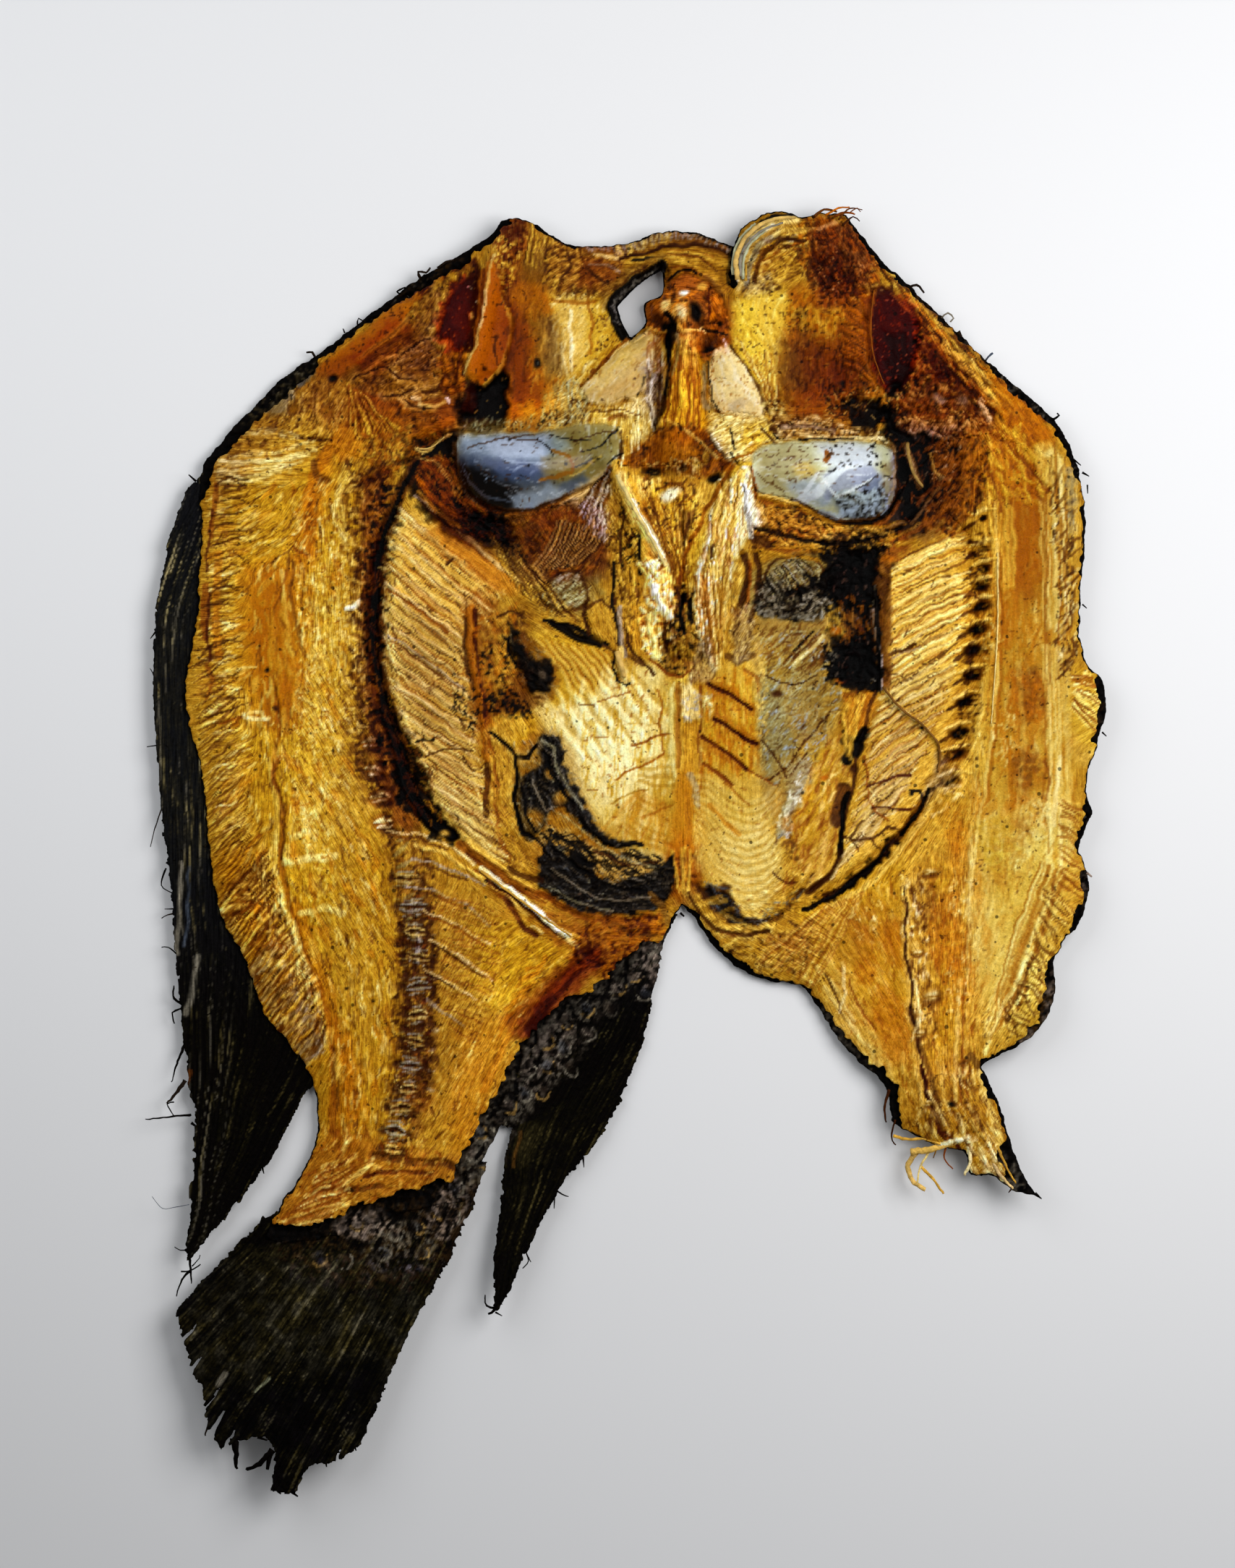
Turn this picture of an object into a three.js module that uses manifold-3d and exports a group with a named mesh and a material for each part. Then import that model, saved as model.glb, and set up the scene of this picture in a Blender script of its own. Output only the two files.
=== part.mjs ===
// A dried tilapia, cut open along the back, spread flat and dried in one piece.
// It lies on its skin with the cut flesh up: head at +Y, the belly down the middle, the two back
// fillets at either side. The left half keeps the dorsal, tail and anal fins; the right half ends
// in a torn stub. Millimetres, +Z up, origin on the ground under the middle of the fish.
import * as THREE from "three";
import { mergeVertices } from "three/addons/utils/BufferGeometryUtils.js";
import Module from "manifold-3d";

const wasm = await Module();
wasm.setup();

// Driving dimensions.
const LENGTH = 300; // jaw edge to the last tail ray
const SPREAD = 226; // dorsal fin edge to the far flank
const RIM = 2.2; // flesh and skin at the cut edge
const FLESH = 3.6; // what the fillets add to the rim, away from the edge
const EDGE_ROUND = 5; // how far in from the edge the flesh reaches its full height
const FIN = 1.7; // a dried fin with its rays
const BODY_CELL = 4.2; // facet size of the flesh side
const SKIN_CELL = 9; // facet size of the skin side and of the fins
const DEEP = 40; // reach of the blocks that are cut away, above and below the fish

// Outlines, as smooth stretches that meet in corners, going clockwise.
const BODY_OUTLINE = [
  [[-30, 148], [-26.5, 148.6], [-22.5, 147.6], [-18, 144.6], [-13, 142.3], [-5, 142]],
  [[-5, 142], [0, 142.7], [5, 144.6], [10, 145.7], [16, 145], [21, 143.2], [24.6, 142]],
  [[24.6, 142], [26, 145.5], [30, 148.8], [35, 150], [41, 149], [46, 149.6], [51, 149.4]],
  [[51, 149.4], [54.4, 145], [59, 139.2], [66, 132.8], [74, 125.2], [83, 116.8], [92, 108.6],
    [99.4, 102], [102.6, 97], [105.6, 89.5], [107, 80], [106.8, 70], [106, 60], [105.6, 50]],
  [[105.8, 50], [107.5, 44], [111, 40], [111.9, 34], [110.5, 27], [108, 19], [107.2, 14]],
  [[107.2, 14], [108.4, 9], [106.4, 4], [105.6, 0]],
  [[105.6, 0], [107.6, -5], [107.4, -12], [105.5, -17], [101.5, -22], [99.6, -27],
    [99.8, -33], [97.6, -39.6], [92, -45.2], [85.6, -48.6], [82.6, -50.6]],
  [[82.6, -50.6], [85, -55], [87.6, -61.5], [90, -69.5], [92.6, -76], [95.4, -80.6]],
  [[95.4, -80.6], [90, -79.2], [85, -76], [79.8, -76]],
  [[79.8, -76], [78.5, -70.5], [73, -69.3], [67, -66.6], [61.6, -63.4]],
  [[61.6, -63.4], [60.6, -55.6], [55.5, -50.6], [49, -44], [44.5, -36.6], [40, -31.6],
    [31, -30], [24, -26], [18.5, -20.4], [14.8, -15], [12.4, -12.6]],
  [[12.4, -12.6], [10, -16.6], [7.6, -21], [2, -27], [-6, -33], [-14, -40], [-21, -48],
    [-26, -57], [-31, -66], [-35, -74], [-38, -82]],
  [[-38, -82], [-49, -84], [-62, -88], [-75, -91.5], [-86, -91.5]],
  [[-86, -91.5], [-82, -83], [-77, -76], [-73.8, -68], [-73.4, -60], [-75.4, -52.6],
    [-81, -44.6], [-86.5, -37.5], [-91, -25], [-96, -15.5], [-98.6, -3], [-99.6, 8],
    [-101, 20], [-104, 32], [-104.4, 41], [-102, 54], [-101.4, 64], [-100.6, 76],
    [-100.8, 89], [-95.6, 96.8], [-88.6, 104.4], [-80.6, 112.2], [-70.6, 119], [-60.6, 126.6],
    [-51, 133.6], [-40, 140], [-33, 144.2], [-30, 148]],
];
const DORSAL_FIN = [
  [[-98, 91], [-103, 86], [-107, 77], [-109.8, 66], [-111.8, 52], [-112, 40], [-111, 22],
    [-109.6, 5], [-107.8, -10], [-106.6, -26], [-105, -41], [-103.6, -54], [-102, -62],
    [-102.6, -77], [-103.8, -90], [-104, -97]],
  [[-104, -97], [-97.6, -89], [-90, -80], [-83.6, -71], [-79, -62], [-76.6, -57.2]],
  [[-76.6, -57.2], [-72, -50], [-80, -32], [-88, -8], [-92, 20], [-93, 60], [-98, 91]],
];
const TAIL_FIN = [
  [[-86, -86], [-90, -90.6], [-100, -101], [-106, -107.6]],
  [[-106, -107.6], [-104.6, -114], [-102.4, -121], [-99.6, -127], [-98.6, -134], [-95.6, -139.4]],
  [[-95.6, -139.4], [-91.6, -138], [-87, -136.6], [-83, -140], [-84, -149.6]],
  [[-84, -149.6], [-77.8, -150]],
  [[-77.8, -150], [-75, -143.8], [-69, -142.4], [-63, -138.8]],
  [[-63, -138.8], [-58.6, -128.6], [-51.4, -112.6], [-43.6, -98], [-38, -86], [-33.4, -73]],
  [[-33.4, -73], [-50, -74], [-66, -80], [-86, -86]],
];
const ANAL_FIN = [
  [[12.4, -13.4], [8.8, -20.4], [6.4, -30], [4, -41], [-0.2, -54.2], [-6.8, -66.8],
    [-16, -79], [-23.6, -93], [-28.8, -104.6], [-31.6, -108.6]],
  [[-31.6, -108.6], [-31.8, -97], [-30.4, -84], [-29, -72], [-27.6, -65.6]],
  [[-27.6, -65.6], [-31, -62], [-24, -48], [-8, -30], [12.4, -13.4]],
];
// The slit between lip and skull, right through the head.
const MOUTH_SLIT = [
  [[7.8, 136.8], [4, 134.6], [0.6, 131.8], [-2.8, 128.2]],
  [[-2.8, 128.2], [-1.6, 124.4], [0.4, 120.8]],
  [[0.4, 120.8], [3.8, 124.2], [3.6, 128.8], [7.8, 131.2], [7.8, 136.8]],
];

// Rounded forms on the flesh side: middle, half lengths, turn in degrees, height (below 0 sunk).
const DOMES = [
  { at: [-84, 25], reach: [22, 80], turn: 0, height: 2.2 }, // left back fillet
  { at: [-60, -40], reach: [24, 40], turn: -12, height: 1.6 }, // left tail fillet
  { at: [93, 20], reach: [18, 75], turn: 2, height: 1.8 }, // right back fillet
  { at: [-46, 122], reach: [26, 20], turn: 38, height: 4.4 }, // left cheek
  { at: [62, 122], reach: [26, 22], turn: -42, height: 4.4 }, // right cheek
  { at: [14, 18], reach: [44, 46], turn: 0, height: -3 }, // belly wall
  { at: [-22, 26], reach: [20, 40], turn: 0, height: -1.4 }, // left side of the gut hollow
  { at: [46, 40], reach: [20, 40], turn: 0, height: -1.4 }, // right side of the gut hollow
  { at: [-44, 86], reach: [12, 12], turn: 0, height: -2.6 }, // left gill hollow
  { at: [66, 90], reach: [10, 14], turn: 0, height: -2.6 }, // right gill hollow
  { at: [-25, 90], reach: [20, 9], turn: 4, height: 5.2 }, // left gill cover
  { at: [47, 89], reach: [19, 10], turn: -8, height: 5.2 }, // right gill cover
  { at: [14, 127], reach: [10, 10], turn: 0, height: 10 }, // skull
  { at: [12, 72], reach: [17, 28], turn: 0, height: 4.6 }, // gills and throat
];
// Long forms: points along the crest or the groove, half width, height (below 0 sunk).
const RIDGES = [
  { along: [[14, 118], [13.6, 106], [12, 94]], half: 7, height: 5.4 }, // skull base
  { along: [[-3, 92], [2, 78], [11, 52]], half: 5, height: 3 }, // left throat bone
  { along: [[27, 90], [21, 70], [13, 50]], half: 6, height: 4 }, // right throat muscle
  { along: [[-29, 146], [-33, 132], [-36, 118], [-38, 106]], half: 4, height: 2.6 }, // left cheek bone
  { along: [[12.5, 42], [12.5, -10]], half: 4, height: 1.2 }, // belly seam
  { along: [[-46, 96], [-54, 86], [-58, 72], [-60, 50], [-57, 32], [-51, 16], [-42, 4]], half: 4.5, height: -2.2 },
  { along: [[79, 74], [82, 60], [81, 42], [77, 26], [70, 11], [58, -3], [46, -11]], half: 4.5, height: -2.2 },
  { along: [[-52, 0], [-50, -20], [-51, -45], [-55, -66], [-62, -78]], half: 5, height: 1.1 }, // left backbone
  { along: [[66, -8], [66, -30], [68, -50], [73, -66]], half: 5, height: 1 }, // right backbone
];
// How far the dried fish has curled up off the ground: where the lift starts, where it is full.
const CURLS = [
  { from: [0, 118], to: [0, 152], lift: 4 }, // jaws
  { from: [82, 20], to: [114, 20], lift: 4 }, // right flank
  { from: [-92, 10], to: [-114, 10], lift: 2.4 }, // dorsal fin
  { from: [50, -20], to: [80, -84], lift: 5 }, // torn stub
  { from: [-20, -50], to: [-30, -112], lift: 2.6 }, // anal fin
  { from: [-60, -96], to: [-80, -152], lift: 2 }, // tail fin
];

const smooth = (t) => THREE.MathUtils.smoothstep(t, 0, 1);
const bell = (t) => (t < 1 ? (1 - t * t) ** 2 : 0); // 1 at the middle, 0 from t = 1 on

function shapeOf(stretches) {
  const shape = new THREE.Shape();
  shape.moveTo(...stretches[0][0]);
  for (const stretch of stretches)
    shape.splineThru(stretch.slice(1).map(([x, y]) => new THREE.Vector2(x, y)));
  return shape;
}

function distanceToLine(x, y, points) {
  let least = Infinity;
  for (let i = 0; i + 1 < points.length; i++) {
    const [ax, ay] = points[i];
    const [dx, dy] = [points[i + 1][0] - ax, points[i + 1][1] - ay];
    const t = THREE.MathUtils.clamp(((x - ax) * dx + (y - ay) * dy) / (dx * dx + dy * dy || 1), 0, 1);
    least = Math.min(least, Math.hypot(x - ax - t * dx, y - ay - t * dy));
  }
  return least;
}

const bodyShape = shapeOf(BODY_OUTLINE);
const bodyEdge = bodyShape.getPoints(1).map((p) => [p.x, p.y]);

// Height of the skin side above the ground.
function skinAt(x, y) {
  let z = 0;
  for (const { from, to, lift } of CURLS) {
    const [dx, dy] = [to[0] - from[0], to[1] - from[1]];
    z += lift * smooth(((x - from[0]) * dx + (y - from[1]) * dy) / (dx * dx + dy * dy));
  }
  return z;
}

// Height of the flesh side above the ground.
function fleshAt(x, y) {
  const full = 1 - Math.exp(-distanceToLine(x, y, bodyEdge) / EDGE_ROUND);
  let rise = FLESH;
  for (const { at, reach, turn, height } of DOMES) {
    const [c, s] = [Math.cos(turn * THREE.MathUtils.DEG2RAD), Math.sin(turn * THREE.MathUtils.DEG2RAD)];
    const [dx, dy] = [x - at[0], y - at[1]];
    rise += height * bell(Math.hypot((dx * c + dy * s) / reach[0], (dy * c - dx * s) / reach[1]));
  }
  for (const { along, half, height } of RIDGES) rise += height * bell(distanceToLine(x, y, along) / half);
  return skinAt(x, y) + RIM + rise * full;
}

const finAt = (x, y) => skinAt(x, y) + FIN;

function solidOf(geometry) {
  const bare = geometry.clone();
  bare.deleteAttribute("normal");
  bare.deleteAttribute("uv");
  const merged = mergeVertices(bare, 1e-4);
  return new wasm.Manifold(new wasm.Mesh({
    numProp: 3,
    vertProperties: Float32Array.from(merged.attributes.position.array),
    triVerts: Uint32Array.from(merged.index.array),
  }));
}

// A block over the whole fish, with its top (or its underside) shaped by heightAt.
function block(heightAt, cell, side) {
  const [wide, long] = [SPREAD + 20, LENGTH + 20];
  const geometry = new THREE.BoxGeometry(wide, long, 1, Math.round(wide / cell), Math.round(long / cell), 1);
  const place = geometry.attributes.position;
  for (let i = 0; i < place.count; i++) {
    const shaped = place.getZ(i) * side > 0;
    place.setZ(i, shaped ? heightAt(place.getX(i), place.getY(i)) : -side * DEEP);
  }
  return solidOf(geometry);
}

// A column over an outline, reaching past the fish above and below.
function column(stretches, steps) {
  const geometry = new THREE.ExtrudeGeometry(shapeOf(stretches), {
    depth: DEEP, bevelEnabled: false, curveSegments: steps,
  });
  return solidOf(geometry.translate(0, 0, -DEEP / 4));
}

function fishSolid() {
  const aboveSkin = block(skinAt, SKIN_CELL, -1);
  const underFins = block(finAt, SKIN_CELL, 1);
  const body = column(BODY_OUTLINE, 2)
    .intersect(block(fleshAt, BODY_CELL, 1))
    .subtract(column(MOUTH_SLIT, 1));
  const fins = [DORSAL_FIN, TAIL_FIN, ANAL_FIN].map((fin) => column(fin, 2).intersect(underFins));
  return fins.reduce((whole, fin) => whole.add(fin), body).intersect(aboveSkin);
}

function geometryOf(solid) {
  const { numProp, vertProperties, triVerts } = solid.getMesh();
  const geometry = new THREE.BufferGeometry();
  const places = new Float32Array((vertProperties.length / numProp) * 3);
  for (let i = 0; i < places.length / 3; i++)
    for (let k = 0; k < 3; k++) places[3 * i + k] = vertProperties[numProp * i + k];
  geometry.setAttribute("position", new THREE.BufferAttribute(places, 3));
  geometry.setIndex(new THREE.BufferAttribute(Uint32Array.from(triVerts), 1));
  geometry.computeVertexNormals();
  return geometry;
}

const driedFlesh = new THREE.MeshStandardMaterial({ color: 0xc48a35, roughness: 0.55, metalness: 0 });
const fish = new THREE.Mesh(geometryOf(fishSolid()), driedFlesh);
fish.name = "fish";

const group = new THREE.Group();
group.add(fish);
export default group;
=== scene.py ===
import math
import bmesh
import bpy
import numpy as np
from mathutils import Matrix, Vector
from mathutils.kdtree import KDTree


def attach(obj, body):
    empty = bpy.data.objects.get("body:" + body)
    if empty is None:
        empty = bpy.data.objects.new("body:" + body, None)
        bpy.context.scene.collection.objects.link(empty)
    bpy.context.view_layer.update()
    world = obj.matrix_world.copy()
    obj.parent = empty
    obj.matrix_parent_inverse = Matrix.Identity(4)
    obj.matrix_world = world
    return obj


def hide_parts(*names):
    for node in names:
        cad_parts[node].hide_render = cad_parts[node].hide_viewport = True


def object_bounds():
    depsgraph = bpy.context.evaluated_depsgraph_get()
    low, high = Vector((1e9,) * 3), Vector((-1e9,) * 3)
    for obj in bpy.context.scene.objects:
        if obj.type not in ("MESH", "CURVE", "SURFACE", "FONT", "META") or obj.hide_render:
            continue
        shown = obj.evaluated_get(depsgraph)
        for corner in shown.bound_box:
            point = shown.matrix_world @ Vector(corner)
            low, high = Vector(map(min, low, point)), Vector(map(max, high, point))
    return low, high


# A dried tilapia, split along the back and spread flat, flesh side up.
# The fish is worked on one fine grid: the forms are raised on it, the colours are brushed on it,
# and the pieces are cut out of it. Places are in millimetres of a 300 mm fish.
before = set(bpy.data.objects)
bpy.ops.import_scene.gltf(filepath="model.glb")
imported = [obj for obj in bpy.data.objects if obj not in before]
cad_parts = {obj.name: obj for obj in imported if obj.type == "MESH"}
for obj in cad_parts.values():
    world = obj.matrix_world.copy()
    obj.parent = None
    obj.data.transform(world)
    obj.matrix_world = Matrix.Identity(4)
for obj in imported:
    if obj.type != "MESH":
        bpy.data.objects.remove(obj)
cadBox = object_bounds()
fishLength = 300
unit = (cadBox[1].y - cadBox[0].y) / fishLength  # metres for one millimetre of fish

grid = {
    "low": (-115.0, -152.0), "high": (115.0, 153.0),  # corners
    "cell": 0.4,  # width of one square
}
cell = grid["cell"]
columns = round((grid["high"][0] - grid["low"][0]) / cell) + 1
rows = round((grid["high"][1] - grid["low"][1]) / cell) + 1
gridX, gridY = np.meshgrid(grid["low"][0] + cell * np.arange(columns),
                           grid["low"][1] + cell * np.arange(rows))
print("grid", columns, rows)

# sRGB codes
colours = {
    "ochre": "B18026", "hay": "A06E18", "gold": "C18E1C", "straw": "CE9E3A", "sand": "DAB156",
    "cream": "E6CD80", "pale": "F4E2A5", "sun": "D8AC37", "amber": "B26006", "caramel": "914C08",
    "orange": "AC5C0A", "rust": "803E0C", "brown": "5C300C", "umber": "3A1A06", "blood": "340904",
    "char": "050302", "soot": "1E150E", "olive": "78501C", "bone": "D1AB5C", "pink": "E2C286",
    "steel": "98A8BB", "ice": "D4DEEC", "slate": "464E5C", "lilac": "968478", "grey": "878070",
    "silver": "B6B894", "lavender": "848CAE", "film": "9C793C", "sage": "877646", "white": "F0EBDE",
    "ray": "2D2712", "indigo": "23304A",
}


def linearOf(code):
    parts = [int(code[k:k + 2], 16) / 255 for k in (0, 2, 4)]
    return np.array([p / 12.92 if p < 0.04045 else ((p + 0.055) / 1.055) ** 2.4 for p in parts])


# kept as cube roots, so that colours mix as they look
tints = {name: np.cbrt(linearOf(code)) for name, code in colours.items()}


# outlines, in stretches that meet in corners
middleLine = 12.5  # x of the belly seam
bodyOutline = [
    [(-30, 148), (-26.5, 148.6), (-22.5, 147.6), (-18, 144.6), (-13, 142.3), (-5, 142)],
    [(-5, 142), (0, 142.7), (5, 144.6), (10, 145.7), (16, 145), (21, 143.2), (24.6, 142)],
    [(24.6, 142), (26, 145.5), (30, 148.8), (35, 150), (41, 149), (46, 149.6), (51, 149.4)],
    [(51, 149.4), (54.4, 145), (59, 139.2), (66, 132.8), (74, 125.2), (83, 116.8), (92, 108.6),
     (99.4, 102), (102.6, 97), (105.6, 89.5), (107, 80), (106.8, 70), (106, 60), (105.6, 50)],
    [(105.8, 50), (107.5, 44), (111, 40), (111.9, 34), (110.5, 27), (108, 19), (107.2, 14)],
    [(107.2, 14), (108.4, 9), (106.4, 4), (105.6, 0)],
    [(105.6, 0), (107.6, -5), (107.4, -12), (105.5, -17), (101.5, -22), (99.6, -27),
     (99.8, -33), (97.6, -39.6), (92, -45.2), (85.6, -48.6), (82.6, -50.6)],
    [(82.6, -50.6), (85, -55), (87.6, -61.5), (90, -69.5), (92.6, -76), (95.4, -80.6)],
    [(95.4, -80.6), (90, -79.2), (85, -76), (79.8, -76)],
    [(79.8, -76), (78.5, -70.5), (73, -69.3), (67, -66.6), (61.6, -63.4)],
    [(61.6, -63.4), (60.6, -55.6), (55.5, -50.6), (49, -44), (44.5, -36.6), (40, -31.6),
     (31, -30), (24, -26), (18.5, -20.4), (14.8, -15), (12.4, -12.6)],
    [(12.4, -12.6), (10, -16.6), (7.6, -21), (2, -27), (-6, -33), (-14, -40), (-21, -48),
     (-26, -57), (-31, -66), (-35, -74), (-38, -82)],
    [(-38, -82), (-49, -84), (-62, -88), (-75, -91.5), (-86, -91.5)],
    [(-86, -91.5), (-82, -83), (-77, -76), (-73.8, -68), (-73.4, -60), (-75.4, -52.6),
     (-81, -44.6), (-86.5, -37.5), (-91, -25), (-96, -15.5), (-98.6, -3), (-99.6, 8),
     (-101, 20), (-104, 32), (-104.4, 41), (-102, 54), (-101.4, 64), (-100.6, 76),
     (-100.8, 89), (-95.6, 96.8), (-88.6, 104.4), (-80.6, 112.2), (-70.6, 119), (-60.6, 126.6),
     (-51, 133.6), (-40, 140), (-33, 144.2), (-30, 148)],
]
dorsalFinOutline = [
    [(-98, 91), (-103, 86), (-107, 77), (-109.8, 66), (-111.8, 52), (-112, 40), (-111, 22),
     (-109.6, 5), (-107.8, -10), (-106.6, -26), (-105, -41), (-103.6, -54), (-102, -62),
     (-102.6, -77), (-103.8, -90), (-104, -97)],
    [(-104, -97), (-97.6, -89), (-90, -80), (-83.6, -71), (-79, -62), (-76.6, -57.2)],
    [(-76.6, -57.2), (-72, -50), (-80, -32), (-88, -8), (-92, 20), (-93, 60), (-98, 91)],
]
tailFinOutline = [
    [(-86, -86), (-90, -90.6), (-100, -101), (-106, -107.6)],
    [(-106, -107.6), (-104.6, -114), (-102.4, -121), (-99.6, -127), (-98.6, -134), (-95.6, -139.4)],
    [(-95.6, -139.4), (-91.6, -138), (-87, -136.6), (-83, -140), (-84, -149.6)],
    [(-84, -149.6), (-77.8, -150)],
    [(-77.8, -150), (-75, -143.8), (-69, -142.4), (-63, -138.8)],
    [(-63, -138.8), (-58.6, -128.6), (-51.4, -112.6), (-43.6, -98), (-38, -86), (-33.4, -73)],
    [(-33.4, -73), (-50, -74), (-66, -80), (-86, -86)],
]
analFinOutline = [
    [(12.4, -13.4), (8.8, -20.4), (6.4, -30), (4, -41), (-0.2, -54.2), (-6.8, -66.8),
     (-16, -79), (-23.6, -93), (-28.8, -104.6), (-31.6, -108.6)],
    [(-31.6, -108.6), (-31.8, -97), (-30.4, -84), (-29, -72), (-27.6, -65.6)],
    [(-27.6, -65.6), (-31, -62), (-24, -48), (-8, -30), (12.4, -13.4)],
]
mouthSlit = [
    [(7.8, 136.8), (4, 134.6), (0.6, 131.8), (-2.8, 128.2)],
    [(-2.8, 128.2), (-1.6, 124.4), (0.4, 120.8)],
    [(0.4, 120.8), (3.8, 124.2), (3.6, 128.8), (7.8, 131.2), (7.8, 136.8)],
]


outlines = {
    "step": 0.4,  # between points
    "flakeSize": 2.6, "flakeDepth": 0.35,  # of the nicks all round
}
wavePeriod = 128  # waves repeat after so many units


# a smooth line through the points
def smoothRun(points, step=0.5):
    p = np.array(points, float)
    if len(p) < 3:
        return p
    ends = np.vstack([p[0], p, p[-1]])
    run = []
    for k in range(len(p) - 1):
        a, b, c, d = ends[k:k + 4]
        steps = max(1, int(np.hypot(*(c - b)) / step))
        t = (np.arange(steps) / steps)[:, None]
        va, vc = (c - a) / 2, (d - b) / 2
        run.append((2 * b - 2 * c + va + vc) * t ** 3 + (3 * c - 3 * b - 2 * va - vc) * t ** 2 + va * t + b)
    return np.vstack(run + [p[-1:]])


# the closed outline as a dense run of points
def ring(stretches):
    return np.vstack([smoothRun(stretch, outlines["step"])[:-1] for stretch in stretches])


# smooth random waves between about -1 and 1, one unit long, each octave half as long and high
def noise(u, v, seed, octaves=1):
    total, height = 0, 1
    for octave in range(octaves):
        angles = np.random.default_rng(seed * 16 + octave).uniform(0, 2 * np.pi, (wavePeriod, wavePeriod))
        gx, gy = np.cos(angles), np.sin(angles)
        i, j = np.floor(u).astype(int), np.floor(v).astype(int)
        fu, fv = u - i, v - j
        left, right = i % wavePeriod, (i + 1) % wavePeriod
        below, above = j % wavePeriod, (j + 1) % wavePeriod
        su, sv = fu * fu * fu * (fu * (fu * 6 - 15) + 10), fv * fv * fv * (fv * (fv * 6 - 15) + 10)
        a = gx[below, left] * fu + gy[below, left] * fv
        b = gx[below, right] * (fu - 1) + gy[below, right] * fv
        c = gx[above, left] * fu + gy[above, left] * (fv - 1)
        d = gx[above, right] * (fu - 1) + gy[above, right] * (fv - 1)
        total = total + height * 1.5 * ((a + (b - a) * su) * (1 - sv) + (c + (d - c) * su) * sv)
        u, v, height = u * 2 + 17.3, v * 2 + 5.1, height / 2
    return total


# the outline with small nicks and flakes
def ragged(edge, size, depth, seed):
    steps = np.roll(edge, -1, 0) - edge
    along = np.cumsum(np.hypot(steps[:, 0], steps[:, 1]))
    out = np.stack([-steps[:, 1], steps[:, 0]], 1)
    out /= np.maximum(np.hypot(out[:, 0], out[:, 1]), 1e-6)[:, None]
    wave = noise(along / size, along * 0 + 0.37, seed, 3)
    return edge + out * (wave * depth)[:, None]


# which grid points lie inside a closed run of points, worked out row by row
def insideOf(edge):
    inside = np.zeros(gridX.shape, bool)
    a, b = edge, np.roll(edge, -1, 0)
    for j in range(rows):
        level = gridY[j, 0] + 1e-7
        crossing = (a[:, 1] > level) != (b[:, 1] > level)
        if not crossing.any():
            continue
        p, q = a[crossing], b[crossing]
        hits = np.sort(p[:, 0] + (level - p[:, 1]) / (q[:, 1] - p[:, 1]) * (q[:, 0] - p[:, 0]))
        inside[j] = np.searchsorted(hits, gridX[j]) % 2 == 1
    return inside


# distance to the outline, positive inside, at every grid point
def edgeField(edge):
    tree = KDTree(len(edge))
    for k, (x, y) in enumerate(edge):
        tree.insert((x, y, 0), k)
    tree.balance()
    inside = insideOf(edge)
    near = inside.copy()
    for cells, axis in ((4, 0), (-4, 0), (4, 1), (-4, 1)):
        near |= np.roll(inside, cells, axis)
    distance = np.full(gridX.shape, -9.0)
    for j, i in zip(*np.nonzero(near)):
        far = tree.find((gridX[j, i], gridY[j, i], 0))[2]
        distance[j, i] = far if inside[j, i] else -far
    return distance


bodyEdge = ragged(ring(bodyOutline), outlines["flakeSize"], outlines["flakeDepth"], 3)
bodyDistance = np.minimum(edgeField(bodyEdge), -edgeField(ring(mouthSlit)))
print("outlines")


# the grid a little warped, as drying never keeps a line straight
roughX = gridX + 0.5 * noise(gridX / 5, gridY / 5, 11, 2)
roughY = gridY + 0.5 * noise(gridX / 5, gridY / 5, 12, 2)


def smooth(t):
    t = np.clip(t, 0, 1)
    return t * t * (3 - 2 * t)


# the part of the grid round some points
def windowOf(points, reach):
    low, high = points.min(0) - reach - 1, points.max(0) + reach + 1
    left, below = [max(0, int((low[k] - grid["low"][k]) / cell)) for k in (0, 1)]
    right, above = [max(0, int((high[k] - grid["low"][k]) / cell) + 2) for k in (0, 1)]
    return slice(below, above), slice(left, right)


# distance to a run of points, and the share of its length at the nearest place
def toLine(points, x, y):
    lengths = np.hypot(*(points[1:] - points[:-1]).T)
    whole = max(lengths.sum(), 1e-6)
    least, share, gone = np.full(x.shape, 1e9), np.zeros(x.shape), 0
    for a, b, length in zip(points[:-1], points[1:], lengths):
        dx, dy = b - a
        t = np.clip(((x - a[0]) * dx + (y - a[1]) * dy) / max(length * length, 1e-9), 0, 1)
        far = (x - a[0] - t * dx) ** 2 + (y - a[1] - t * dy) ** 2
        closer = far < least
        least = np.where(closer, far, least)
        share = np.where(closer, (gone + t * length) / whole, share)
        gone += length
    return np.sqrt(least), share


def tint(layer, where, mask, colour, amount):
    share = (np.clip(mask, 0, 1) * amount)[..., None]
    layer["paint"][where] += (tints[colour] - layer["paint"][where]) * share


# a ridge or a groove along a line, and a brush stroke of colour over it
def stroke(layer, points, half, rise=0, colour=None, amount=1, taper=0.0, soft=0.45, gloss=None, bend=True):
    points = smoothRun(points, 2.0) if bend else np.array(points, float)
    where = windowOf(points, half + 1)
    far, share = toLine(points, roughX[where], roughY[where])
    width = half * (1 - taper * np.abs(2 * share - 1) ** 2)
    if rise:
        layer["height"][where] += rise * np.clip(1 - (far / np.maximum(width, 0.01)) ** 2, 0, 1) ** 1.5
    mask = smooth((width - far) / (soft * half) + 0.5)
    if colour:
        tint(layer, where, mask, colour, amount)
    if gloss is not None:
        layer["gloss"][where] += (gloss - layer["gloss"][where]) * mask


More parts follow.
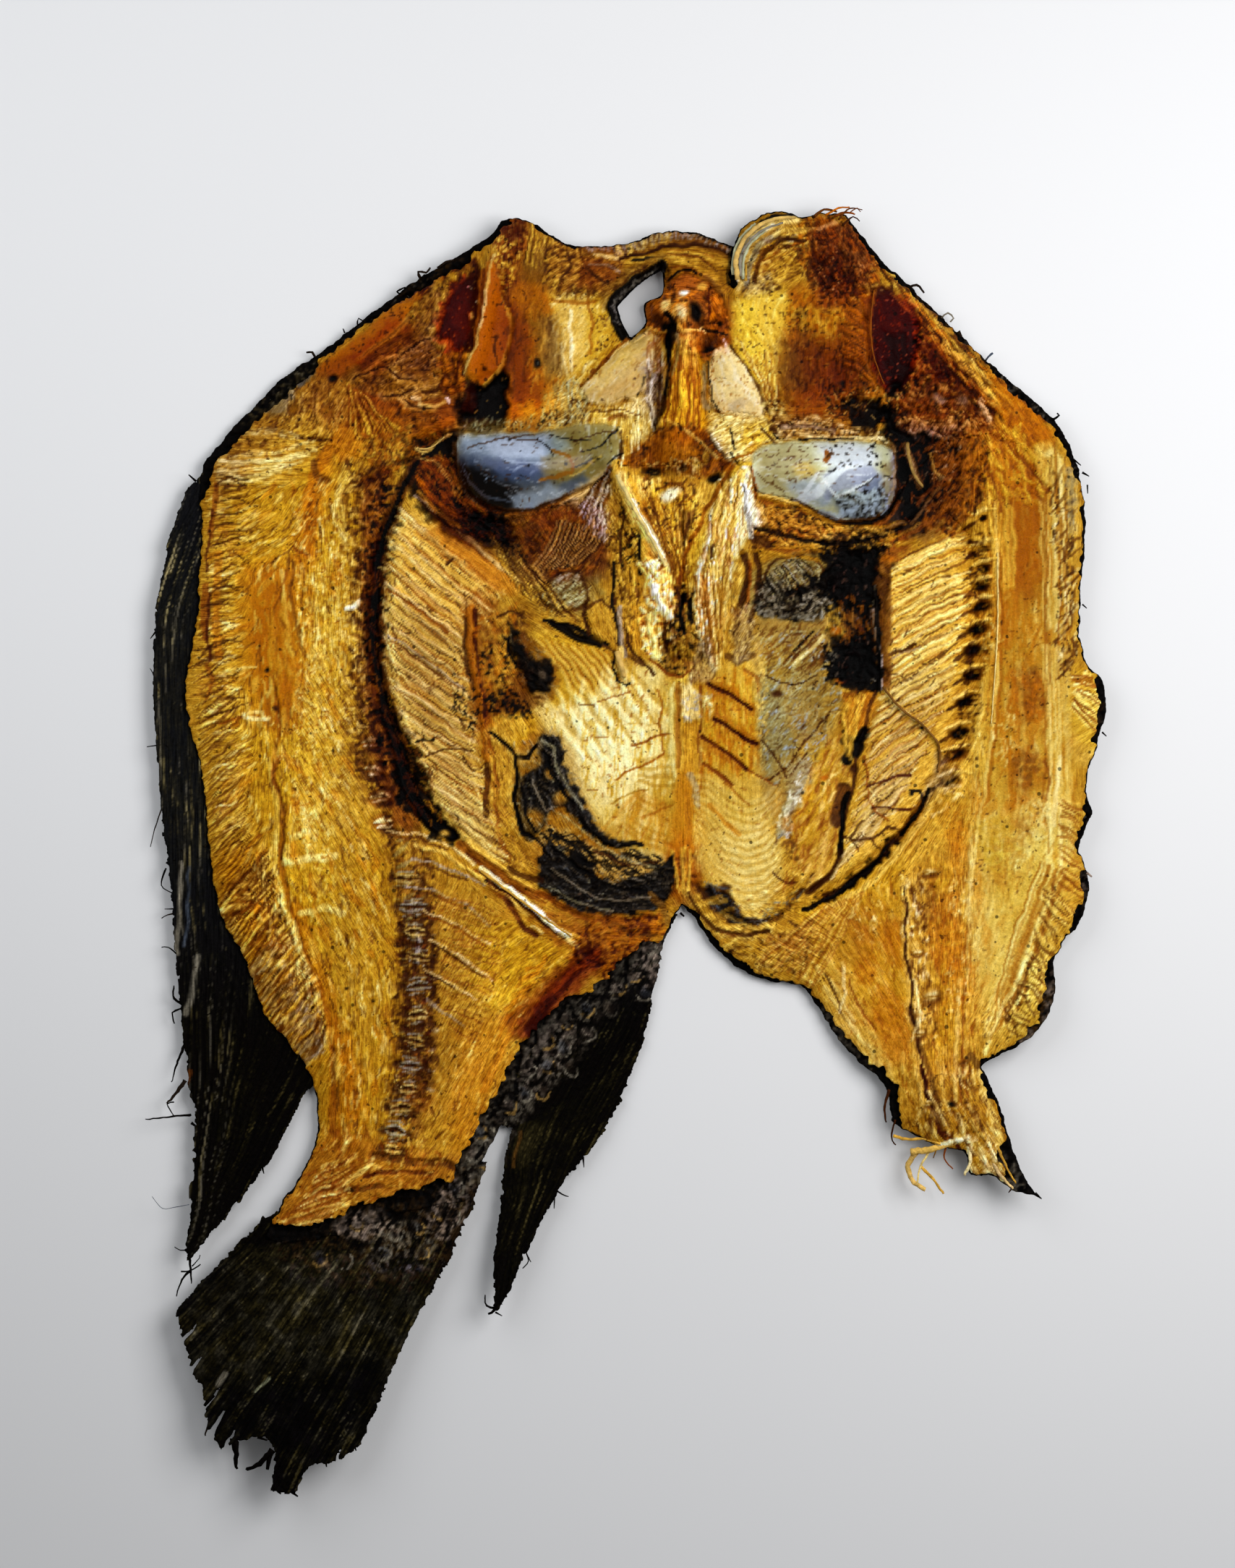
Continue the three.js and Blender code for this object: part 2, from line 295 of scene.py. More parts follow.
# how far a place counts as inside a field with a soft ragged edge
def fieldMask(points, soft, rag, seed):
    points = smoothRun(list(points) + [points[0]], 2.0)
    where = windowOf(points, soft + rag + 1)
    x, y = roughX[where], roughY[where]
    far, share = toLine(points, x, y)
    inside = np.zeros(x.shape, bool)
    for a, b in zip(points[:-1], points[1:]):
        if a[1] != b[1]:
            crossing = (a[1] > y) != (b[1] > y)
            inside ^= crossing & (x < (b[0] - a[0]) * (y - a[1]) / (b[1] - a[1]) + a[0])
    depth = np.where(inside, far, -far)
    if rag:
        depth = depth + rag * noise(gridX[where] / 2.2, gridY[where] / 2.2, seed + 40, 3)
    return where, smooth(depth / (2 * soft) + 0.5)


# a field of colour, raised or sunk; mottle breaks it up
def patch(layer, points, rise=0, colour=None, amount=1, soft=1.5, rag=0.8, mottle=0, gloss=None, seed=1):
    where, mask = fieldMask(points, soft, rag, seed)
    if mottle:
        grain = noise(gridX[where] / 1.6, gridY[where] / 1.6, seed + 60, 3)
        mask = mask * smooth(0.5 + grain * 2.2 * mottle + (0.5 - mottle * 0.5))
    if rise:
        layer["height"][where] += rise * mask
    if colour:
        tint(layer, where, mask, colour, amount)
    if gloss is not None:
        layer["gloss"][where] += (gloss - layer["gloss"][where]) * mask


# a round form, or a soft round field of colour
def dome(layer, at, reach, turn=0, rise=0, colour=None, amount=1, gloss=None):
    where = windowOf(np.array([at], float), max(reach))
    c, s = math.cos(math.radians(turn)), math.sin(math.radians(turn))
    dx, dy = roughX[where] - at[0], roughY[where] - at[1]
    t = ((dx * c + dy * s) / reach[0]) ** 2 + ((dy * c - dx * s) / reach[1]) ** 2
    mask = np.clip(1 - t, 0, 1) ** 2
    if rise:
        layer["height"][where] += rise * mask
    if colour:
        tint(layer, where, mask * 1.4, colour, amount)
    if gloss is not None:
        layer["gloss"][where] += (gloss - layer["gloss"][where]) * mask


def newLayer(colour):
    return {
        "height": np.zeros(gridX.shape), "paint": np.tile(tints[colour], gridX.shape + (1,)),
        "gloss": np.full(gridX.shape, 0.35),
    }


# lines from places spread along one run to places spread along another
def fan(layer, first, last, count, half, rise, colour, amount=1, seed=1, jitter=0.5, bow=0, **more):
    rng = np.random.default_rng(seed)
    a, b = smoothRun(first, 1.0), smoothRun(last, 1.0)
    for k in range(count):
        t = (k + 0.5 + rng.uniform(-0.3, 0.3)) / count
        p, q = a[int(t * (len(a) - 1))], b[int(t * (len(b) - 1))]
        middle = (p + q) / 2 + bow * np.array([-(q - p)[1], (q - p)[0]]) / 10
        p, middle, q = [m + rng.uniform(-jitter, jitter, 2) for m in (p, middle, q)]
        stroke(layer, [p, middle, q], half * rng.uniform(0.7, 1.3), rise * rng.uniform(0.6, 1.3), colour,
               amount * rng.uniform(0.6, 1), **more)


# the values averaged over squares about size millimetres wide, three times over
def blurred(values, size):
    reach = max(1, round(size / cell / 2))
    for again in range(3):
        for axis in (0, 1):
            padded = np.pad(values, [(reach + 1, reach) if k == axis else (0, 0)
                                     for k in range(values.ndim)], "edge")
            sums = np.cumsum(padded, axis)
            low, high = [slice(None)] * values.ndim, [slice(None)] * values.ndim
            low[axis], high[axis] = slice(0, -2 * reach - 1), slice(2 * reach + 1, None)
            values = (sums[tuple(high)] - sums[tuple(low)]) / (2 * reach + 1)
    return values


# the fibre direction all over the grid, from marks (x, y, degrees)
def combField(marks):
    every = 5  # worked out on every fifth line of the grid
    x, y = gridX[::every, ::every], gridY[::every, ::every]
    c = s = 0
    for mx, my, degrees in marks:
        weight = 1 / ((x - mx) ** 2 + (y - my) ** 2 + 6) ** 2
        c = c + weight * math.cos(2 * math.radians(degrees))
        s = s + weight * math.sin(2 * math.radians(degrees))
    size = np.hypot(c, s)
    j, i = np.arange(rows) / every, np.arange(columns) / every
    below, left = np.minimum(j.astype(int), c.shape[0] - 2), np.minimum(i.astype(int), c.shape[1] - 2)
    fj, fi = (j - below)[:, None], (i - left)[None, :]

    def fine(v):
        return ((v[below][:, left] * (1 - fi) + v[below][:, left + 1] * fi) * (1 - fj)
                + (v[below + 1][:, left] * (1 - fi) + v[below + 1][:, left + 1] * fi) * fj)
    return np.arctan2(fine(s / size), fine(c / size)) / 2


# random grain dragged along the fibres: streaks about size wide and length long
def combed(angle, length, size, seed):
    if size > cell:
        grain = noise(gridX / size, gridY / size, seed, 2)
    else:
        grain = np.random.default_rng(seed).standard_normal(gridX.shape) * 0.5
    stepsCount = max(2, round(length / cell / 2))
    total, weight = grain.copy(), 1.0
    for side in (1, -1):
        i, j = np.meshgrid(np.arange(columns, dtype=float), np.arange(rows, dtype=float))
        cx, cy = side * np.cos(angle), side * np.sin(angle)
        for step in range(stepsCount):
            i, j = np.clip(i + cx, 0, columns - 1), np.clip(j + cy, 0, rows - 1)
            at = (np.rint(j).astype(int), np.rint(i).astype(int))
            nx, ny = np.cos(angle[at]), np.sin(angle[at])
            turned = np.where(nx * cx + ny * cy < 0, -1, 1)
            cx, cy = nx * turned, ny * turned
            fade = 1 - step / stepsCount
            total += grain[at] * fade
            weight += fade
    streaks = total / weight
    return np.clip(streaks / (2.2 * streaks.std()), -1, 1)


# many strokes: points, half width, rise, colour, amount
def strokes(layer, rows, **more):
    for points, half, rise, colour, amount in rows:
        stroke(layer, points, half, rise, colour, amount, **more)


def within(outline, at):
    a, b = outline, np.roll(outline, -1, 0)
    crossing = (a[:, 1] > at[1]) != (b[:, 1] > at[1])
    a, b = a[crossing], b[crossing]
    return np.count_nonzero(at[0] < a[:, 0] + (at[1] - a[:, 1]) / (b[:, 1] - a[:, 1])
                            * (b[:, 0] - a[:, 0])) % 2 == 1


# short strokes strewn over a field, along the fibres or leaning one way
def flecks(layer, outline, count, long, half, rise, colour, amount=0.8, seed=1, lean=None, stray=0.2):
    rng = np.random.default_rng(seed + 500)
    outline = np.array(outline, float)
    low, high = outline.min(0), outline.max(0)
    made = 0
    while made < count:
        at = rng.uniform(low, high)
        if not within(outline, at):
            continue
        made += 1
        i, j = [int((at[k] - grid["low"][k]) / cell) for k in (0, 1)]
        angle = (fibreAngle[j, i] if lean is None else math.radians(lean)) + rng.normal(0, stray)
        d = np.array([math.cos(angle), math.sin(angle)]) * long * rng.uniform(0.3, 1.3) / 2
        side = np.array([-d[1], d[0]]) * rng.normal(0, 0.15)
        stroke(layer, [at - d, at + side, at + d], half * rng.uniform(0.6, 1.3),
               rise * rng.uniform(0.5, 1.2), colour,
               amount * rng.uniform(0.5, 1), taper=0.75, bend=False)


# a crack painted near black as painted shade in it, with raised pale lips
def crack(layer, points, half, depth, colour="char", amount=0.95, lip="sand", lipAmount=0.35):
    stroke(layer, points, half * 3, depth * 0.5, lip, lipAmount, soft=0.9)
    stroke(layer, points, half, -depth * 1.6, colour, amount, taper=0.4)


# a row of small cross pieces along a run, such as the cut backbone
def chips(layer, run, step, long, half, rise, colour, amount=0.9, turn=90, seed=1):
    rng = np.random.default_rng(seed + 900)
    run = smoothRun(run, 0.25)
    lengths = np.concatenate([[0], np.cumsum(np.hypot(*np.diff(run, axis=0).T))])
    place = step / 2
    while place < lengths[-1]:
        at = np.array([np.interp(place, lengths, run[:, k]) for k in (0, 1)])
        ahead = np.array([np.interp(place + 0.5, lengths, run[:, k]) for k in (0, 1)]) - at
        angle = math.atan2(ahead[1], ahead[0]) + math.radians(turn) + rng.normal(0, 0.16)
        at = at + rng.uniform(-0.4, 0.4, 2)
        d = np.array([math.cos(angle), math.sin(angle)]) * long * rng.uniform(0.6, 1.15) / 2
        stroke(layer, [at - d, at + d], half * rng.uniform(0.7, 1.2), rise * rng.uniform(0.6, 1.2), colour,
               amount * rng.uniform(0.6, 1), taper=0.5, bend=False)
        place += step * rng.uniform(0.75, 1.25)


# ground that is both: dark and light flecks over a field
def grain(outline, count, long, half, dark, light, seed, lean=None, stray=0.3, rise=0.25, amount=0.7):
    flecks(flesh, outline, count, long, half, -rise, dark, amount, seed + 100, lean, stray)
    flecks(flesh, outline, count, long, half * 1.15, rise, light, amount, seed + 200, lean, stray)


# raised bundles with dark gaps between them; the dark in the gaps is partly their own colour and partly
# painted shade
def strands(first, last, count, half, light, dark, seed, rise=0.35, amount=0.7, **more):
    fan(flesh, first, last, count, half, rise, light, amount, seed + 100, **more)
    fan(flesh, first, last, count, half * 0.7, -rise, dark, amount, seed + 200, **more)


# the forms under everything
body = {
    "rimThickness": 2.2, "fleshThickness": 3.6,
    "edgeRound": 5,  # how far in the edge is rounded
    "leastFlesh": 0.2,
}
# places, reach across and along, turn in degrees, height
domes = [
    ((-84, 25), (22, 80), 0, 2.2), ((-60, -40), (24, 40), -12, 1.6), ((93, 20), (18, 75), 2, 1.8),
    ((-46, 122), (26, 20), 38, 4.4), ((62, 122), (26, 22), -42, 4.4), ((14, 18), (44, 46), 0, -3),
    ((-22, 26), (20, 40), 0, -1.4), ((46, 40), (20, 40), 0, -1.4), ((-44, 86), (12, 12), 0, -2.6),
    ((66, 90), (10, 14), 0, -2.6), ((-25, 90), (20, 9), 4, 5.2), ((47, 89), (19, 10), -8, 5.2),
    ((14, 127), (10, 10), 0, 10), ((12, 72), (17, 28), 0, 4.6),
]
# line, half width, height
ridges = [
    ([(14, 118), (13.6, 106), (12, 94)], 7, 5.4), ([(-3, 92), (2, 78), (11, 52)], 5, 3),
    ([(27, 90), (21, 70), (13, 50)], 6, 4), ([(-29, 146), (-33, 132), (-36, 118), (-38, 106)], 4, 2.6),
    ([(12.5, 42), (12.5, -10)], 4, 1.2),
    ([(-46, 96), (-54, 86), (-58, 72), (-60, 50), (-57, 32), (-51, 16), (-42, 4)], 4.5, -2.2),
    ([(79, 74), (82, 60), (81, 42), (77, 26), (70, 11), (58, -3), (46, -11)], 4.5, -2.2),
    ([(-52, 0), (-50, -20), (-51, -45), (-55, -66), (-62, -78)], 5, 1.1),
    ([(66, -8), (66, -30), (68, -50), (73, -66)], 5, 1),
]
# where a rim starts to lift, where it is up, how far
curls = [
    ((0, 118), (0, 152), 4), ((82, 20), (114, 20), 4), ((-92, 10), (-114, 10), 2.4),
    ((50, -20), (80, -84), 5), ((-20, -50), (-30, -112), 2.6), ((-60, -96), (-80, -152), 2),
]


# how far the dried fish has curled up off the ground
def skinHeight(x, y):
    z = 0
    for start, full, lift in curls:
        dx, dy = full[0] - start[0], full[1] - start[1]
        z = z + lift * smooth(((x - start[0]) * dx + (y - start[1]) * dy) / (dx * dx + dy * dy))
    return z


skinZ = skinHeight(gridX, gridY)
flesh = newLayer("ochre")
for at, reach, turn, rise in domes:
    dome(flesh, at, reach, turn, rise)
for along, half, rise in ridges:
    points = np.array(along, float)
    where = windowOf(points, half)
    far = toLine(points, gridX[where], gridY[where])[0]
    flesh["height"][where] += rise * np.clip(1 - (far / half) ** 2, 0, 1) ** 2
print("forms")


# colour fields, from the wide ones to the small ones
# points, rise, colour, amount, softness, raggedness
fields = [
    # left back fillet and tail
    ([(-92, 98), (-72, 95), (-58, 86), (-62, 50), (-58, 8), (-52, -30), (-56, -74), (-72, -70),
      (-74, -48), (-88, -22), (-95, 20), (-98, 60)], 0, "gold", 0.75, 5, 1),
    ([(-103, 44), (-92, 46), (-88, 20), (-84, -8), (-74, -38), (-71, -58), (-76, -58), (-92, -28),
      (-102, 10)],
     0, "hay", 0.6, 3, 1),
    ([(-100, 88), (-92, 88), (-91, 50), (-103, 44), (-104, 60)], 0, "hay", 0.45, 3, 1),
    ([(-80, 60), (-66, 60), (-64, 0), (-58, -40), (-66, -40), (-76, -4)], 0, "straw", 0.4, 5, 2),
    ([(-92, 100), (-74, 97), (-72, 92), (-84, 86), (-97, 86)], 0.3, "straw", 0.6, 2, 1),
    ([(-90, 66), (-78, 66), (-77, 40), (-80, 30), (-86, 30), (-90, 44)], 0, "amber", 0.75, 4, 1),
    ([(-72, 96), (-69, 92), (-73, 76), (-75, 66), (-79, 68), (-77, 80)], 0, "amber", 0.6, 2, 1),
    ([(-46, -8), (-30, -12), (-14, -24), (-24, -36), (-34, -66), (-46, -74), (-50, -40)], 0, "ochre", 0.8,
     4, 1),
    ([(-36, -18), (-22, -18), (-14, -24), (-26, -36), (-36, -34)], 0, "gold", 0.9, 4, 1),
    ([(-40, -40), (-28, -42), (-36, -70), (-42, -66)], 0, "amber", 0.35, 3, 1),
    ([(-74, -60), (-60, -62), (-56, -72), (-66, -82), (-80, -86)], 0, "hay", 0.6, 3, 1),
    ([(-70, -44), (-64, -46), (-64, -70), (-70, -66)], 0, "amber", 0.4, 2.5, 1),
    ([(-70, -64), (-50, -70), (-38, -74), (-50, -80), (-70, -85), (-84, -88)], 0, "rust", 0.45, 2, 1.5),
    ([(-8, -24), (-4, -20), (-14, -30), (-28, -42), (-30, -40), (-20, -30)], -0.5, "rust", 0.85, 1.6, 1),
    ([(-24, -14), (-6, -16), (8, -15), (4, -24), (-4, -30), (-12, -26)], 0, "rust", 0.7, 2.5, 2),
    # left ribs and gut
    ([(-56, 80), (-44, 78), (-26, 62), (-36, 46), (-34, 20), (-30, -2), (-44, 6), (-54, 26), (-58, 60)],
     0.2, "sand", 0.85, 2, 1),
    ([(-54, 78), (-40, 74), (-28, 62), (-40, 52), (-56, 60)], 0, "straw", 0.6, 3, 1),
    ([(-56, 50), (-38, 40), (-36, 20), (-46, 14), (-56, 36)], 0, "sand", 0.5, 3, 1),
    ([(-38, 58), (-26, 60), (-22, 30), (-20, 0), (-28, -4), (-36, 20)], -0.3, "ochre", 0.85, 2, 1),
    ([(-40, 60), (-32, 60), (-32, 40), (-36, 26), (-38, 40)], -0.2, "rust", 0.6, 1.5, 1.5),
    ([(-36, 56), (-24, 56), (-22, 36), (-30, 32), (-34, 40)], 0, "brown", 0.45, 2, 2),
    # belly
    ([(-22, 52), (-4, 44), (10, 40), (11, -2), (-2, 3), (-14, 14), (-22, 34)], 0.5, "cream", 0.9, 2.5, 0.6),
    ([(-16, 30), (-2, 38), (4, 30), (4, 14), (-4, 8), (-12, 18)], 0, "pale", 0.5, 5, 1),
    ([(-6, 10), (10, 14), (10, -4), (0, 2)], 0, "gold", 0.55, 4, 1),
    ([(4, 36), (10, 38), (10, 8), (4, 6)], 0, "straw", 0.6, 3, 1),
    ([(14, 42), (30, 46), (32, 20), (38, 2), (44, -6), (30, -17), (18, -8), (14, 0)], 0.5, "straw", 0.9,
     2.5, 0.6),
    ([(18, 40), (30, 38), (30, 20), (18, 22)], 0, "gold", 0.7, 3, 1),
    ([(18, 16), (30, 14), (36, 0), (40, -6), (30, -16), (22, -6)], 0, "cream", 0.85, 4, 1),
    ([(20, 16), (28, 14), (28, 6), (20, 6)], 0, "gold", 0.5, 3, 1),
    ([(9.5, 40), (16.5, 40), (17, 16), (16, -8), (10, -8), (9.5, 14)], 0.2, "amber", 0.45, 2.5, 0.5),
    ([(9, -1), (17, -1), (15, -12), (11, -12)], -0.3, "blood", 0.5, 1.6, 0.8),
    # right gut wall and ribs
    ([(29, 58), (50, 56), (52, 36), (44, 28), (40, 14), (37, 4), (32, 10), (30, 28)], 0.3, "film", 0.85,
     1.2, 0.8),
    ([(32, 44), (34, 44), (33, 22), (36, 6), (40, 14), (44, 28), (36, 26)], 0, "grey", 0.35, 1.5, 1),
    ([(46, 44), (56, 40), (52, 18), (48, -2), (44, -8), (34, -12), (38, 4), (44, 20)], 0.3, "ochre", 0.85,
     2, 0.6),
    ([(38, 26), (48, 24), (46, 6), (38, 0), (40, 14)], 0, "gold", 0.8, 3, 1),
    ([(61, 68), (79, 73), (80, 48), (74, 22), (66, 8), (52, -4), (48, -8), (54, 16), (60, 36)],
     0.3, "straw", 0.95, 1.5, 0.5),
    ([(62, 66), (76, 70), (77, 50), (62, 40)], 0, "sand", 0.7, 3, 1),
    # right back fillet and stub
    ([(83, 98), (88, 100), (104, 80), (104, 20), (104, -20), (90, -44), (78, -60), (66, -60), (48, -30),
      (58, -8), (76, 14), (84, 50)], 0, "straw", 0.7, 3, 1),
    ([(86, 100), (96, 98), (98, 70), (96, 50), (88, 52), (86, 76)], 0, "amber", 0.9, 3, 1),
    ([(88, 60), (97, 60), (95, 20), (92, 6), (88, 20)], 0, "ochre", 0.75, 4, 1.5),
    ([(89, 42), (96, 42), (96, 30), (90, 30)], 0, "orange", 0.6, 2.5, 1.5),
    ([(89, 24), (93, 25), (93, 12), (90, 8)], 0, "rust", 0.35, 2.5, 1.5),
    ([(84, 98), (97, 98), (106, 84), (104, 50), (100, 50), (99, 84), (92, 94)], 0, "straw", 0.75, 2, 1),
    ([(81, 8), (98, 10), (98, -20), (86, -44), (80, -20)], 0, "sand", 0.7, 5, 1.5),
    ([(66, -8), (76, -4), (78, -30), (74, -50), (68, -50), (66, -30)], 0, "gold", 0.7, 3, 1),
    ([(40, -14), (64, -4), (66, -36), (56, -44), (44, -28)], 0, "gold", 0.75, 3, 1),
    ([(46, -24), (52, -30), (62, -50), (60, -56), (46, -38)], 0, "sand", 0.6, 2, 1),
    ([(30, -20), (44, -18), (42, -28), (26, -26), (16, -17)], 0, "ochre", 0.8, 2, 1),
    ([(105, 42), (112, 38), (110, 22), (104, 22)], 0.3, "sand", 0.7, 1.5, 0.5),
    ([(66, -60), (84, -52), (90, -70), (88, -78), (80, -76), (78, -70), (66, -66)], 0, "hay", 0.6, 2, 1),
    # head, left
    ([(-100, 90), (-74, 112), (-50, 130), (-38, 140), (-44, 100), (-60, 94)], 0, "ochre", 0.7, 3, 1),
    ([(-73, 112), (-62, 121), (-46, 136), (-42, 134), (-54, 118), (-66, 112)], 0.2, "caramel", 0.95, 1.6,
     0.6),
    ([(-66, 113), (-54, 122), (-44, 118), (-36, 114), (-36, 106), (-48, 104), (-64, 106)], -0.4, "olive",
     0.8, 2, 1.5),
    ([(-60, 108), (-46, 108), (-38, 102), (-44, 98), (-56, 100)], 0, "rust", 0.75, 2, 2),
    ([(-49, 136), (-38, 140), (-40, 133), (-46, 120), (-54, 116), (-50, 124)], 0, "brown", 0.6, 2, 2),
    ([(-46, 121), (-41, 134), (-36, 139), (-34.5, 128), (-36.5, 117), (-40, 117)], -1.6, "blood", 0.92, 1,
     0.6),
    ([(-36, 130), (-31, 140), (-27.5, 128), (-28, 119), (-30, 112), (-35, 108), (-38, 112), (-35, 122)],
     0.6, "caramel", 0.95, 0.9, 0.4),
    ([(-31, 147), (-24, 148), (-24, 140), (-27, 130), (-31, 132)], 0.3, "blood", 0.75, 1.2, 1),
    ([(-26, 146), (-20, 144), (-16, 136), (-14, 118), (-18, 102), (-28, 100), (-30, 110), (-28, 128)],
     0, "caramel", 0.9, 2, 0.6),
    ([(-24, 146), (-14, 142), (-14, 130), (-20, 124), (-24, 130)], 0, "ochre", 0.7, 2.5, 1),
    ([(-20, 131), (-2, 130), (-3, 120), (-10, 112), (-16, 116), (-20, 120)], 0, "sun", 0.8, 2.5, 1),
    ([(-20, 128), (-13, 126), (-12, 110), (-18, 100), (-20, 110)], 0, "straw", 0.6, 2, 1),
    ([(-30, 112), (-22, 112), (-16, 104), (-22, 98), (-30, 100)], 0, "orange", 0.8, 2, 1),
    ([(-18, 144), (0, 142), (2, 138), (-4, 130), (-18, 133)], 0, "brown", 0.4, 2, 1.5),
    ([(-37, 111), (-31, 113), (-28, 106), (-30, 99), (-40, 99), (-40, 106)], -1.2, "char", 0.95, 1, 1),
    # jaws and skull
    ([(-12, 145), (6, 145), (24, 142.5), (24, 137), (8, 138), (-6, 138)], 0.4, "brown", 0.65, 1.5, 1),
    ([(3, 124), (4, 131), (8, 133), (16, 134), (22, 130), (25, 122), (21, 116), (14, 118), (8, 120)],
     0, "rust", 0.6, 1.5, 1),
    ([(8, 137), (16, 139), (24, 137), (30, 130), (22, 130), (14, 134), (9, 133)], 0, "hay", 0.8, 1.5, 1),
    ([(4, 120), (8, 120), (7, 112), (3, 103), (-1, 102), (-9, 105), (-10, 110)], 0.9, "bone", 0.95, 0.8,
     0.3),
    ([(-10, 104), (2, 103), (6, 98), (3, 92), (-6, 88), (-14, 98)], 0, "cream", 0.55, 1.6, 0.6),
    ([(10, 121), (17, 120), (16, 108), (20, 97), (14, 92), (4, 96), (8, 104)], 0.5, "gold", 0.85, 1.2, 0.6),
    ([(0, 92), (6, 98), (14, 104), (20, 97), (26, 91), (16, 88)], 0, "rust", 0.7, 1.8, 1.2),
    ([(18, 115), (23, 119), (29, 112), (33, 105), (30, 101), (22, 102), (19, 107)], 0.9, "pink", 0.95, 0.9,
     0.4),
    ([(18, 104), (32, 102), (32, 96), (24, 91), (20, 96)], 0.2, "cream", 0.85, 1.4, 0.5),
    # head, right
    ([(23, 122), (28, 131), (38, 134), (38, 108), (32, 107), (25, 118)], 0, "sun", 0.9, 2, 1),
    ([(28, 140), (42, 140), (46, 132), (36, 130), (26, 132)], 0, "straw", 0.6, 2, 1.5),
    ([(37, 132), (52, 134), (57, 128), (58, 106), (44, 102), (36, 106)], 0, "caramel", 0.9, 2.4, 1.5),
    ([(40, 130), (50, 130), (50, 122), (42, 121)], 0, "orange", 0.75, 2, 1),
    ([(36, 122), (40, 122), (40, 108), (35, 110)], 0, "olive", 0.7, 1.6, 1),
    ([(40, 147), (52, 146), (58, 138), (50, 132), (42, 134)], 0, "brown", 0.65, 2, 2),
    ([(54, 132), (62, 132), (68, 124), (66, 112), (60, 108), (57, 113), (55, 122)], -1.6, "blood", 0.95, 1,
     0.6),
    ([(62, 132), (68, 128), (82, 108), (84, 98), (66, 98), (60, 106), (66, 112), (68, 122)], -0.3, "umber",
     0.75, 2, 2),
    ([(55, 142), (62, 137), (80, 119), (92, 106), (88, 102), (78, 112), (66, 128)], 0.5, "orange", 0.75,
     1.6, 1),
    ([(84, 112), (94, 106), (102, 98), (98, 90), (88, 100)], 0, "ochre", 0.7, 2, 1),
    # gill hollows; the first two are painted black and soot as the shadow under the gill covers
    ([(-52, 98), (-40, 98), (-38, 84), (-30, 80), (-28, 72), (-42, 74), (-52, 86)], -1.2, "char", 0.9, 1.6,
     1.5),
    ([(58, 104), (70, 104), (78, 94), (76, 80), (66, 74), (58, 76), (62, 88), (60, 98)], -1.2, "soot", 0.9,
     1.6, 1.5),
    ([(66, 104), (84, 102), (82, 84), (76, 76), (70, 80), (74, 92)], 0, "brown", 0.8, 2, 2),
    ([(29, 83), (40, 81), (48, 77), (60, 78), (66, 72), (60, 68), (46, 70), (30, 71)], 0, "rust", 0.8, 1.6,
     1.5),
    ([(-30, 79), (-15, 82), (-6, 86), (-2, 80), (-6, 64), (-22, 62), (-30, 72)], -0.4, "brown", 0.8, 1.6,
     1.2),
    ([(-24, 68), (-10, 67), (-6, 60), (-12, 55), (-22, 58)], 0, "sage", 0.6, 1.8, 1.2),
    # throat
    ([(-6, 90), (2, 92), (10, 84), (28, 92), (30, 80), (24, 58), (16, 40), (10, 40), (0, 60)], 0, "straw",
     0.7, 1.5, 1),
    ([(3, 86), (12, 84), (14, 62), (11, 44), (6, 60)], -0.8, "rust", 0.7, 1.5, 1.2),
    ([(24, 60), (32, 68), (46, 69), (48, 58), (38, 54), (28, 56)], -0.4, "sage", 0.7, 1.6, 1.2),
    ([(44, 72), (60, 70), (60, 58), (58, 38), (48, 40), (47, 56)], -0.8, "char", 0.95, 1.2, 1.5),
]
for row in fields:
    patch(flesh, *row)
print("colour fields")


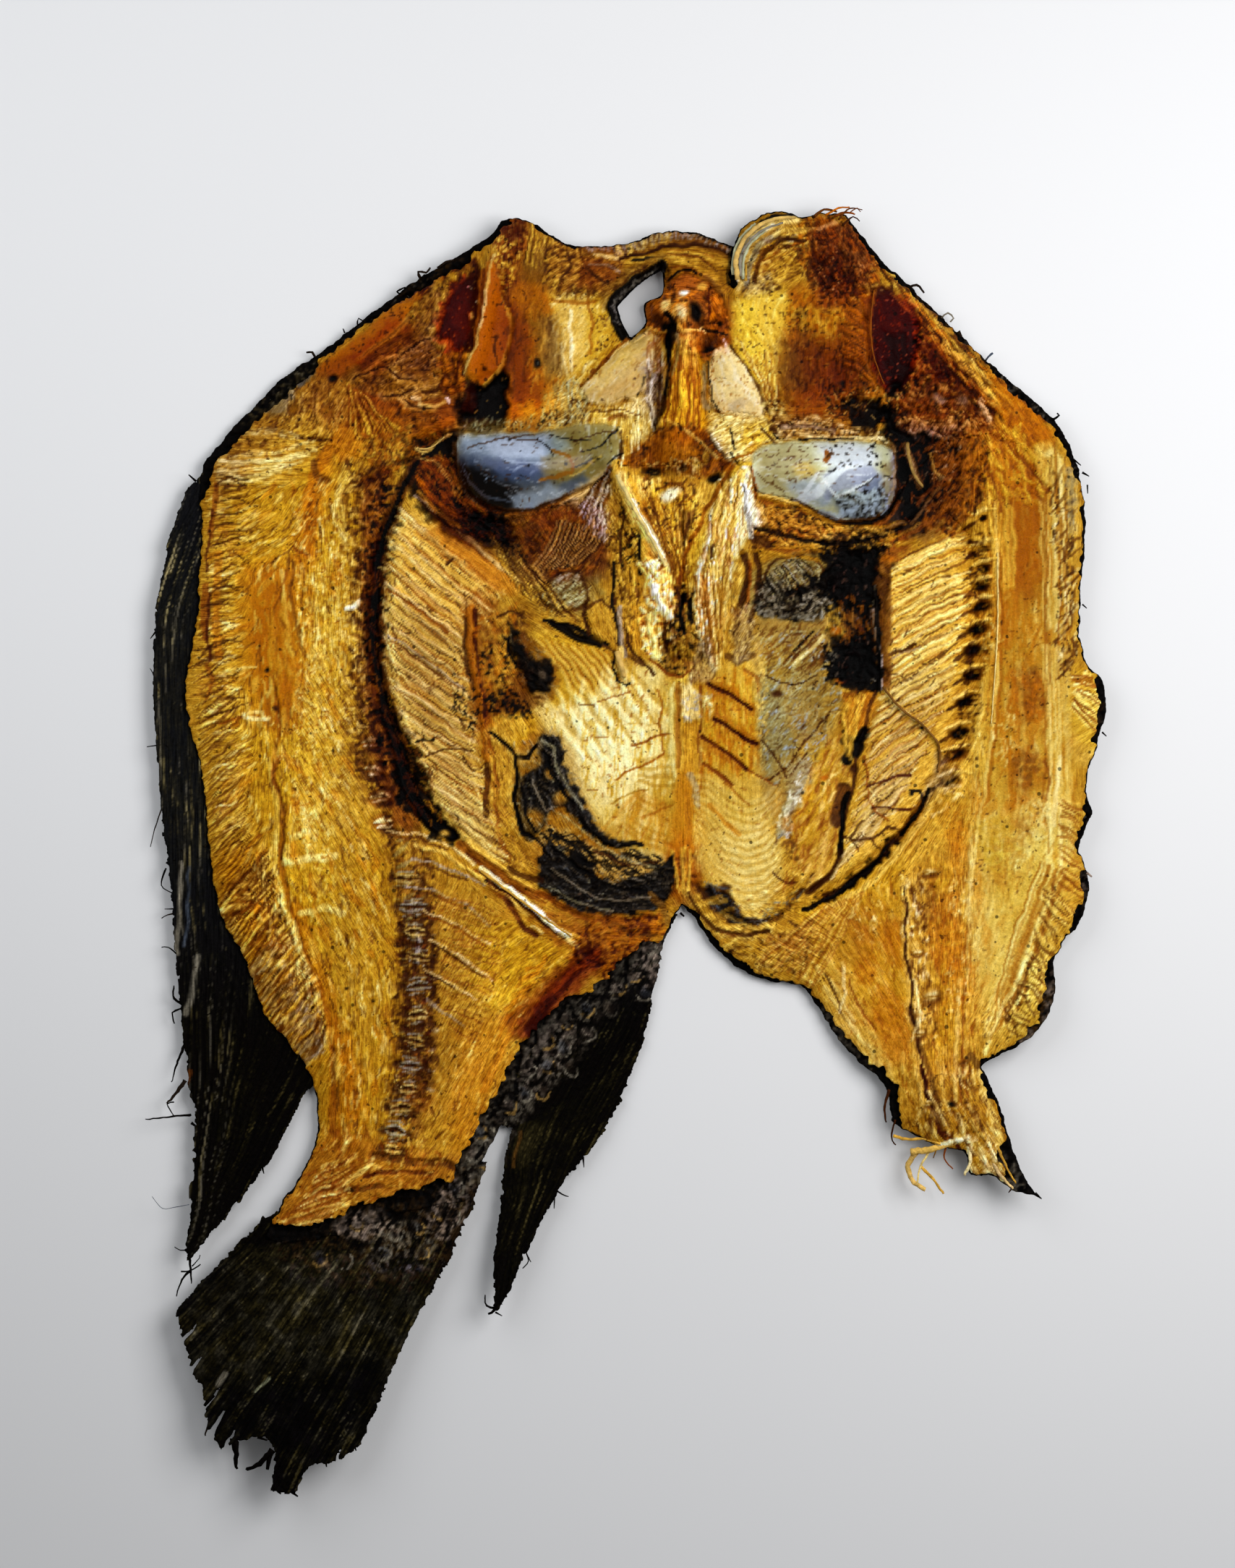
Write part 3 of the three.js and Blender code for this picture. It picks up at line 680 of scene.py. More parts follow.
# fibre directions: x, y, degrees from +X
comb = [
    (-97, 92, 8), (-88, 97, -10), (-80, 92, -4), (-98, 75, 4), (-98, 60, 4), (-98, 42, 10), (-97, 22, 16),
    (-95, 5, 26), (-92, -12, 38), (-86, -28, 50), (-80, -40, 56), (-74, -52, 68), (-86, 75, 30),
    (-84, 60, 80), (-78, 80, 62), (-76, 60, 98), (-68, 75, 100), (-66, 55, 96), (-84, 35, 92),
    (-76, 35, 112), (-68, 32, 118), (-84, 12, 84), (-74, 14, 118), (-66, 12, 124), (-82, -8, 100),
    (-74, -8, 108), (-66, -12, 118), (-60, -20, 112), (-74, -28, 110), (-66, -36, 100), (-58, -40, 98),
    (-66, -60, 88), (-58, -62, 80), (-70, -78, 45), (-60, -78, 35), (-46, -12, 70), (-38, -16, 62),
    (-42, -36, 62), (-34, -30, 50), (-40, -56, 66), (-46, -68, 60), (-28, -22, 40), (-18, -28, 40),
    (-22, -42, 50), (-10, -20, 20), (0, -18, 10), (-62, 64, 90), (-62, 44, 95), (-62, 24, 110),
    (-50, 72, -38), (-46, 58, -36), (-48, 44, -34), (-46, 30, -36), (-42, 16, -40), (-36, 4, -46),
    (-36, 72, -36), (-34, 54, -70), (-32, 36, -80), (-30, 16, -78), (-26, 2, -50), (-30, -8, -36),
    (-22, -14, -30), (-20, 42, -40), (-14, 28, -48), (-8, 16, -60), (-2, 30, 88), (4, 18, 88), (0, 6, 75),
    (8, 34, 90), (12.5, 20, 90), (12.5, 0, 90), (20, 30, 92), (26, 34, 90), (24, 12, 92), (22, 2, -50),
    (28, -6, -10), (36, -4, 42), (34, 50, 45), (42, 44, 45), (36, 30, 45), (36, 12, 62), (44, 14, 58),
    (42, 0, 50), (50, 30, 68), (68, 60, 22), (70, 44, 27), (66, 30, 35), (62, 14, 43), (54, 2, 45),
    (74, 66, 20), (86, 80, 92), (90, 60, 90), (94, 40, 92), (92, 16, 88), (86, 0, 82), (94, -10, 76),
    (90, -30, 66), (84, -36, 70), (78, -10, 84), (76, -30, 88), (72, -46, 100), (60, -20, 112),
    (56, -36, 122), (50, -24, 130), (40, -20, 155), (28, -20, 150), (20, -16, 130), (78, -62, 110),
    (86, -70, 120), (101, 70, 94), (102, 10, 92), (106, 34, 30), (104, -8, 28), (97, -28, 60),
    (93, -40, 55), (-64, 118, 38), (-52, 128, 50), (-54, 114, 24), (-46, 104, 10), (-58, 104, 60),
    (-74, 104, 60), (-84, 104, 45), (-62, 92, 60), (-40, 126, 76), (-32, 122, 80), (-28, 142, 80),
    (-22, 118, 84), (-22, 104, 20), (-12, 126, 52), (-8, 118, 50), (-10, 138, 20), (0, 140, 8),
    (14, 141, -6), (2, 112, 45), (0, 98, 84), (-8, 94, 80), (13, 108, 92), (12, 94, 80), (24, 110, 120),
    (24, 98, 20), (30, 122, 110), (34, 134, 40), (44, 120, 92), (48, 140, -50), (61, 122, 92),
    (72, 108, 50), (66, 130, -46), (78, 116, -50), (90, 102, -50), (-24, 92, 4), (-12, 90, 20),
    (46, 90, -6), (36, 88, 8), (-44, 84, -50), (-36, 76, -40), (-22, 76, -50), (-13, 71, 52), (-4, 80, -68),
    (3, 74, -62), (8, 60, 95), (22, 76, 74), (18, 56, 80), (26, 84, 70), (-16, 60, -20), (-2, 58, -80),
    (38, 62, 20), (44, 76, 10), (66, 82, 50), (70, 92, 60), (54, 55, 90),
]
fibreAngle = combField(comb) + 0.2 * noise(gridX / 3.5, gridY / 3.5, 68, 2)
print("fibres combed")


# the left back fillet: short bundles standing to its edge, the side line, the loin and the tail
fan(flesh, [(-101, 30), (-102, 46), (-100, 60), (-99, 78), (-96, 92)],
    [(-91, 36), (-92, 46), (-92, 62), (-90, 78), (-86, 92)],
    44, 0.42, 0.3, "straw", 0.6, 21, taper=0.5)
fan(flesh, [(-101, 30), (-102, 46), (-100, 60), (-99, 78), (-96, 92)],
    [(-93, 36), (-94, 46), (-94, 62), (-92, 78), (-88, 92)],
    40, 0.25, -0.35, "brown", 0.75, 22, taper=0.7)
fan(flesh, [(-96, -15), (-98.5, 0), (-100, 16), (-102, 32)], [(-86, -2), (-88, 8), (-90, 22), (-91, 38)],
    38, 0.5, 0.35, "straw", 0.6, 23, taper=0.4)
fan(flesh, [(-96, -15), (-98.5, 0), (-100, 16), (-102, 32)], [(-88, -4), (-89, 8), (-91, 22), (-92, 38)],
    38, 0.3, -0.4, "brown", 0.7, 24, taper=0.7)
fan(flesh, [(-76.5, -51.5), (-84, -41), (-91, -27), (-96.5, -12)],
    [(-70.5, -43), (-73, -30), (-80, -14), (-84, 2)],
    52, 0.5, 0.4, "sand", 0.8, 25, taper=0.3)
fan(flesh, [(-76.5, -51.5), (-84, -41), (-91, -27), (-96.5, -12)],
    [(-71, -42), (-74, -30), (-81, -14), (-85, 2)],
    56, 0.34, -0.5, "brown", 0.85, 26, taper=0.6)
fan(flesh, [(-76, -50), (-84, -39), (-90, -27)], [(-72, -46), (-78, -32), (-84, -20)], 26, 0.4, 0.2,
    "lilac", 0.6, 27)
strokes(flesh, [
    ([(-83, 38), (-82, 28), (-83.4, 20), (-81.6, 10), (-81.2, -4), (-77.4, -20), (-71.4, -35), (-69.4, -50),
      (-70, -62)],
     0.6, -0.5, "caramel", 0.55),
    ([(-84.6, 22), (-82.8, 10), (-82.6, -4), (-79, -19), (-73, -34)], 0.7, 0.4, "pale", 0.3),
    ([(-82, 22), (-83.6, 18), (-82, 14)], 0.6, -0.2, "rust", 0.7),
    ([(-82, 14), (-81, 6), (-81.4, -2)], 0.35, -0.2, "brown", 0.6),
    ([(-78, -12), (-76, -20), (-71, -32), (-69.5, -44)], 1.6, 0, "amber", 0.45),
    ([(-68, -40), (-66, -50), (-64.5, -62)], 1.8, 0, "amber", 0.4),
    ([(-70, -46), (-69, -60), (-70, -66)], 0.7, -0.2, "rust", 0.5),
    ([(-80.5, -2.6), (-75.5, -1.6), (-69, -1.2)], 1.0, 0.3, "cream", 0.75),
    ([(-77, -14.6), (-71.6, -13.4), (-67, -14.8)], 0.8, 0.3, "cream", 0.8),
    ([(-79, 3), (-75, 6), (-72, 11)], 0.7, 0.2, "cream", 0.5),
    ([(-90, 32), (-86.5, 32.5), (-84, 30)], 0.5, 0.2, "pale", 0.7),
    ([(-96, 30), (-90, 31.4), (-86, 31)], 0.35, -0.3, "rust", 0.8),
    ([(-70, 96), (-73, 90), (-75, 84), (-74.5, 76), (-76, 70)], 1.5, -0.1, "amber", 0.55),
    ([(-74, 91), (-73, 88), (-71, 87)], 0.9, -0.4, "brown", 0.7),
    ([(-79, 71.5), (-77.5, 70), (-75, 69.5)], 0.35, -0.2, "rust", 0.8),
    ([(-81.4, 66), (-81, 58), (-80.4, 50), (-79, 46)], 0.6, 0.2, "cream", 0.6),
    ([(-80, 66), (-82, 60), (-81.6, 54)], 0.3, -0.2, "rust", 0.6),
    ([(-86, 99.5), (-80, 98.2), (-75, 97), (-70, 96.4)], 0.5, -0.6, "umber", 0.85),
    ([(-92, 98.4), (-84, 98.8), (-78, 97.4)], 0.9, 0.3, "cream", 0.7),
    ([(-96, 86.4), (-91, 87.6), (-87, 88.6)], 0.6, 0.3, "cream", 0.6),
    ([(-95, 85.2), (-90, 86.2)], 0.3, -0.3, "umber", 0.8),
    ([(-74, 54), (-73, 44), (-74, 34)], 1.2, 0.1, "straw", 0.5),
    ([(-84, 56), (-84.5, 48), (-82, 40)], 3.0, 0, "amber", 0.5),
    ([(-84.4, 40), (-83, 34), (-82.4, 30)], 0.5, -0.2, "caramel", 0.6),
    ([(-66, 92), (-68, 84), (-67, 74)], 1.2, 0.2, "cream", 0.4),
])
fan(flesh, [(-96, 93), (-97, 89.5), (-96, 86)], [(-74, 96), (-75, 93), (-84, 88)], 13, 0.4, 0.3, "cream",
    0.8, 28, bow=-0.4)
fan(flesh, [(-84, 30), (-82, 38), (-78, 44)], [(-84, 52), (-84, 56), (-80, 56)], 9, 0.4, 0.15, "sand", 0.5,
    29)
fan(flesh, [(-85, 30), (-80, 28), (-76, 30)], [(-84.6, 42), (-80, 44), (-75, 44)], 9, 0.3, -0.2, "caramel",
    0.7, 30)
fan(flesh, [(-80, 8), (-74, 14), (-66, 22)], [(-80, -2), (-71, 2), (-60, 10)], 12, 0.6, 0.25, "straw", 0.6,
    31)
fan(flesh, [(-79, -6), (-72, -5), (-64, -4)], [(-77, -13), (-71, -12), (-64, -11)], 10, 0.6, 0.2, "gold",
    0.7, 32)
backFillet = [(-98, 90), (-80, 92), (-68, 86), (-66, 40), (-66, 10), (-56, -10), (-54, -60), (-66, -70),
              (-72, -48), (-86, -24), (-94, 0), (-100, 40)]
tailFillet = [(-46, -10), (-20, -20), (-14, -26), (-26, -42), (-36, -68), (-52, -72), (-46, -40)]
flecks(flesh, backFillet, 420, 4.2, 0.24, -0.25, "brown", 0.75, 1)
flecks(flesh, backFillet, 420, 4.5, 0.34, 0.22, "cream", 0.6, 2)
flecks(flesh, backFillet, 90, 6, 0.8, 0.1, "amber", 0.45, 3)
flecks(flesh, backFillet, 90, 5, 0.9, 0.15, "sand", 0.5, 4)
flecks(flesh, tailFillet, 130, 3, 0.24, -0.2, "brown", 0.7, 5)
flecks(flesh, tailFillet, 150, 3, 0.3, 0.2, "sand", 0.6, 6)
for at, reach, colour in [((-85.1, 42.6), 0.9, "char"), ((-87.8, 19.2), 0.5, "char"),
                          ((-83, 33.6), 0.9, "umber"), ((-78.3, 14.3), 0.6, "umber"),
                          ((-66.4, -32), 0.6, "char"), ((-60, -35.2), 0.5, "char"),
                          ((-57, -40.6), 0.45, "char"), ((-71, 9), 0.45, "umber")]:
    dome(flesh, at, (reach, reach), 0, -0.4, colour, 1)

# rust along the outer edge, and the smooth drop of fat in the middle
strokes(flesh, [
    ([(-97, 86), (-97.6, 80), (-98.4, 74)], 0.7, -0.3, "rust", 0.7),
    ([(-98, 80), (-99, 72), (-99.6, 66)], 0.4, -0.3, "blood", 0.6),
    ([(-99.6, 62), (-100, 56), (-99.4, 50)], 0.8, -0.3, "rust", 0.75),
    ([(-98.6, 60), (-99, 52), (-98.4, 45)], 0.45, -0.4, "blood", 0.7),
    ([(-99, 44), (-98, 40), (-99.4, 36)], 0.5, -0.3, "rust", 0.6),
    ([(-96, 70), (-97, 60), (-96.4, 46)], 0.9, -0.1, "orange", 0.5),
    ([(-90, 31.4), (-87, 30.8), (-84.6, 31.4)], 0.5, 0.4, "pale", 0.7),
    ([(-78.6, 68), (-79.4, 60), (-78, 52), (-76, 46)], 0.4, -0.4, "brown", 0.5),
])
patch(flesh, [(-87, 58), (-84, 63), (-80.6, 58), (-79.4, 50), (-78.4, 40), (-81, 35), (-84, 42), (-87, 50)],
      0.1, "amber", 0.55, 2.4, 1.2, gloss=0.7)
fan(flesh, [(-101, 30), (-102, 46), (-99, 66), (-97, 88)], [(-90, 34), (-91, 50), (-91, 68), (-89, 88)], 30,
    0.22, -0.45, "umber", 0.8, 45, jitter=1.6, bow=0.6, taper=0.5)
outline = [(-79, 82), (-67, 86), (-66, 60), (-67, 20), (-72, -8), (-80, 8), (-78, 40)]
flecks(flesh, outline, 360, 1.3, 0.42, 0.2, "cream", 0.5, 181, stray=1.5)
flecks(flesh, outline, 260, 1.1, 0.28, -0.25, "caramel", 0.6, 182, stray=1.5)

# the bone row down the middle of the left half, with dark crumbs round it
patch(flesh, [(-58, 6), (-48, 4), (-45.6, -14), (-45.6, -40), (-47, -60), (-52, -70), (-58, -68),
              (-55.6, -48), (-54.6, -20)],
      -0.2, "brown", 0.55, 1.6, 1.6, 0.5, seed=2)
patch(flesh, [(-54, -12), (-46.6, -13), (-45.6, -40), (-47, -58), (-54, -62), (-54, -38)], -0.4, "umber",
      0.85, 1.1, 1.6, 0.55, seed=3)
flecks(flesh, [(-57, 4), (-46, 4), (-44.6, -30), (-46, -62), (-56, -66), (-55, -20)], 170, 1.8, 0.4, -0.3,
       "umber", 0.85, 7, stray=1.2)
flecks(flesh, [(-55, -14), (-46, -14), (-46, -60), (-54, -60)], 46, 1.6, 0.5, -0.2, "blood", 0.8, 8,
       stray=1.5)
chips(flesh, [(-46.6, -17), (-45.8, -31), (-46, -46), (-47, -58)], 5.6, 1.8, 0.4, 0.5, "lilac", 0.5, seed=2)
chips(flesh, [(-49.4, -19.6), (-49.6, -27)], 2.0, 2.6, 0.6, 0.7, "ice", 0.6, turn=20, seed=3)
chips(flesh, [(-56, -71), (-60, -76)], 3.1, 3.2, 0.6, 0.5, "sand", 0.8, seed=4)
chips(flesh, [(-54.6, 4), (-52.4, -4), (-51, -16)], 2.6, 4, 0.5, 0.4, "sage", 0.7, turn=110, seed=5)
# each bone of the row: two pale arches one over the other, dark between them and at their ends
for k, (x, y) in enumerate([(-52.2, -6.3), (-50.9, -13.2), (-50.4, -18.9), (-49.6, -24.6), (-49.6, -31.5),
                            (-49.7, -38.4), (-50.4, -44.5),
                            (-51.3, -50.2), (-51.7, -55.8), (-53.5, -60.2), (-54.8, -65.4),
                            (-55.9, -69.7)]):
    wide, tilt = 2.75 - 0.07 * k + 0.3 * math.sin(2.1 * k), 0.25 * math.sin(1.7 * k) - 0.15
    dome(flesh, (x - wide - 0.8, y + 0.3), (1.3, 1.5), 0, -0.5, "umber", 0.9)
    dome(flesh, (x + wide + 0.9, y - 0.8), (1.2, 1.6), 0, -0.5, "umber", 0.9)
    stroke(flesh, [(x - wide, y - tilt), (x, y + 0.1), (x + wide, y + tilt)], 0.4, -0.7, "umber", 0.95,
           bend=False, taper=0.5)
    for lift in (0.78, -0.78):
        stroke(flesh, [(x - wide, y - tilt + 0.5 * lift), (x - 0.4 * wide, y - 0.4 * tilt + lift),
                       (x + 0.4 * wide, y + 0.4 * tilt + 1.1 * lift),
                       (x + 1.1 * wide, y + tilt + 0.6 * lift)],
               0.3 if lift > 0 else 0.38, 0.6, ("film", "grey", "bone")[k % 3], 0.8 + 0.08 * lift,
               bend=False, taper=0.5)
        stroke(flesh, [(x - 0.7 * wide, y - tilt + 2.2 * lift), (x + 0.8 * wide, y + tilt + 2.4 * lift)],
               0.26, 0.2, "grey", 0.7, taper=0.5)
    flecks(flesh, [(x - wide - 1, y - 2.4), (x - wide - 1, y + 2.4), (x + wide + 1, y + 2.4),
                   (x + wide + 1, y - 2.4)], 14, 2, 0.24, 0.2, "sage", 0.45, 240 + k, lean=4, stray=0.3)
    flecks(flesh, [(x - wide - 1, y - 3), (x - wide - 1, y - 1.6), (x + wide + 1, y - 1.6),
                   (x + wide + 1, y - 3)], 8, 2.2, 0.26, -0.4, "umber", 0.9, 260 + k, lean=4, stray=0.3)
    if k % 2:
        dome(flesh, (x + 1.4, y + 2.6), (0.9, 0.5), 20, 0.2, "rust", 0.8)
for at in [(-60.6, 25.4), (-60, 18.8), (-58.4, 12.6), (-57.4, 6.4)]:
    dome(flesh, at, (4.2, 3), 0, -0.3, "rust", 0.9)
    dome(flesh, (at[0] + 1, at[1] - 1.6), (3.4, 1.6), 0, -0.6, "umber", 1)
    stroke(flesh, [(at[0] - 2, at[1] + 0.4), (at[0] + 0.6, at[1] + 0.9), (at[0] + 2, at[1] + 0.3)], 0.7,
           0.8, "cream", 0.95, taper=0.5)
    stroke(flesh, [(at[0] - 1.8, at[1] - 0.9), (at[0] + 1.6, at[1] - 0.6)], 0.45, 0.5, "pink", 0.9,
           taper=0.5)

# spines under the loin and the long white bone
strokes(flesh, [
    ([(-57, 4.6), (-50, 4.2), (-42, 1.2), (-36, -3)], 0.32, 0.25, "pink", 0.75),
    ([(-56, 3.4), (-50, 3), (-43, 0.4)], 0.3, -0.4, "brown", 0.8),
    ([(-51, -1.6), (-45, -3), (-40, -5), (-34, -8)], 0.32, 0.25, "lilac", 0.75),
    ([(-50, -3), (-44, -4.4), (-38, -7)], 0.3, -0.3, "brown", 0.8),
    ([(-52, -8), (-45, -9.6), (-39, -12), (-33, -17)], 0.28, 0.2, "lilac", 0.7),
    ([(-51, -9.2), (-44, -10.8), (-38, -14)], 0.3, -0.3, "brown", 0.8),
    ([(-48, -14), (-41, -17), (-33, -22)], 0.28, 0.25, "pink", 0.8),
    ([(-47, -15.2), (-40, -18.4), (-34, -22.6)], 0.3, -0.4, "rust", 0.8),
    ([(-46.6, -21), (-40, -24.4), (-32.6, -29.8)], 0.34, 0.3, "pink", 0.85),
    ([(-46, -22.2), (-39, -26), (-34, -29.8)], 0.28, -0.4, "umber", 0.8),
    ([(-48, -27.6), (-42, -31), (-36, -35)], 0.3, 0.25, "pink", 0.8),
    ([(-47, -28.8), (-41, -32.2)], 0.28, -0.4, "umber", 0.8),
    ([(-47, -35), (-43, -38), (-39, -41)], 0.4, 0.3, "lilac", 0.6),
    ([(-50, 1.2), (-44, 0), (-38, -4), (-31, -9), (-24, -15)], 0.5, 0.5, "sand", 0.7),
    ([(-37, 1), (-31, -3), (-24, -8), (-16, -12.4), (-8, -15.4)], 0.7, 0.7, "straw", 0.7),
    ([(-38, -0.6), (-32, -5), (-26, -9.6)], 0.5, -0.6, "umber", 0.8),
    ([(-31, -8), (-28, -12.6), (-24.6, -18), (-22, -20)], 0.7, -0.4, "blood", 0.75),
    ([(-33, -7.4), (-30, -10.4)], 0.6, -0.3, "rust", 0.8),
    ([(-40, -3), (-35, -5.8), (-30, -9.4), (-23, -14), (-15, -18.6), (-12, -20.6)], 0.6, 0.5, "straw", 0.6),
    ([(-34.8, -5), (-28, -9.6), (-20, -16), (-14, -19.8)], 0.42, 0.6, "pale", 0.95),
    ([(-33.6, -6.6), (-27, -11.2), (-19, -17.6)], 0.4, -0.5, "blood", 0.8),
    ([(-36, -4.6), (-28, -8), (-20, -12.4)], 0.4, -0.4, "rust", 0.7),
    ([(-23, -17.6), (-20.4, -19.2)], 0.3, 0.3, "pale", 0.7),
    ([(-16, -19.4), (-12.6, -22), (-10.4, -26)], 0.7, 0.5, "cream", 0.7),
    ([(-40, 1.6), (-32, -4), (-25, -9), (-18, -11)], 1.1, -0.5, "rust", 0.7),
], bend=False)
first = [(-45, -10), (-44, -18), (-44, -30), (-42, -42)]
last = [(-32, -14), (-30, -22), (-32, -34), (-36, -46)]
fan(flesh, first, last, 24, 0.26, 0.12, "straw", 0.5, 33)
fan(flesh, first, last, 24, 0.18, -0.15, "rust", 0.55, 34)
fan(flesh, [(-24, -28), (-28, -36), (-31, -44)], [(-19, -25), (-24, -33), (-29, -41)], 9, 0.5, 0, "amber",
    0.5, 35)
strokes(flesh, [
    ([(-10, -24), (-13, -28), (-18, -33.6), (-23, -42)], 1.8, -0.8, "blood", 0.75),
    ([(-12, -26), (-19, -33), (-24, -38)], 1.2, -0.3, "caramel", 0.7),
    ([(-7, -23.4), (-13, -28), (-18, -33)], 0.6, 0.4, "orange", 0.6),
    ([(-26, -40), (-30, -47), (-34, -56)], 0.9, 0.2, "orange", 0.45),
    ([(-10, -16.4), (-9, -22)], 0.4, -0.2, "brown", 0.7),
    ([(-60, -71), (-52, -72.6), (-44, -73), (-40, -75)], 1.0, -0.5, "umber", 0.6),
    ([(-74, -80), (-66, -79), (-58, -78.6)], 0.7, -0.4, "umber", 0.7),
    ([(-78, -84), (-70, -80), (-64, -76), (-60, -72)], 0.6, 0.4, "cream", 0.6),
    ([(-82, -87), (-74, -86), (-66, -82.6)], 0.6, 0.3, "sand", 0.7),
    ([(-62, -76), (-54, -75), (-46, -75.6)], 0.5, -0.4, "blood", 0.7),
    ([(-72, -74), (-68, -72), (-66, -67)], 0.6, 0.2, "cream", 0.5),
])
first = [(-83, -89), (-78, -84), (-73, -76)]
last = [(-70, -86), (-66, -80), (-64, -70)]
fan(flesh, first, last, 14, 0.4, 0.3, "cream", 0.6, 36)
fan(flesh, first, last, 12, 0.35, -0.35, "rust", 0.8, 37)
outline = [(-72, -64), (-48, -68), (-40, -74), (-52, -80), (-70, -84), (-82, -88)]
flecks(flesh, outline, 110, 2.4, 0.4, -0.3, "rust", 0.7, 9, stray=0.5)
flecks(flesh, outline, 60, 2.2, 0.35, 0.2, "sand", 0.6, 10, stray=0.4)

# the dark groove beside the left ribs, and the crumbly dark meat along it
grooveLeft = [(-50, 91.5), (-53, 86), (-55, 81), (-57, 75), (-58.6, 70), (-59.6, 62), (-60, 48),
              (-58.6, 40), (-57, 33), (-55, 27),
              (-53, 20), (-51, 13), (-47, 7), (-42, 4)]
patch(flesh, [(-68, 92), (-56, 90), (-59, 74), (-60, 56), (-59, 38), (-54, 26), (-54, 10), (-62, 12),
              (-67, 26), (-65, 44), (-66, 66)],
      -0.2, "brown", 0.6, 2, 1.6, 0.6, seed=4)
flecks(flesh, [(-67, 92), (-55, 88), (-59, 70), (-60, 40), (-53, 24), (-56, 6), (-64, 20), (-66, 44),
               (-66, 70)], 300, 2.0, 0.5, -0.35, "umber", 0.85, 11, stray=1.2)
flecks(flesh, [(-68, 90), (-58, 86), (-61, 60), (-61, 30), (-66, 26), (-67, 60)], 110, 2.6, 0.4, 0.3,
       "sand", 0.7, 12, stray=0.8)
for points, half, depth, colour, amount in [
        (grooveLeft, 1.6, -0.9, "umber", 0.8), (grooveLeft[4:12], 2.4, -0.6, "umber", 0.75),
        (grooveLeft[:6], 0.6, -0.9, "char", 0.95),
        (grooveLeft[5:9], 1.1, -0.8, "char", 0.92), (grooveLeft[8:], 1.7, -1.0, "char", 0.92)]:
    stroke(flesh, points, half, depth, colour, amount)
flecks(flesh, [(-62, 84), (-52, 88), (-56, 66), (-57, 40), (-50, 22), (-42, 4), (-54, 8), (-60, 28),
               (-63, 50)], 260, 1.5, 0.5, -0.3, "char", 0.9, 180, stray=1.5)
patch(flesh, [(-55.5, 30), (-51, 27), (-46, 12), (-40, 3), (-45, 3), (-50, 7), (-54, 13)], -0.8, "char",
      0.92, 0.8, 1.3, seed=5)
outline = [(-62, 68), (-57, 70), (-57, 40), (-50, 26), (-44, 8), (-50, 6), (-57, 28), (-62, 44)]
flecks(flesh, outline, 110, 3, 0.35, 0.4, "brown", 0.9, 13, stray=0.5)
flecks(flesh, outline, 60, 2.4, 0.25, 0.3, "hay", 0.8, 14, stray=0.5)
dome(flesh, (-43.6, 4.2), (1.8, 1.3), 0, 0.8, "bone", 1)
chips(flesh, [(-52.8, 80), (-55.6, 72), (-57.4, 64)], 3.9, 2.8, 0.5, 0.6, "cream", 0.8, turn=75, seed=6)
chips(flesh, [(-62, 79), (-63.6, 70), (-64.4, 58)], 4.4, 3, 0.6, 0.6, "sand", 0.8, turn=70, seed=7)
stroke(flesh, [(-66, 57), (-64.4, 57.6), (-63.4, 58.4)], 0.8, 0.7, "pale", 0.95)

# left ribs under their thin skin
ribTop = [(-54.5, 82), (-56, 74), (-57.6, 66), (-58, 54), (-56.6, 42), (-53, 31), (-49, 22), (-45, 13),
          (-40, 6)]
ribFoot = [(-29, 61), (-36.5, 50), (-37, 40), (-36, 29), (-34, 18), (-31.5, 9), (-29.5, 2), (-28, -4)]
fan(flesh, ribTop, ribFoot, 46, 0.26, -0.25, "rust", 0.75, 41, jitter=0.7, bow=-0.25, taper=0.6, bend=False)
fan(flesh, ribTop, ribFoot, 36, 0.2, -0.3, "umber", 0.75, 42, jitter=1.0, bow=-0.25, taper=0.7)
fan(flesh, ribTop, ribFoot, 60, 0.42, 0.15, "cream", 0.4, 43, jitter=0.8, bow=-0.25, taper=0.5, bend=False)
fan(flesh, ribTop, ribFoot, 18, 0.45, 0.3, "pink", 0.5, 44, jitter=0.3, bow=-0.25, taper=0.4, bend=False)
flecks(flesh, ribTop + ribFoot[::-1], 160, 5, 0.22, 0.2, "cream", 0.5, 15, stray=0.1)
flecks(flesh, ribTop + ribFoot[::-1], 110, 3, 0.2, -0.3, "umber", 0.8, 16, stray=0.3)
patch(flesh, [(-44, 80), (-36, 74), (-28, 66), (-25, 62), (-31, 61), (-39, 67), (-47, 75)], 0, "orange",
      0.6, 1.6, 1)
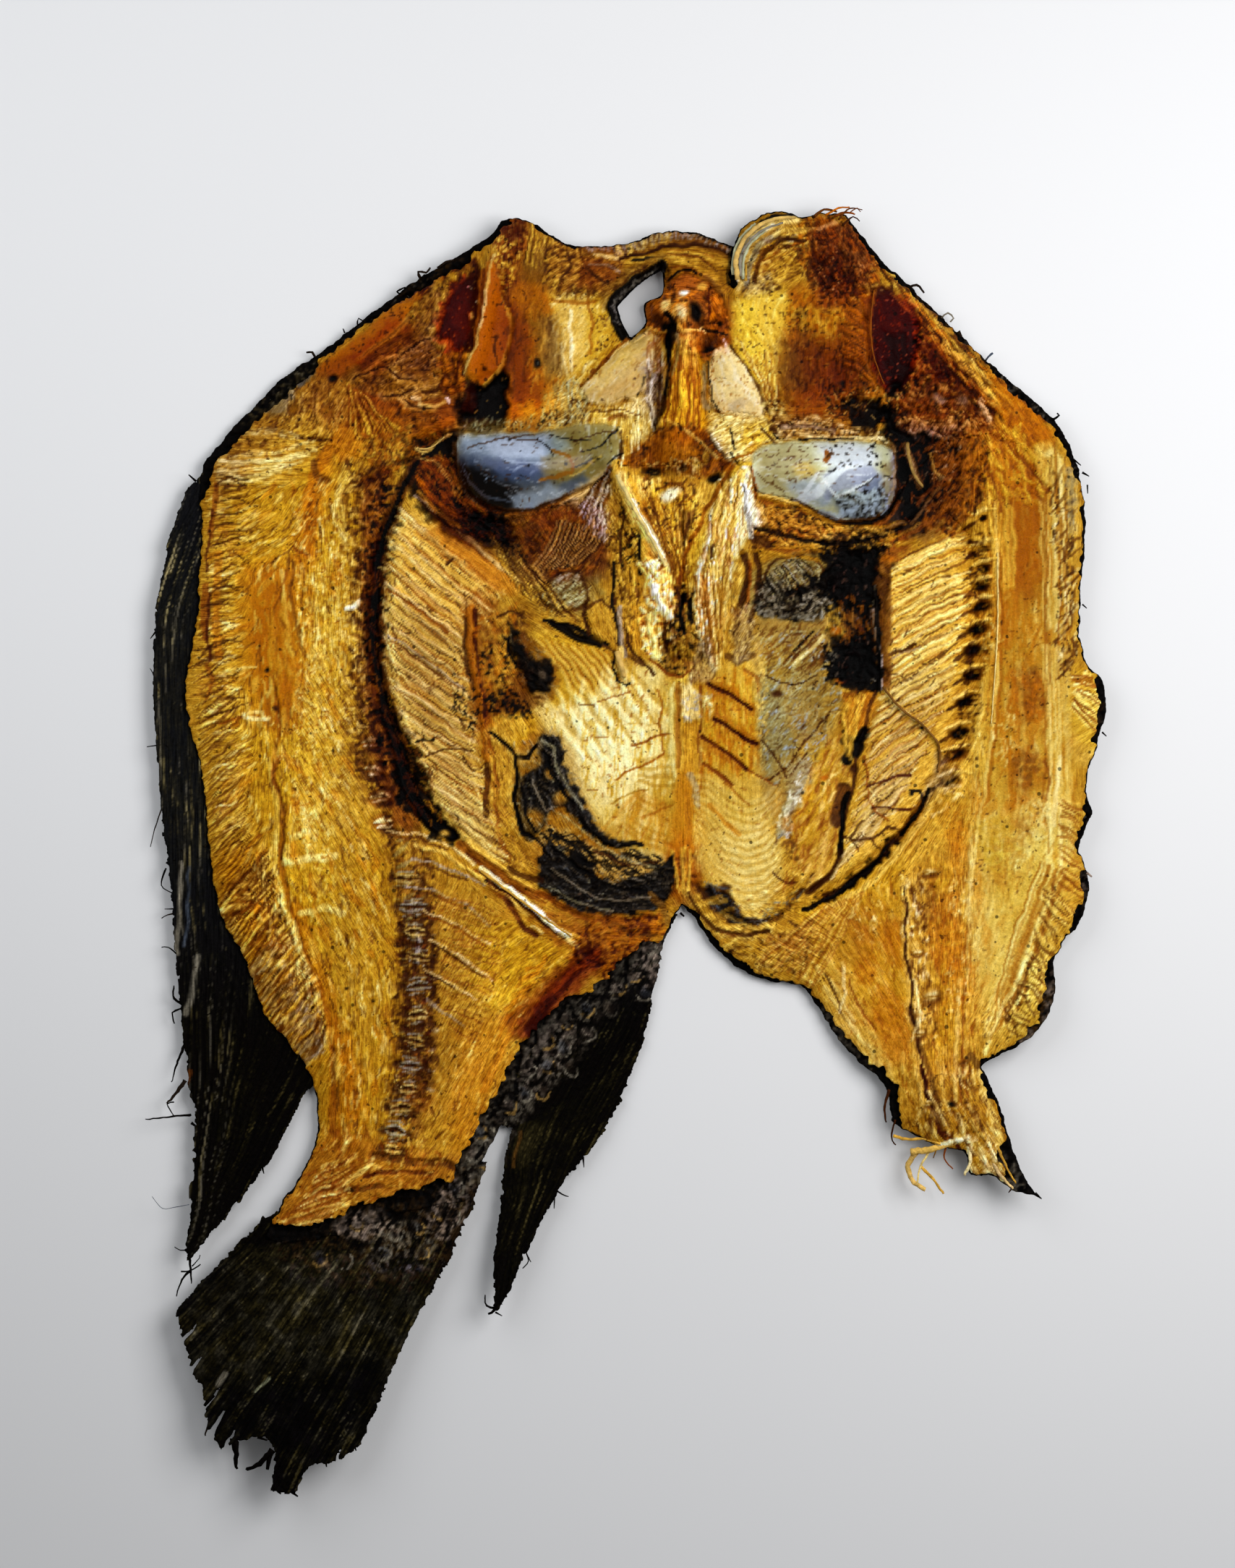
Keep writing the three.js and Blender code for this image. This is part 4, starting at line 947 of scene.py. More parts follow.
strokes(flesh, [
    ([(-48, 82), (-42, 77), (-35, 71), (-30, 66.8), (-25.6, 63.2)], 0.55, 0.8, "pink", 0.7),
    ([(-47, 80.4), (-41, 75), (-33, 68)], 0.3, -0.5, "rust", 0.8),
    ([(-50, 83.6), (-44, 80), (-38, 77.4)], 0.5, 0.6, "lilac", 0.7),
    ([(-57.4, 63), (-51, 59), (-44, 53.4), (-38, 49)], 0.34, 0.5, "pink", 0.6),
    ([(-57, 61.6), (-50, 57.2), (-43, 51.6)], 0.3, -0.5, "rust", 0.8),
    ([(-57, 51), (-50, 46.4), (-44, 42), (-39, 38)], 0.3, 0.4, "lilac", 0.6),
    ([(-56, 49.4), (-49, 44.6), (-42, 39)], 0.28, -0.5, "brown", 0.8),
    ([(-55, 39), (-49, 35.6), (-43, 31), (-36.6, 25.6)], 0.3, 0.4, "pink", 0.6),
    ([(-41.6, 68.4), (-42.8, 67.2)], 0.4, -0.3, "umber", 0.9),
    ([(-48, 22.4), (-42, 24), (-36.6, 23.4)], 0.3, -0.3, "umber", 0.7),
    ([(-46, 26.2), (-50, 25.6)], 0.3, -0.3, "char", 0.8),
    ([(-37, 57), (-37, 50), (-36.6, 44), (-34.6, 36), (-33.6, 28), (-33, 20)], 1.1, 0.9, "caramel", 0.85),
    ([(-36, 57), (-36, 48), (-34.8, 40), (-33.4, 30)], 0.4, -0.5, "blood", 0.8),
    ([(-38.4, 55), (-38.4, 46), (-37, 38)], 0.5, -0.5, "umber", 0.7),
    ([(-33.4, 20), (-33.2, 12), (-33.6, 8.6)], 0.9, -0.6, "umber", 0.9),
    ([(-33, 28), (-31, 16), (-31, 6), (-28, -2)], 0.4, -0.3, "rust", 0.7),
])
flecks(flesh, [(-42, 40), (-35, 42), (-34, 30), (-38, 27), (-41, 33)], 60, 1.0, 0.36, -0.3, "char", 0.95,
       17, stray=1.5)
# coarse short bundles in the lower outer band
coarseBand = [(-97, -12), (-84, -4), (-80, -16), (-73, -32), (-71, -46), (-77, -52), (-88, -36)]
flecks(flesh, coarseBand, 110, 2.6, 0.55, 0.35, "cream", 0.5, 201, stray=0.35)
flecks(flesh, coarseBand, 90, 2.4, 0.4, -0.4, "brown", 0.8, 202, stray=0.35)
flecks(flesh, [(-80, -34), (-72, -32), (-71, -46), (-77, -52)], 40, 2.4, 0.4, 0.2, "lilac", 0.45, 203,
       stray=0.3)
# the long white bone, straight and clean
strokes(flesh, [([(-34.6, -4), (-28, -9), (-21, -14.6), (-14.2, -20)], 0.62, 0.5, "pale", 0.9),
                ([(-33, -4.8), (-24, -11.9), (-16, -18.2)], 0.25, 0.2, "white", 0.7),
                ([(-34.6, -5.2), (-28, -10.2), (-21, -15.8), (-15, -20.6)], 0.26, -0.5, "brown", 0.85)],
        bend=False)


# the inner panel beside the left ribs, with dried black skin of the gut cavity on it
flecks(flesh, [(-36, 56), (-24, 56), (-20, 34), (-24, 20), (-32, 26), (-36, 40)], 60, 1.8, 0.4, -0.2,
       "umber", 0.7, 21, stray=1.2)
flecks(flesh, [(-36, 56), (-26, 58), (-28, 30), (-34, 28), (-37, 44)], 90, 1.8, 0.45, 0.25, "orange", 0.7,
       22, stray=1.0)
outline = [(-34, 26), (-26, 20), (-27, 4), (-22, -2), (-30, -6), (-33, 8)]
flecks(flesh, outline, 90, 3, 0.25, -0.2, "brown", 0.6, 23)
flecks(flesh, outline, 60, 3, 0.4, 0.2, "straw", 0.6, 24)
patch(flesh, [(-27, 34), (-21, 31), (-24, 26), (-28, 25)], 0.3, "gold", 0.7, 0.8, 0.6)

patch(flesh, [(-34, 56), (-27, 55), (-25.6, 46), (-26, 38), (-33, 38), (-35, 46)], 0.1, "straw", 0.5, 1.5,
      1.5, 0.8)

# belly wall: pale, with slanting bands on the left and bowed bands on the right
belly = [(-20, 33), (-14, 25), (-8, 13), (-3, 5), (3, 2), (9, -2), (10.4, 16), (10.4, 38), (3, 45),
         (-6, 41), (-16, 38)]
patch(flesh, [(-23, 52), (-12, 50), (-2, 45), (-4, 40), (-14, 34), (-20, 36)], 0.2, "gold", 0.8, 2, 0.8)
patch(flesh, [(-16, 34), (-8, 36), (-2, 40), (6, 38), (6, 26), (0, 10), (-4, 8), (-10, 18)], 0, "pale",
      0.45, 3, 1)
for k in range(7):
    a = (-21 + 3.0 * k, 38 + 1.2 * k)
    b = (-10 + 3.2 * k, 21 + 1.6 * k)
    stroke(flesh, [a, ((a[0] + b[0]) / 2 - 0.6, (a[1] + b[1]) / 2), b], 0.9, 0.25, "pale", 0.4, taper=0.6)
    stroke(flesh, [(a[0] + 1.5, a[1]), (b[0] + 1.4, b[1])], 0.7, -0.2, "hay", 0.4, taper=0.6)
for k in range(8):
    a = (-22 + 2.2 * k, 50 - 0.4 * k)
    stroke(flesh, [a, (a[0] + 4, a[1] - 5), (a[0] + 9, a[1] - 12)], 0.5, 0.2, "sand", 0.6, taper=0.6)
    stroke(flesh, [(a[0] + 1, a[1]), (a[0] + 5, a[1] - 5), (a[0] + 10, a[1] - 12)], 0.3, -0.2, "caramel",
           0.55, taper=0.6)
flecks(flesh, belly, 150, 7, 0.5, 0.12, "pale", 0.5, 25, lean=88, stray=0.08)
flecks(flesh, belly, 110, 5, 0.3, -0.12, "gold", 0.6, 26, lean=88, stray=0.1)
flecks(flesh, belly, 70, 1.2, 0.22, -0.1, "rust", 0.7, 27, stray=1.0)
fan(flesh, [(-3, 6), (2, 12), (2, 22)], [(10.4, -2), (10.4, 10), (10.4, 24)], 10, 0.5, -0.15, "ochre", 0.55,
    51, bow=-0.6)
fan(flesh, [(-6, 5), (4, 1), (9, -3)], [(2, 14), (7, 12), (10.4, 10)], 12, 0.7, 0, "orange", 0.25, 52)
strokes(flesh, [
    ([(-3.4, 16.6), (-1, 18.4), (3, 20), (6, 21.4), (8.4, 22.8)], 0.3, -0.35, "caramel", 0.85),
    ([(0.4, 25), (4, 25.8), (8, 27.4), (10, 28)], 0.3, -0.35, "rust", 0.85),
    ([(7, 38), (7.8, 34), (7.4, 29), (8.2, 23)], 0.26, -0.3, "caramel", 0.8),
    ([(-12, 34.4), (-8, 34.4)], 0.22, -0.3, "brown", 0.8),
    ([(-7, 35.6), (-3, 36.4), (0, 37.4)], 0.22, -0.3, "rust", 0.7),
    ([(-9, 26.8), (-5, 27)], 0.2, -0.2, "rust", 0.6),
    ([(-4, 11), (0, 13.4), (4, 14.4)], 0.24, -0.2, "hay", 0.7),
    ([(0, 30), (2, 29.6), (7, 30)], 0.2, -0.2, "hay", 0.6),
    ([(-10, 14.2), (-7, 14.4)], 0.2, -0.2, "rust", 0.6),
    ([(3, 8), (7, 9.4), (10, 11)], 0.4, -0.2, "caramel", 0.5),
    ([(11.7, 39), (11.4, 30), (11.8, 20)], 0.6, -0.5, "rust", 0.5),
    ([(16.8, 39), (17, 32), (16.4, 24), (16.8, 20)], 0.35, -0.5, "rust", 0.8),
    ([(10.2, 38), (10, 30), (10.4, 18)], 0.5, 0.3, "cream", 0.6),
    ([(14.4, 18), (15.6, 14.6), (16.4, 10.6)], 0.7, 0.2, "lilac", 0.6),
    ([(17, 20), (16.4, 14)], 0.3, -0.3, "caramel", 0.7),
])
patch(flesh, [(12.2, 39), (16.6, 38), (16.4, 31), (12.4, 31.6)], 0.4, "pink", 0.7, 0.7, 0.5)
flecks(flesh, [(12.2, 39), (19.6, 38), (19.6, 31), (12.4, 31)], 26, 1.8, 0.3, 0.3, "lilac", 0.7, 28,
       stray=1.4)
flecks(flesh, [(17.4, 37), (19.8, 36), (19.6, 31.6), (17.6, 31.6)], 16, 1.6, 0.4, 0.4, "pale", 0.8, 29,
       stray=0.6)
patch(flesh, [(11, 19), (13.6, 19), (15.2, 11), (14.6, 2), (12.6, -2), (10, -3), (10.2, 8)], -0.2, "amber",
      0.55, 1.2, 0.3, gloss=0.6)
patch(flesh, [(8.6, 2), (15, 1), (16, -6), (13.4, -11.4), (9.6, -8.6)], -0.2, "orange", 0.7, 1.6, 0.8)
flecks(flesh, [(9.6, -1), (15, -1), (15.4, -8), (10.4, -9)], 26, 1.6, 0.5, -0.3, "blood", 0.8, 30,
       stray=1.2)
fan(flesh, [(10, 0), (13, 1), (16, -1)], [(11, -9), (12.6, -10), (15, -10)], 9, 0.35, 0.3, "straw", 0.7, 53)

# right belly wall
rightBelly = [(17.6, 41), (29, 44), (31, 20), (34.6, 14), (34, 2), (39, -4), (38, -12), (31, -17),
              (25, -14), (22, -8), (15, -4), (15.6, 12)]
flecks(flesh, rightBelly, 150, 6, 0.5, 0.12, "sand", 0.5, 31, lean=92, stray=0.1)
flecks(flesh, [(17.6, 41), (29, 44), (31, 20), (17, 18)], 110, 5, 0.4, -0.15, "amber", 0.5, 32, lean=92,
       stray=0.08)
flecks(flesh, rightBelly, 90, 1.2, 0.22, -0.1, "rust", 0.7, 33, stray=1.0)
for k in range(13):
    low = -13.5 + 2.05 * k
    stroke(flesh, [(15.6, low + 12.5 - 0.5 * k), (18.5, low + 7), (22.4, low + 2.6), (27, low + 0.5),
                   (31.6, low + 1.6), (35.6, low + 5.6)],
           0.8, 0.05, "pale", 0.22, taper=0.5)
    stroke(flesh, [(15.6, low + 11.4 - 0.5 * k), (18.5, low + 5.9), (22.4, low + 1.6), (27, low - 0.5),
                   (31.6, low + 0.6), (35.6, low + 4.6)],
           0.5, -0.05, "hay", 0.25, taper=0.6)
strokes(flesh, [
    ([(17.6, 40.2), (21, 38.2), (25, 36), (28.6, 33.2)], 1.4, 0, "caramel", 0.4),
    ([(18.4, 39.6), (22, 37.6), (26, 35.4), (28.6, 33.3)], 0.5, -0.7, "blood", 0.95),
    ([(20, 31.4), (24, 29), (28, 26.4), (30.6, 25)], 1.3, 0, "caramel", 0.4),
    ([(19.8, 31.2), (23.6, 28.9), (27.6, 26.4), (30, 25.2)], 0.5, -0.7, "blood", 0.95),
    ([(17.4, 27), (20.6, 24.6), (24.6, 21.8), (27.8, 19.2)], 0.5, -0.7, "blood", 0.95),
    ([(27.8, 19.2), (31, 17.4), (34.4, 15.6)], 0.25, -0.4, "rust", 0.8),
    ([(17, 26), (21, 23.4), (26, 20.2)], 1.3, 0, "caramel", 0.4),
    ([(17.2, 21), (19.6, 19.4), (22, 17.6), (24, 15.6)], 0.42, -0.6, "rust", 0.95),
    ([(22.6, 16), (26, 13), (28, 11)], 0.3, -0.3, "caramel", 0.6),
    ([(19, 11), (22, 7), (26, 4)], 0.5, 0, "amber", 0.5),
    ([(33.6, -5), (36.4, -7.4), (39, -7.6)], 0.28, -0.3, "blood", 0.8),
    ([(27.6, 43), (30, 41), (31, 37)], 0.5, -0.3, "rust", 0.6),
    ([(23, 46), (25.4, 44.6), (29, 46)], 0.8, 0, "umber", 0.6),
])
patch(flesh, [(15, -8), (19.4, -8.2), (23.4, -8), (24.6, -12), (27.4, -15.6), (31, -16.6), (36, -13.4),
              (40, -9.4), (43.6, -5.4),
              (41, -9), (36.4, -15), (30.6, -19), (26, -18.6), (20, -14.4)], -0.7, "umber", 0.9, 0.7, 1.0)
patch(flesh, [(18, -9.4), (22.6, -9), (24, -13), (28, -17), (30, -17.4), (24, -16.6), (20, -13)], -0.6,
      "char", 0.85, 0.8, 1.0)
flecks(flesh, [(17, -8), (23, -8), (25, -13), (30, -16), (42, -6), (40, -11), (30, -19), (20, -15)], 60,
       3.4, 0.25, 0.35, "slate", 0.6, 34, stray=0.3)
flecks(flesh, [(32, -14), (44, -3), (42, -10), (33, -18)], 40, 3.2, 0.3, 0.3, "hay", 0.7, 35, lean=42,
       stray=0.2)

# gut skin dried to a grey web
web = [(30.5, 50), (36, 51.6), (41, 53), (46.4, 51), (46.6, 44), (44.6, 42), (50, 38), (50, 33), (47.6, 27),
       (44, 21), (41, 15), (37.6, 6),
       (35, 1.6), (33.6, 3), (36, 9), (37, 13.6), (33, 17.4), (31, 20), (30.6, 30), (31, 40)]
patch(flesh, [(31, 40), (33.4, 41), (37, 30), (40, 24), (38, 19), (33, 18), (31, 22)], 0, "sage", 0.8, 1.2,
      0.8)
patch(flesh, [(36, 20), (41.4, 22), (43.4, 18), (40, 12), (36.6, 3), (34.6, 2.4), (36.4, 10), (37.6, 14)],
      0.2, "grey", 0.9, 1.0, 0.8)
patch(flesh, [(37.4, 13), (40.4, 15), (39, 9), (36.6, 4), (34.6, 3), (36.6, 9)], 0.1, "steel", 0.6, 0.8,
      0.6)
patch(flesh, [(31, 49), (34, 50), (38, 46), (36, 40), (31, 42)], 0, "hay", 0.7, 1.4, 0.8)
patch(flesh, web, 0, "sage", 0.3, 1.2, 0.8)
flecks(flesh, web, 330, 3.0, 0.2, -0.15, "umber", 0.4, 36, lean=40, stray=0.5)
flecks(flesh, web, 330, 3.0, 0.2, 0.12, "silver", 0.35, 37, lean=42, stray=0.4)
flecks(flesh, web, 120, 2.0, 0.24, 0.2, "steel", 0.6, 38, lean=44, stray=0.4)
for points in ([(37, 44.6), (40, 48), (42.6, 51.6)], [(38.6, 45), (42, 49), (44, 51)],
               [(33, 16.6), (37, 20), (43, 28), (47, 32)],
               [(31, 26), (34, 23), (37, 17)], [(38, 18.6), (42, 23)], [(31, 42), (38, 39), (44, 41)]):
    stroke(flesh, points, 0.25, -0.4, "umber", 0.85)
dome(flesh, (34.8, 37.2), (1.8, 1.3), -20, -0.4, "umber", 1)
flecks(flesh, [(34, 6), (38, 14), (41, 20), (40, 12), (37, 2)], 40, 1.6, 0.3, 0.3, "ice", 0.7, 39, lean=60,
       stray=0.5)

# right flank between the web and the ribs
outline = [(38, 0), (42, 18), (50, 34), (52, 20), (50, 2), (44, -8), (36, -10)]
flecks(flesh, outline, 110, 4, 0.35, -0.2, "rust", 0.55, 40, lean=66, stray=0.2)
flecks(flesh, outline, 90, 4.4, 0.4, 0.25, "sand", 0.6, 41, lean=62, stray=0.2)
patch(flesh, [(50.4, 37), (58, 38), (57, 32), (54, 24), (51.4, 24), (51, 31)], 0.2, "orange", 0.65, 1.0,
      0.8)
dome(flesh, (46, 17), (1.6, 1.1), 10, -0.3, "orange", 1)
patch(flesh, [(36.2, 2.4), (37.4, -1), (39.4, -2.6), (39.8, 1), (38, 3.6)], -0.2, "umber", 0.6, 0.6, 0.9,
      0.6)
patch(flesh, [(36, 8), (39, 9), (40, 4), (38, 3), (36, 4.4)], 0, "caramel", 0.5, 0.8, 0.8, 0.5)
for points, half, depth, colour, amount in [
        ([(58.6, 38), (56.4, 33), (55, 27.4), (53.4, 22), (52.4, 15), (50.6, 8), (49.8, 1), (47.4, -5),
          (43, -9)], 0.5, -0.6, "umber", 0.85),
        ([(55.4, 28), (53, 25), (51, 21.6)], 1.3, -0.9, "char", 0.95),
        ([(51, 26), (54, 25), (53.4, 23)], 1.3, -0.5, "char", 0.9),
        ([(50.4, 14.6), (49.4, 10), (48.4, 7)], 1.4, -0.6, "umber", 0.9),
        ([(51.4, 13.6), (50, 9), (50, 2), (49.4, -1)], 0.7, -1.0, "char", 0.95),
        ([(49.8, 0), (48.4, -4), (45, -7.4), (42, -9.6)], 0.8, -0.7, "umber", 0.85),
        ([(49.4, 30), (51.6, 32), (51, 28)], 0.3, -0.2, "rust", 0.8)]:
    stroke(flesh, points, half, depth, colour, amount)
dome(flesh, (52.6, 19.4), (1.6, 1.8), 0, -0.5, "umber", 1)
fan(flesh, [(50.4, 34), (52, 36), (56, 37)], [(50.8, 24), (51.6, 22), (53, 22)], 8, 0.4, 0.3, "straw", 0.7,
    54)

# the web's torn inner edge, and the crescent that ends the ribs
patch(flesh, [(43, -12), (48, -11), (54, -7.4), (60, -1.6), (64, 3), (62, 3.4), (56, -3), (50, -8),
              (44, -11)], -0.9, "char", 0.95, 0.5, 1.2)
flecks(flesh, [(29, 44), (32, 46), (33, 34), (33, 20), (30, 20)], 60, 1.6, 0.4, 0.1, "sand", 0.6, 183,
       lean=80, stray=0.6)


# black crinkled skin on the left of the belly, its slate and grey flecks painted highlights on the folds
def blackSkin(outline, seed, folds=40, lean=None):
    patch(flesh, outline, 0.5, "char", 0.97, 0.5, 1.0, seed=seed, gloss=0.3)
    flecks(flesh, outline, folds, 4.2, 0.3, 0.5, "slate", 0.35, 60 + seed, lean=lean, stray=0.5)
    flecks(flesh, outline, folds, 3.0, 0.2, 0.35, "grey", 0.3, 80 + seed, lean=lean, stray=0.7)


blackSkin([(-28, 52.4), (-26.6, 51), (-25.4, 47.4), (-23.6, 44.6), (-21, 44.4), (-18.6, 43), (-18, 40),
           (-19.6, 37.4), (-22.4, 37.6), (-24.4, 40.2), (-25, 43.4), (-26.6, 47)], 1, 30)
strokes(flesh, [([(-28, 50.6), (-28.2, 47), (-26.6, 43.4)], 0.35, -0.4, "char", 0.9),
                ([(-31, 55), (-28, 56.4), (-25, 55.6)], 0.3, -0.3, "umber", 0.8),
                # painted highlight on the black blob
                ([(-22.6, 42.4), (-20.6, 41.6)], 0.5, 0.2, "grey", 0.6)])
flecks(flesh, [(-35, 47), (-28, 52), (-25, 42), (-24, 35), (-30, 34), (-34, 37)], 60, 1.1, 0.4, 0.2, "char",
       0.9, 42, stray=1.5)
flecks(flesh, [(-34, 38), (-26, 37), (-22, 33.4), (-24, 31), (-30, 31.6), (-34, 33.4)], 70, 1.0, 0.5, 0.2,
       "char", 0.95, 62, stray=1.5)
patch(flesh, [(-31, 32.6), (-25, 32), (-24.4, 28), (-28, 26.6), (-31.6, 28)], 0.2, "straw", 0.7, 0.8, 0.8)
blackSkin([(-21.6, 27), (-18.6, 28), (-16.2, 26.6), (-15.6, 22), (-13.2, 16.4), (-9.6, 9.6), (-6, 4.4),
           (-2, 2), (-5.6, 1.4), (-9, 3.4),
           (-12.6, 7.4), (-15.4, 10), (-17.4, 10.4), (-19.4, 8), (-20.4, 4.4), (-23, 2.8), (-25.6, 4),
           (-26.2, 9), (-26.4, 17), (-23.6, 18.6), (-21.8, 20)], 3, 110, 110)
for at, reach in [((-23.4, 21.4), (3.2, 2.8)), ((-22.6, 7.6), (2.7, 3.2)), ((-16, 12.8), (2.4, 1.9)),
                  ((-18.6, 18.2), (1.2, 1.6))]:
    dome(flesh, at, (reach[0] * 1.25, reach[1] * 1.25), 20, 0.9, "film", 1)
    dome(flesh, (at[0] + 0.4, at[1] + 0.5), (reach[0] * 0.9, reach[1] * 0.9), 20, 0, "hay", 0.6)
crack(flesh, [(-32.6, 28), (-30, 26), (-27.6, 24), (-26.4, 22.4), (-23.6, 22), (-21.6, 25)], 0.55, 0.6)
crack(flesh, [(-26.4, 22.4), (-26.6, 18), (-26.8, 10), (-25, 4.4), (-21.6, 3), (-20, 0)], 0.6, 0.6)
fringe = [(-20, 5.4), (-15, 4.6), (-10, 1.6), (-4, 0), (2, 0.6), (8, -2), (8, -6), (2, -8), (-6, -6),
          (-12, -3), (-17, 1), (-21, 2)]
patch(flesh, fringe, 0.2, "grey", 0.55, 1.2, 1.0)
patch(flesh, fringe, 0.1, "bone", 0.35, 1, 1)
flecks(flesh, fringe, 130, 5, 0.24, 0.3, "bone", 0.65, 43, lean=-24, stray=0.25)
flecks(flesh, fringe, 110, 4.6, 0.26, -0.35, "char", 0.85, 44, lean=-24, stray=0.3)
blackSkin([(-21.4, -2), (-19, 2.4), (-15, 0), (-12, -3), (-9.4, -6), (-4, -7), (2, -6.4), (7, -4),
           (10.4, -1), (10, -9), (6, -13.6),
           (-3, -15), (-11, -14), (-17, -11.4), (-20.4, -8)], 4, 120, -12)
strokes(flesh, [
    ([(-12, 9), (-9.6, 6), (-6.4, 2.6), (-2, 1.6), (3, 1.6)], 0.6, 0.6, "char", 0.95),
    ([(-13.4, -0.6), (-9.6, -4), (-8.4, -7.6)], 1.0, 0.3, "char", 0.9),
    ([(-18, 4), (-13, 1), (-9, -3)], 0.5, 0.3, "char", 0.85),
    ([(-8, 0), (0, -3), (7, -2.6)], 0.35, 0.3, "umber", 0.8),
    ([(-20, 54.2), (-16, 53.2), (-12, 52.4), (-9, 50.4), (-5, 48.6)], 0.5, -0.6, "char", 0.95),
    ([(-18, 53.6), (-14, 51.4), (-10.6, 49.8), (-7, 48.6)], 1.0, -0.8, "char", 0.95),
    ([(-9.4, 51), (-10.6, 55), (-10, 60), (-11, 64)], 0.5, -0.6, "umber", 0.9),
    ([(-6, 48.4), (-3, 46.6), (0, 46), (3, 43.6)], 0.4, -0.4, "umber", 0.7),
    ([(-28, -4), (-24, -6.4), (-20.4, -7)], 0.7, -0.4, "umber", 0.7),
    ([(-21, -10), (-12, -14.6), (-3, -16.6), (5, -17)], 0.8, -0.3, "rust", 0.7),
    ([(-4, -17.6), (2, -19.4), (6, -19)], 0.9, -0.3, "umber", 0.7),
    ([(5, -10), (8, -13), (9.4, -17)], 0.7, 0.3, "olive", 0.8),
    ([(2, -14), (6, -15), (8.6, -20)], 0.4, 0.3, "hay", 0.7),
])
outline = [(-8, -16), (8, -14), (9, -20), (4, -26), (-4, -32), (-14, -26), (-12, -18)]
flecks(flesh, outline, 130, 2.4, 0.45, -0.3, "blood", 0.75, 45, stray=0.8)
flecks(flesh, outline, 90, 2.2, 0.4, 0.3, "orange", 0.7, 46, stray=0.8)
# grey and silver flecks in the black skin: painted glints on its crinkles
for outline, lean, seed in [([(-27, 26), (-18, 28), (-13, 12), (-19, 4), (-26, 8)], -58, 214),
                            ([(-24, 8), (-14, 8), (-2, 2), (8, -4), (6, -13), (-12, -14), (-22, -6)], -24,
                             216), ([(-26, 52), (-19, 46), (-18, 37), (-25, 40)], -40, 218)]:
    flecks(flesh, outline, 44, 2.8, 0.17, 0.4, "grey", 0.5, seed, lean=lean, stray=0.35)
    flecks(flesh, outline, 22, 1.4, 0.16, 0.4, "silver", 0.6, seed + 1, lean=lean, stray=0.5)
patch(flesh, [(-28.4, 53.6), (-25.6, 50), (-23.4, 45.6), (-19, 44.8), (-17.6, 41), (-19.4, 37.2),
              (-22.8, 38), (-25, 42), (-27.4, 45)], 0.3, "char", 0.75, 0.5, 1)
# painted highlight on the black blob
dome(flesh, (-20.4, 41.4), (1.3, 1.9), 20, 0.2, "grey", 0.7)
# long folds that follow the edge of the black mass: silver and grey strokes as painted highlights on their
# ridges, black strokes between them
strokes(flesh, [
    ([(-20.6, 26), (-18, 24.6), (-17, 21), (-15, 16), (-11, 10)], 0.3, 0.5, "silver", 0.6),
    ([(-22.6, 17), (-21, 13), (-19.6, 9.6), (-17, 10.6)], 0.26, 0.5, "grey", 0.8),
    ([(-19.4, 23), (-18.4, 19.6), (-16.6, 15.6), (-13, 11)], 0.45, -0.6, "char", 0.95),
    ([(-25.6, 15.6), (-24, 12), (-24.6, 8.6), (-22, 4.6)], 0.4, 0.3, "char", 0.95),
    ([(-16.6, 9), (-12, 5.6), (-7, 1.6), (-1, -1.4), (6, -4)], 0.3, 0.5, "silver", 0.5),
    ([(-18, 1), (-12, -3.6), (-5, -8), (4, -9.6)], 0.5, -0.5, "char", 0.9),
    ([(-18, -4), (-12, -8.6), (-4, -11.6), (5, -10.6)], 0.28, 0.5, "grey", 0.7),
    ([(-19, -8), (-12, -12), (-4, -14)], 0.24, 0.4, "silver", 0.5),
])


# right ribs under their thin skin
rightTop = [(62, 68), (61.4, 56), (61, 46), (60, 38), (57, 29), (55.4, 20), (53.4, 11), (51, 1), (47, -7)]
rightFoot = [(79.4, 75), (80, 64), (79.5, 55), (77.8, 47), (75.5, 40.5), (73.5, 33), (69.5, 24), (64.5, 14),
             (62, 9.5)]
fan(flesh, rightTop, rightFoot, 44, 0.26, -0.25, "rust", 0.75, 61, jitter=0.5, bow=0.3, taper=0.5,
    bend=False)
fan(flesh, rightTop, rightFoot, 34, 0.2, -0.3, "umber", 0.75, 62, jitter=1.0, bow=0.3, taper=0.7)
fan(flesh, rightTop, rightFoot, 46, 0.45, 0.18, "cream", 0.45, 63, jitter=0.7, bow=0.3, taper=0.4,
    bend=False)
fan(flesh, rightTop[:5], rightFoot[:5], 13, 0.5, 0.4, "pale", 0.6, 64, jitter=0.3, bow=0.3, taper=0.3,
    bend=False)
fan(flesh, rightTop[4:], rightFoot[4:], 14, 0.4, 0.3, "pink", 0.55, 65, jitter=0.4, bow=0.3, taper=0.4)
flecks(flesh, rightTop + rightFoot[::-1], 150, 4, 0.24, 0.2, "cream", 0.6, 47, stray=0.1)
flecks(flesh, rightTop + rightFoot[::-1], 100, 2.6, 0.2, -0.3, "umber", 0.8, 48, stray=0.3)
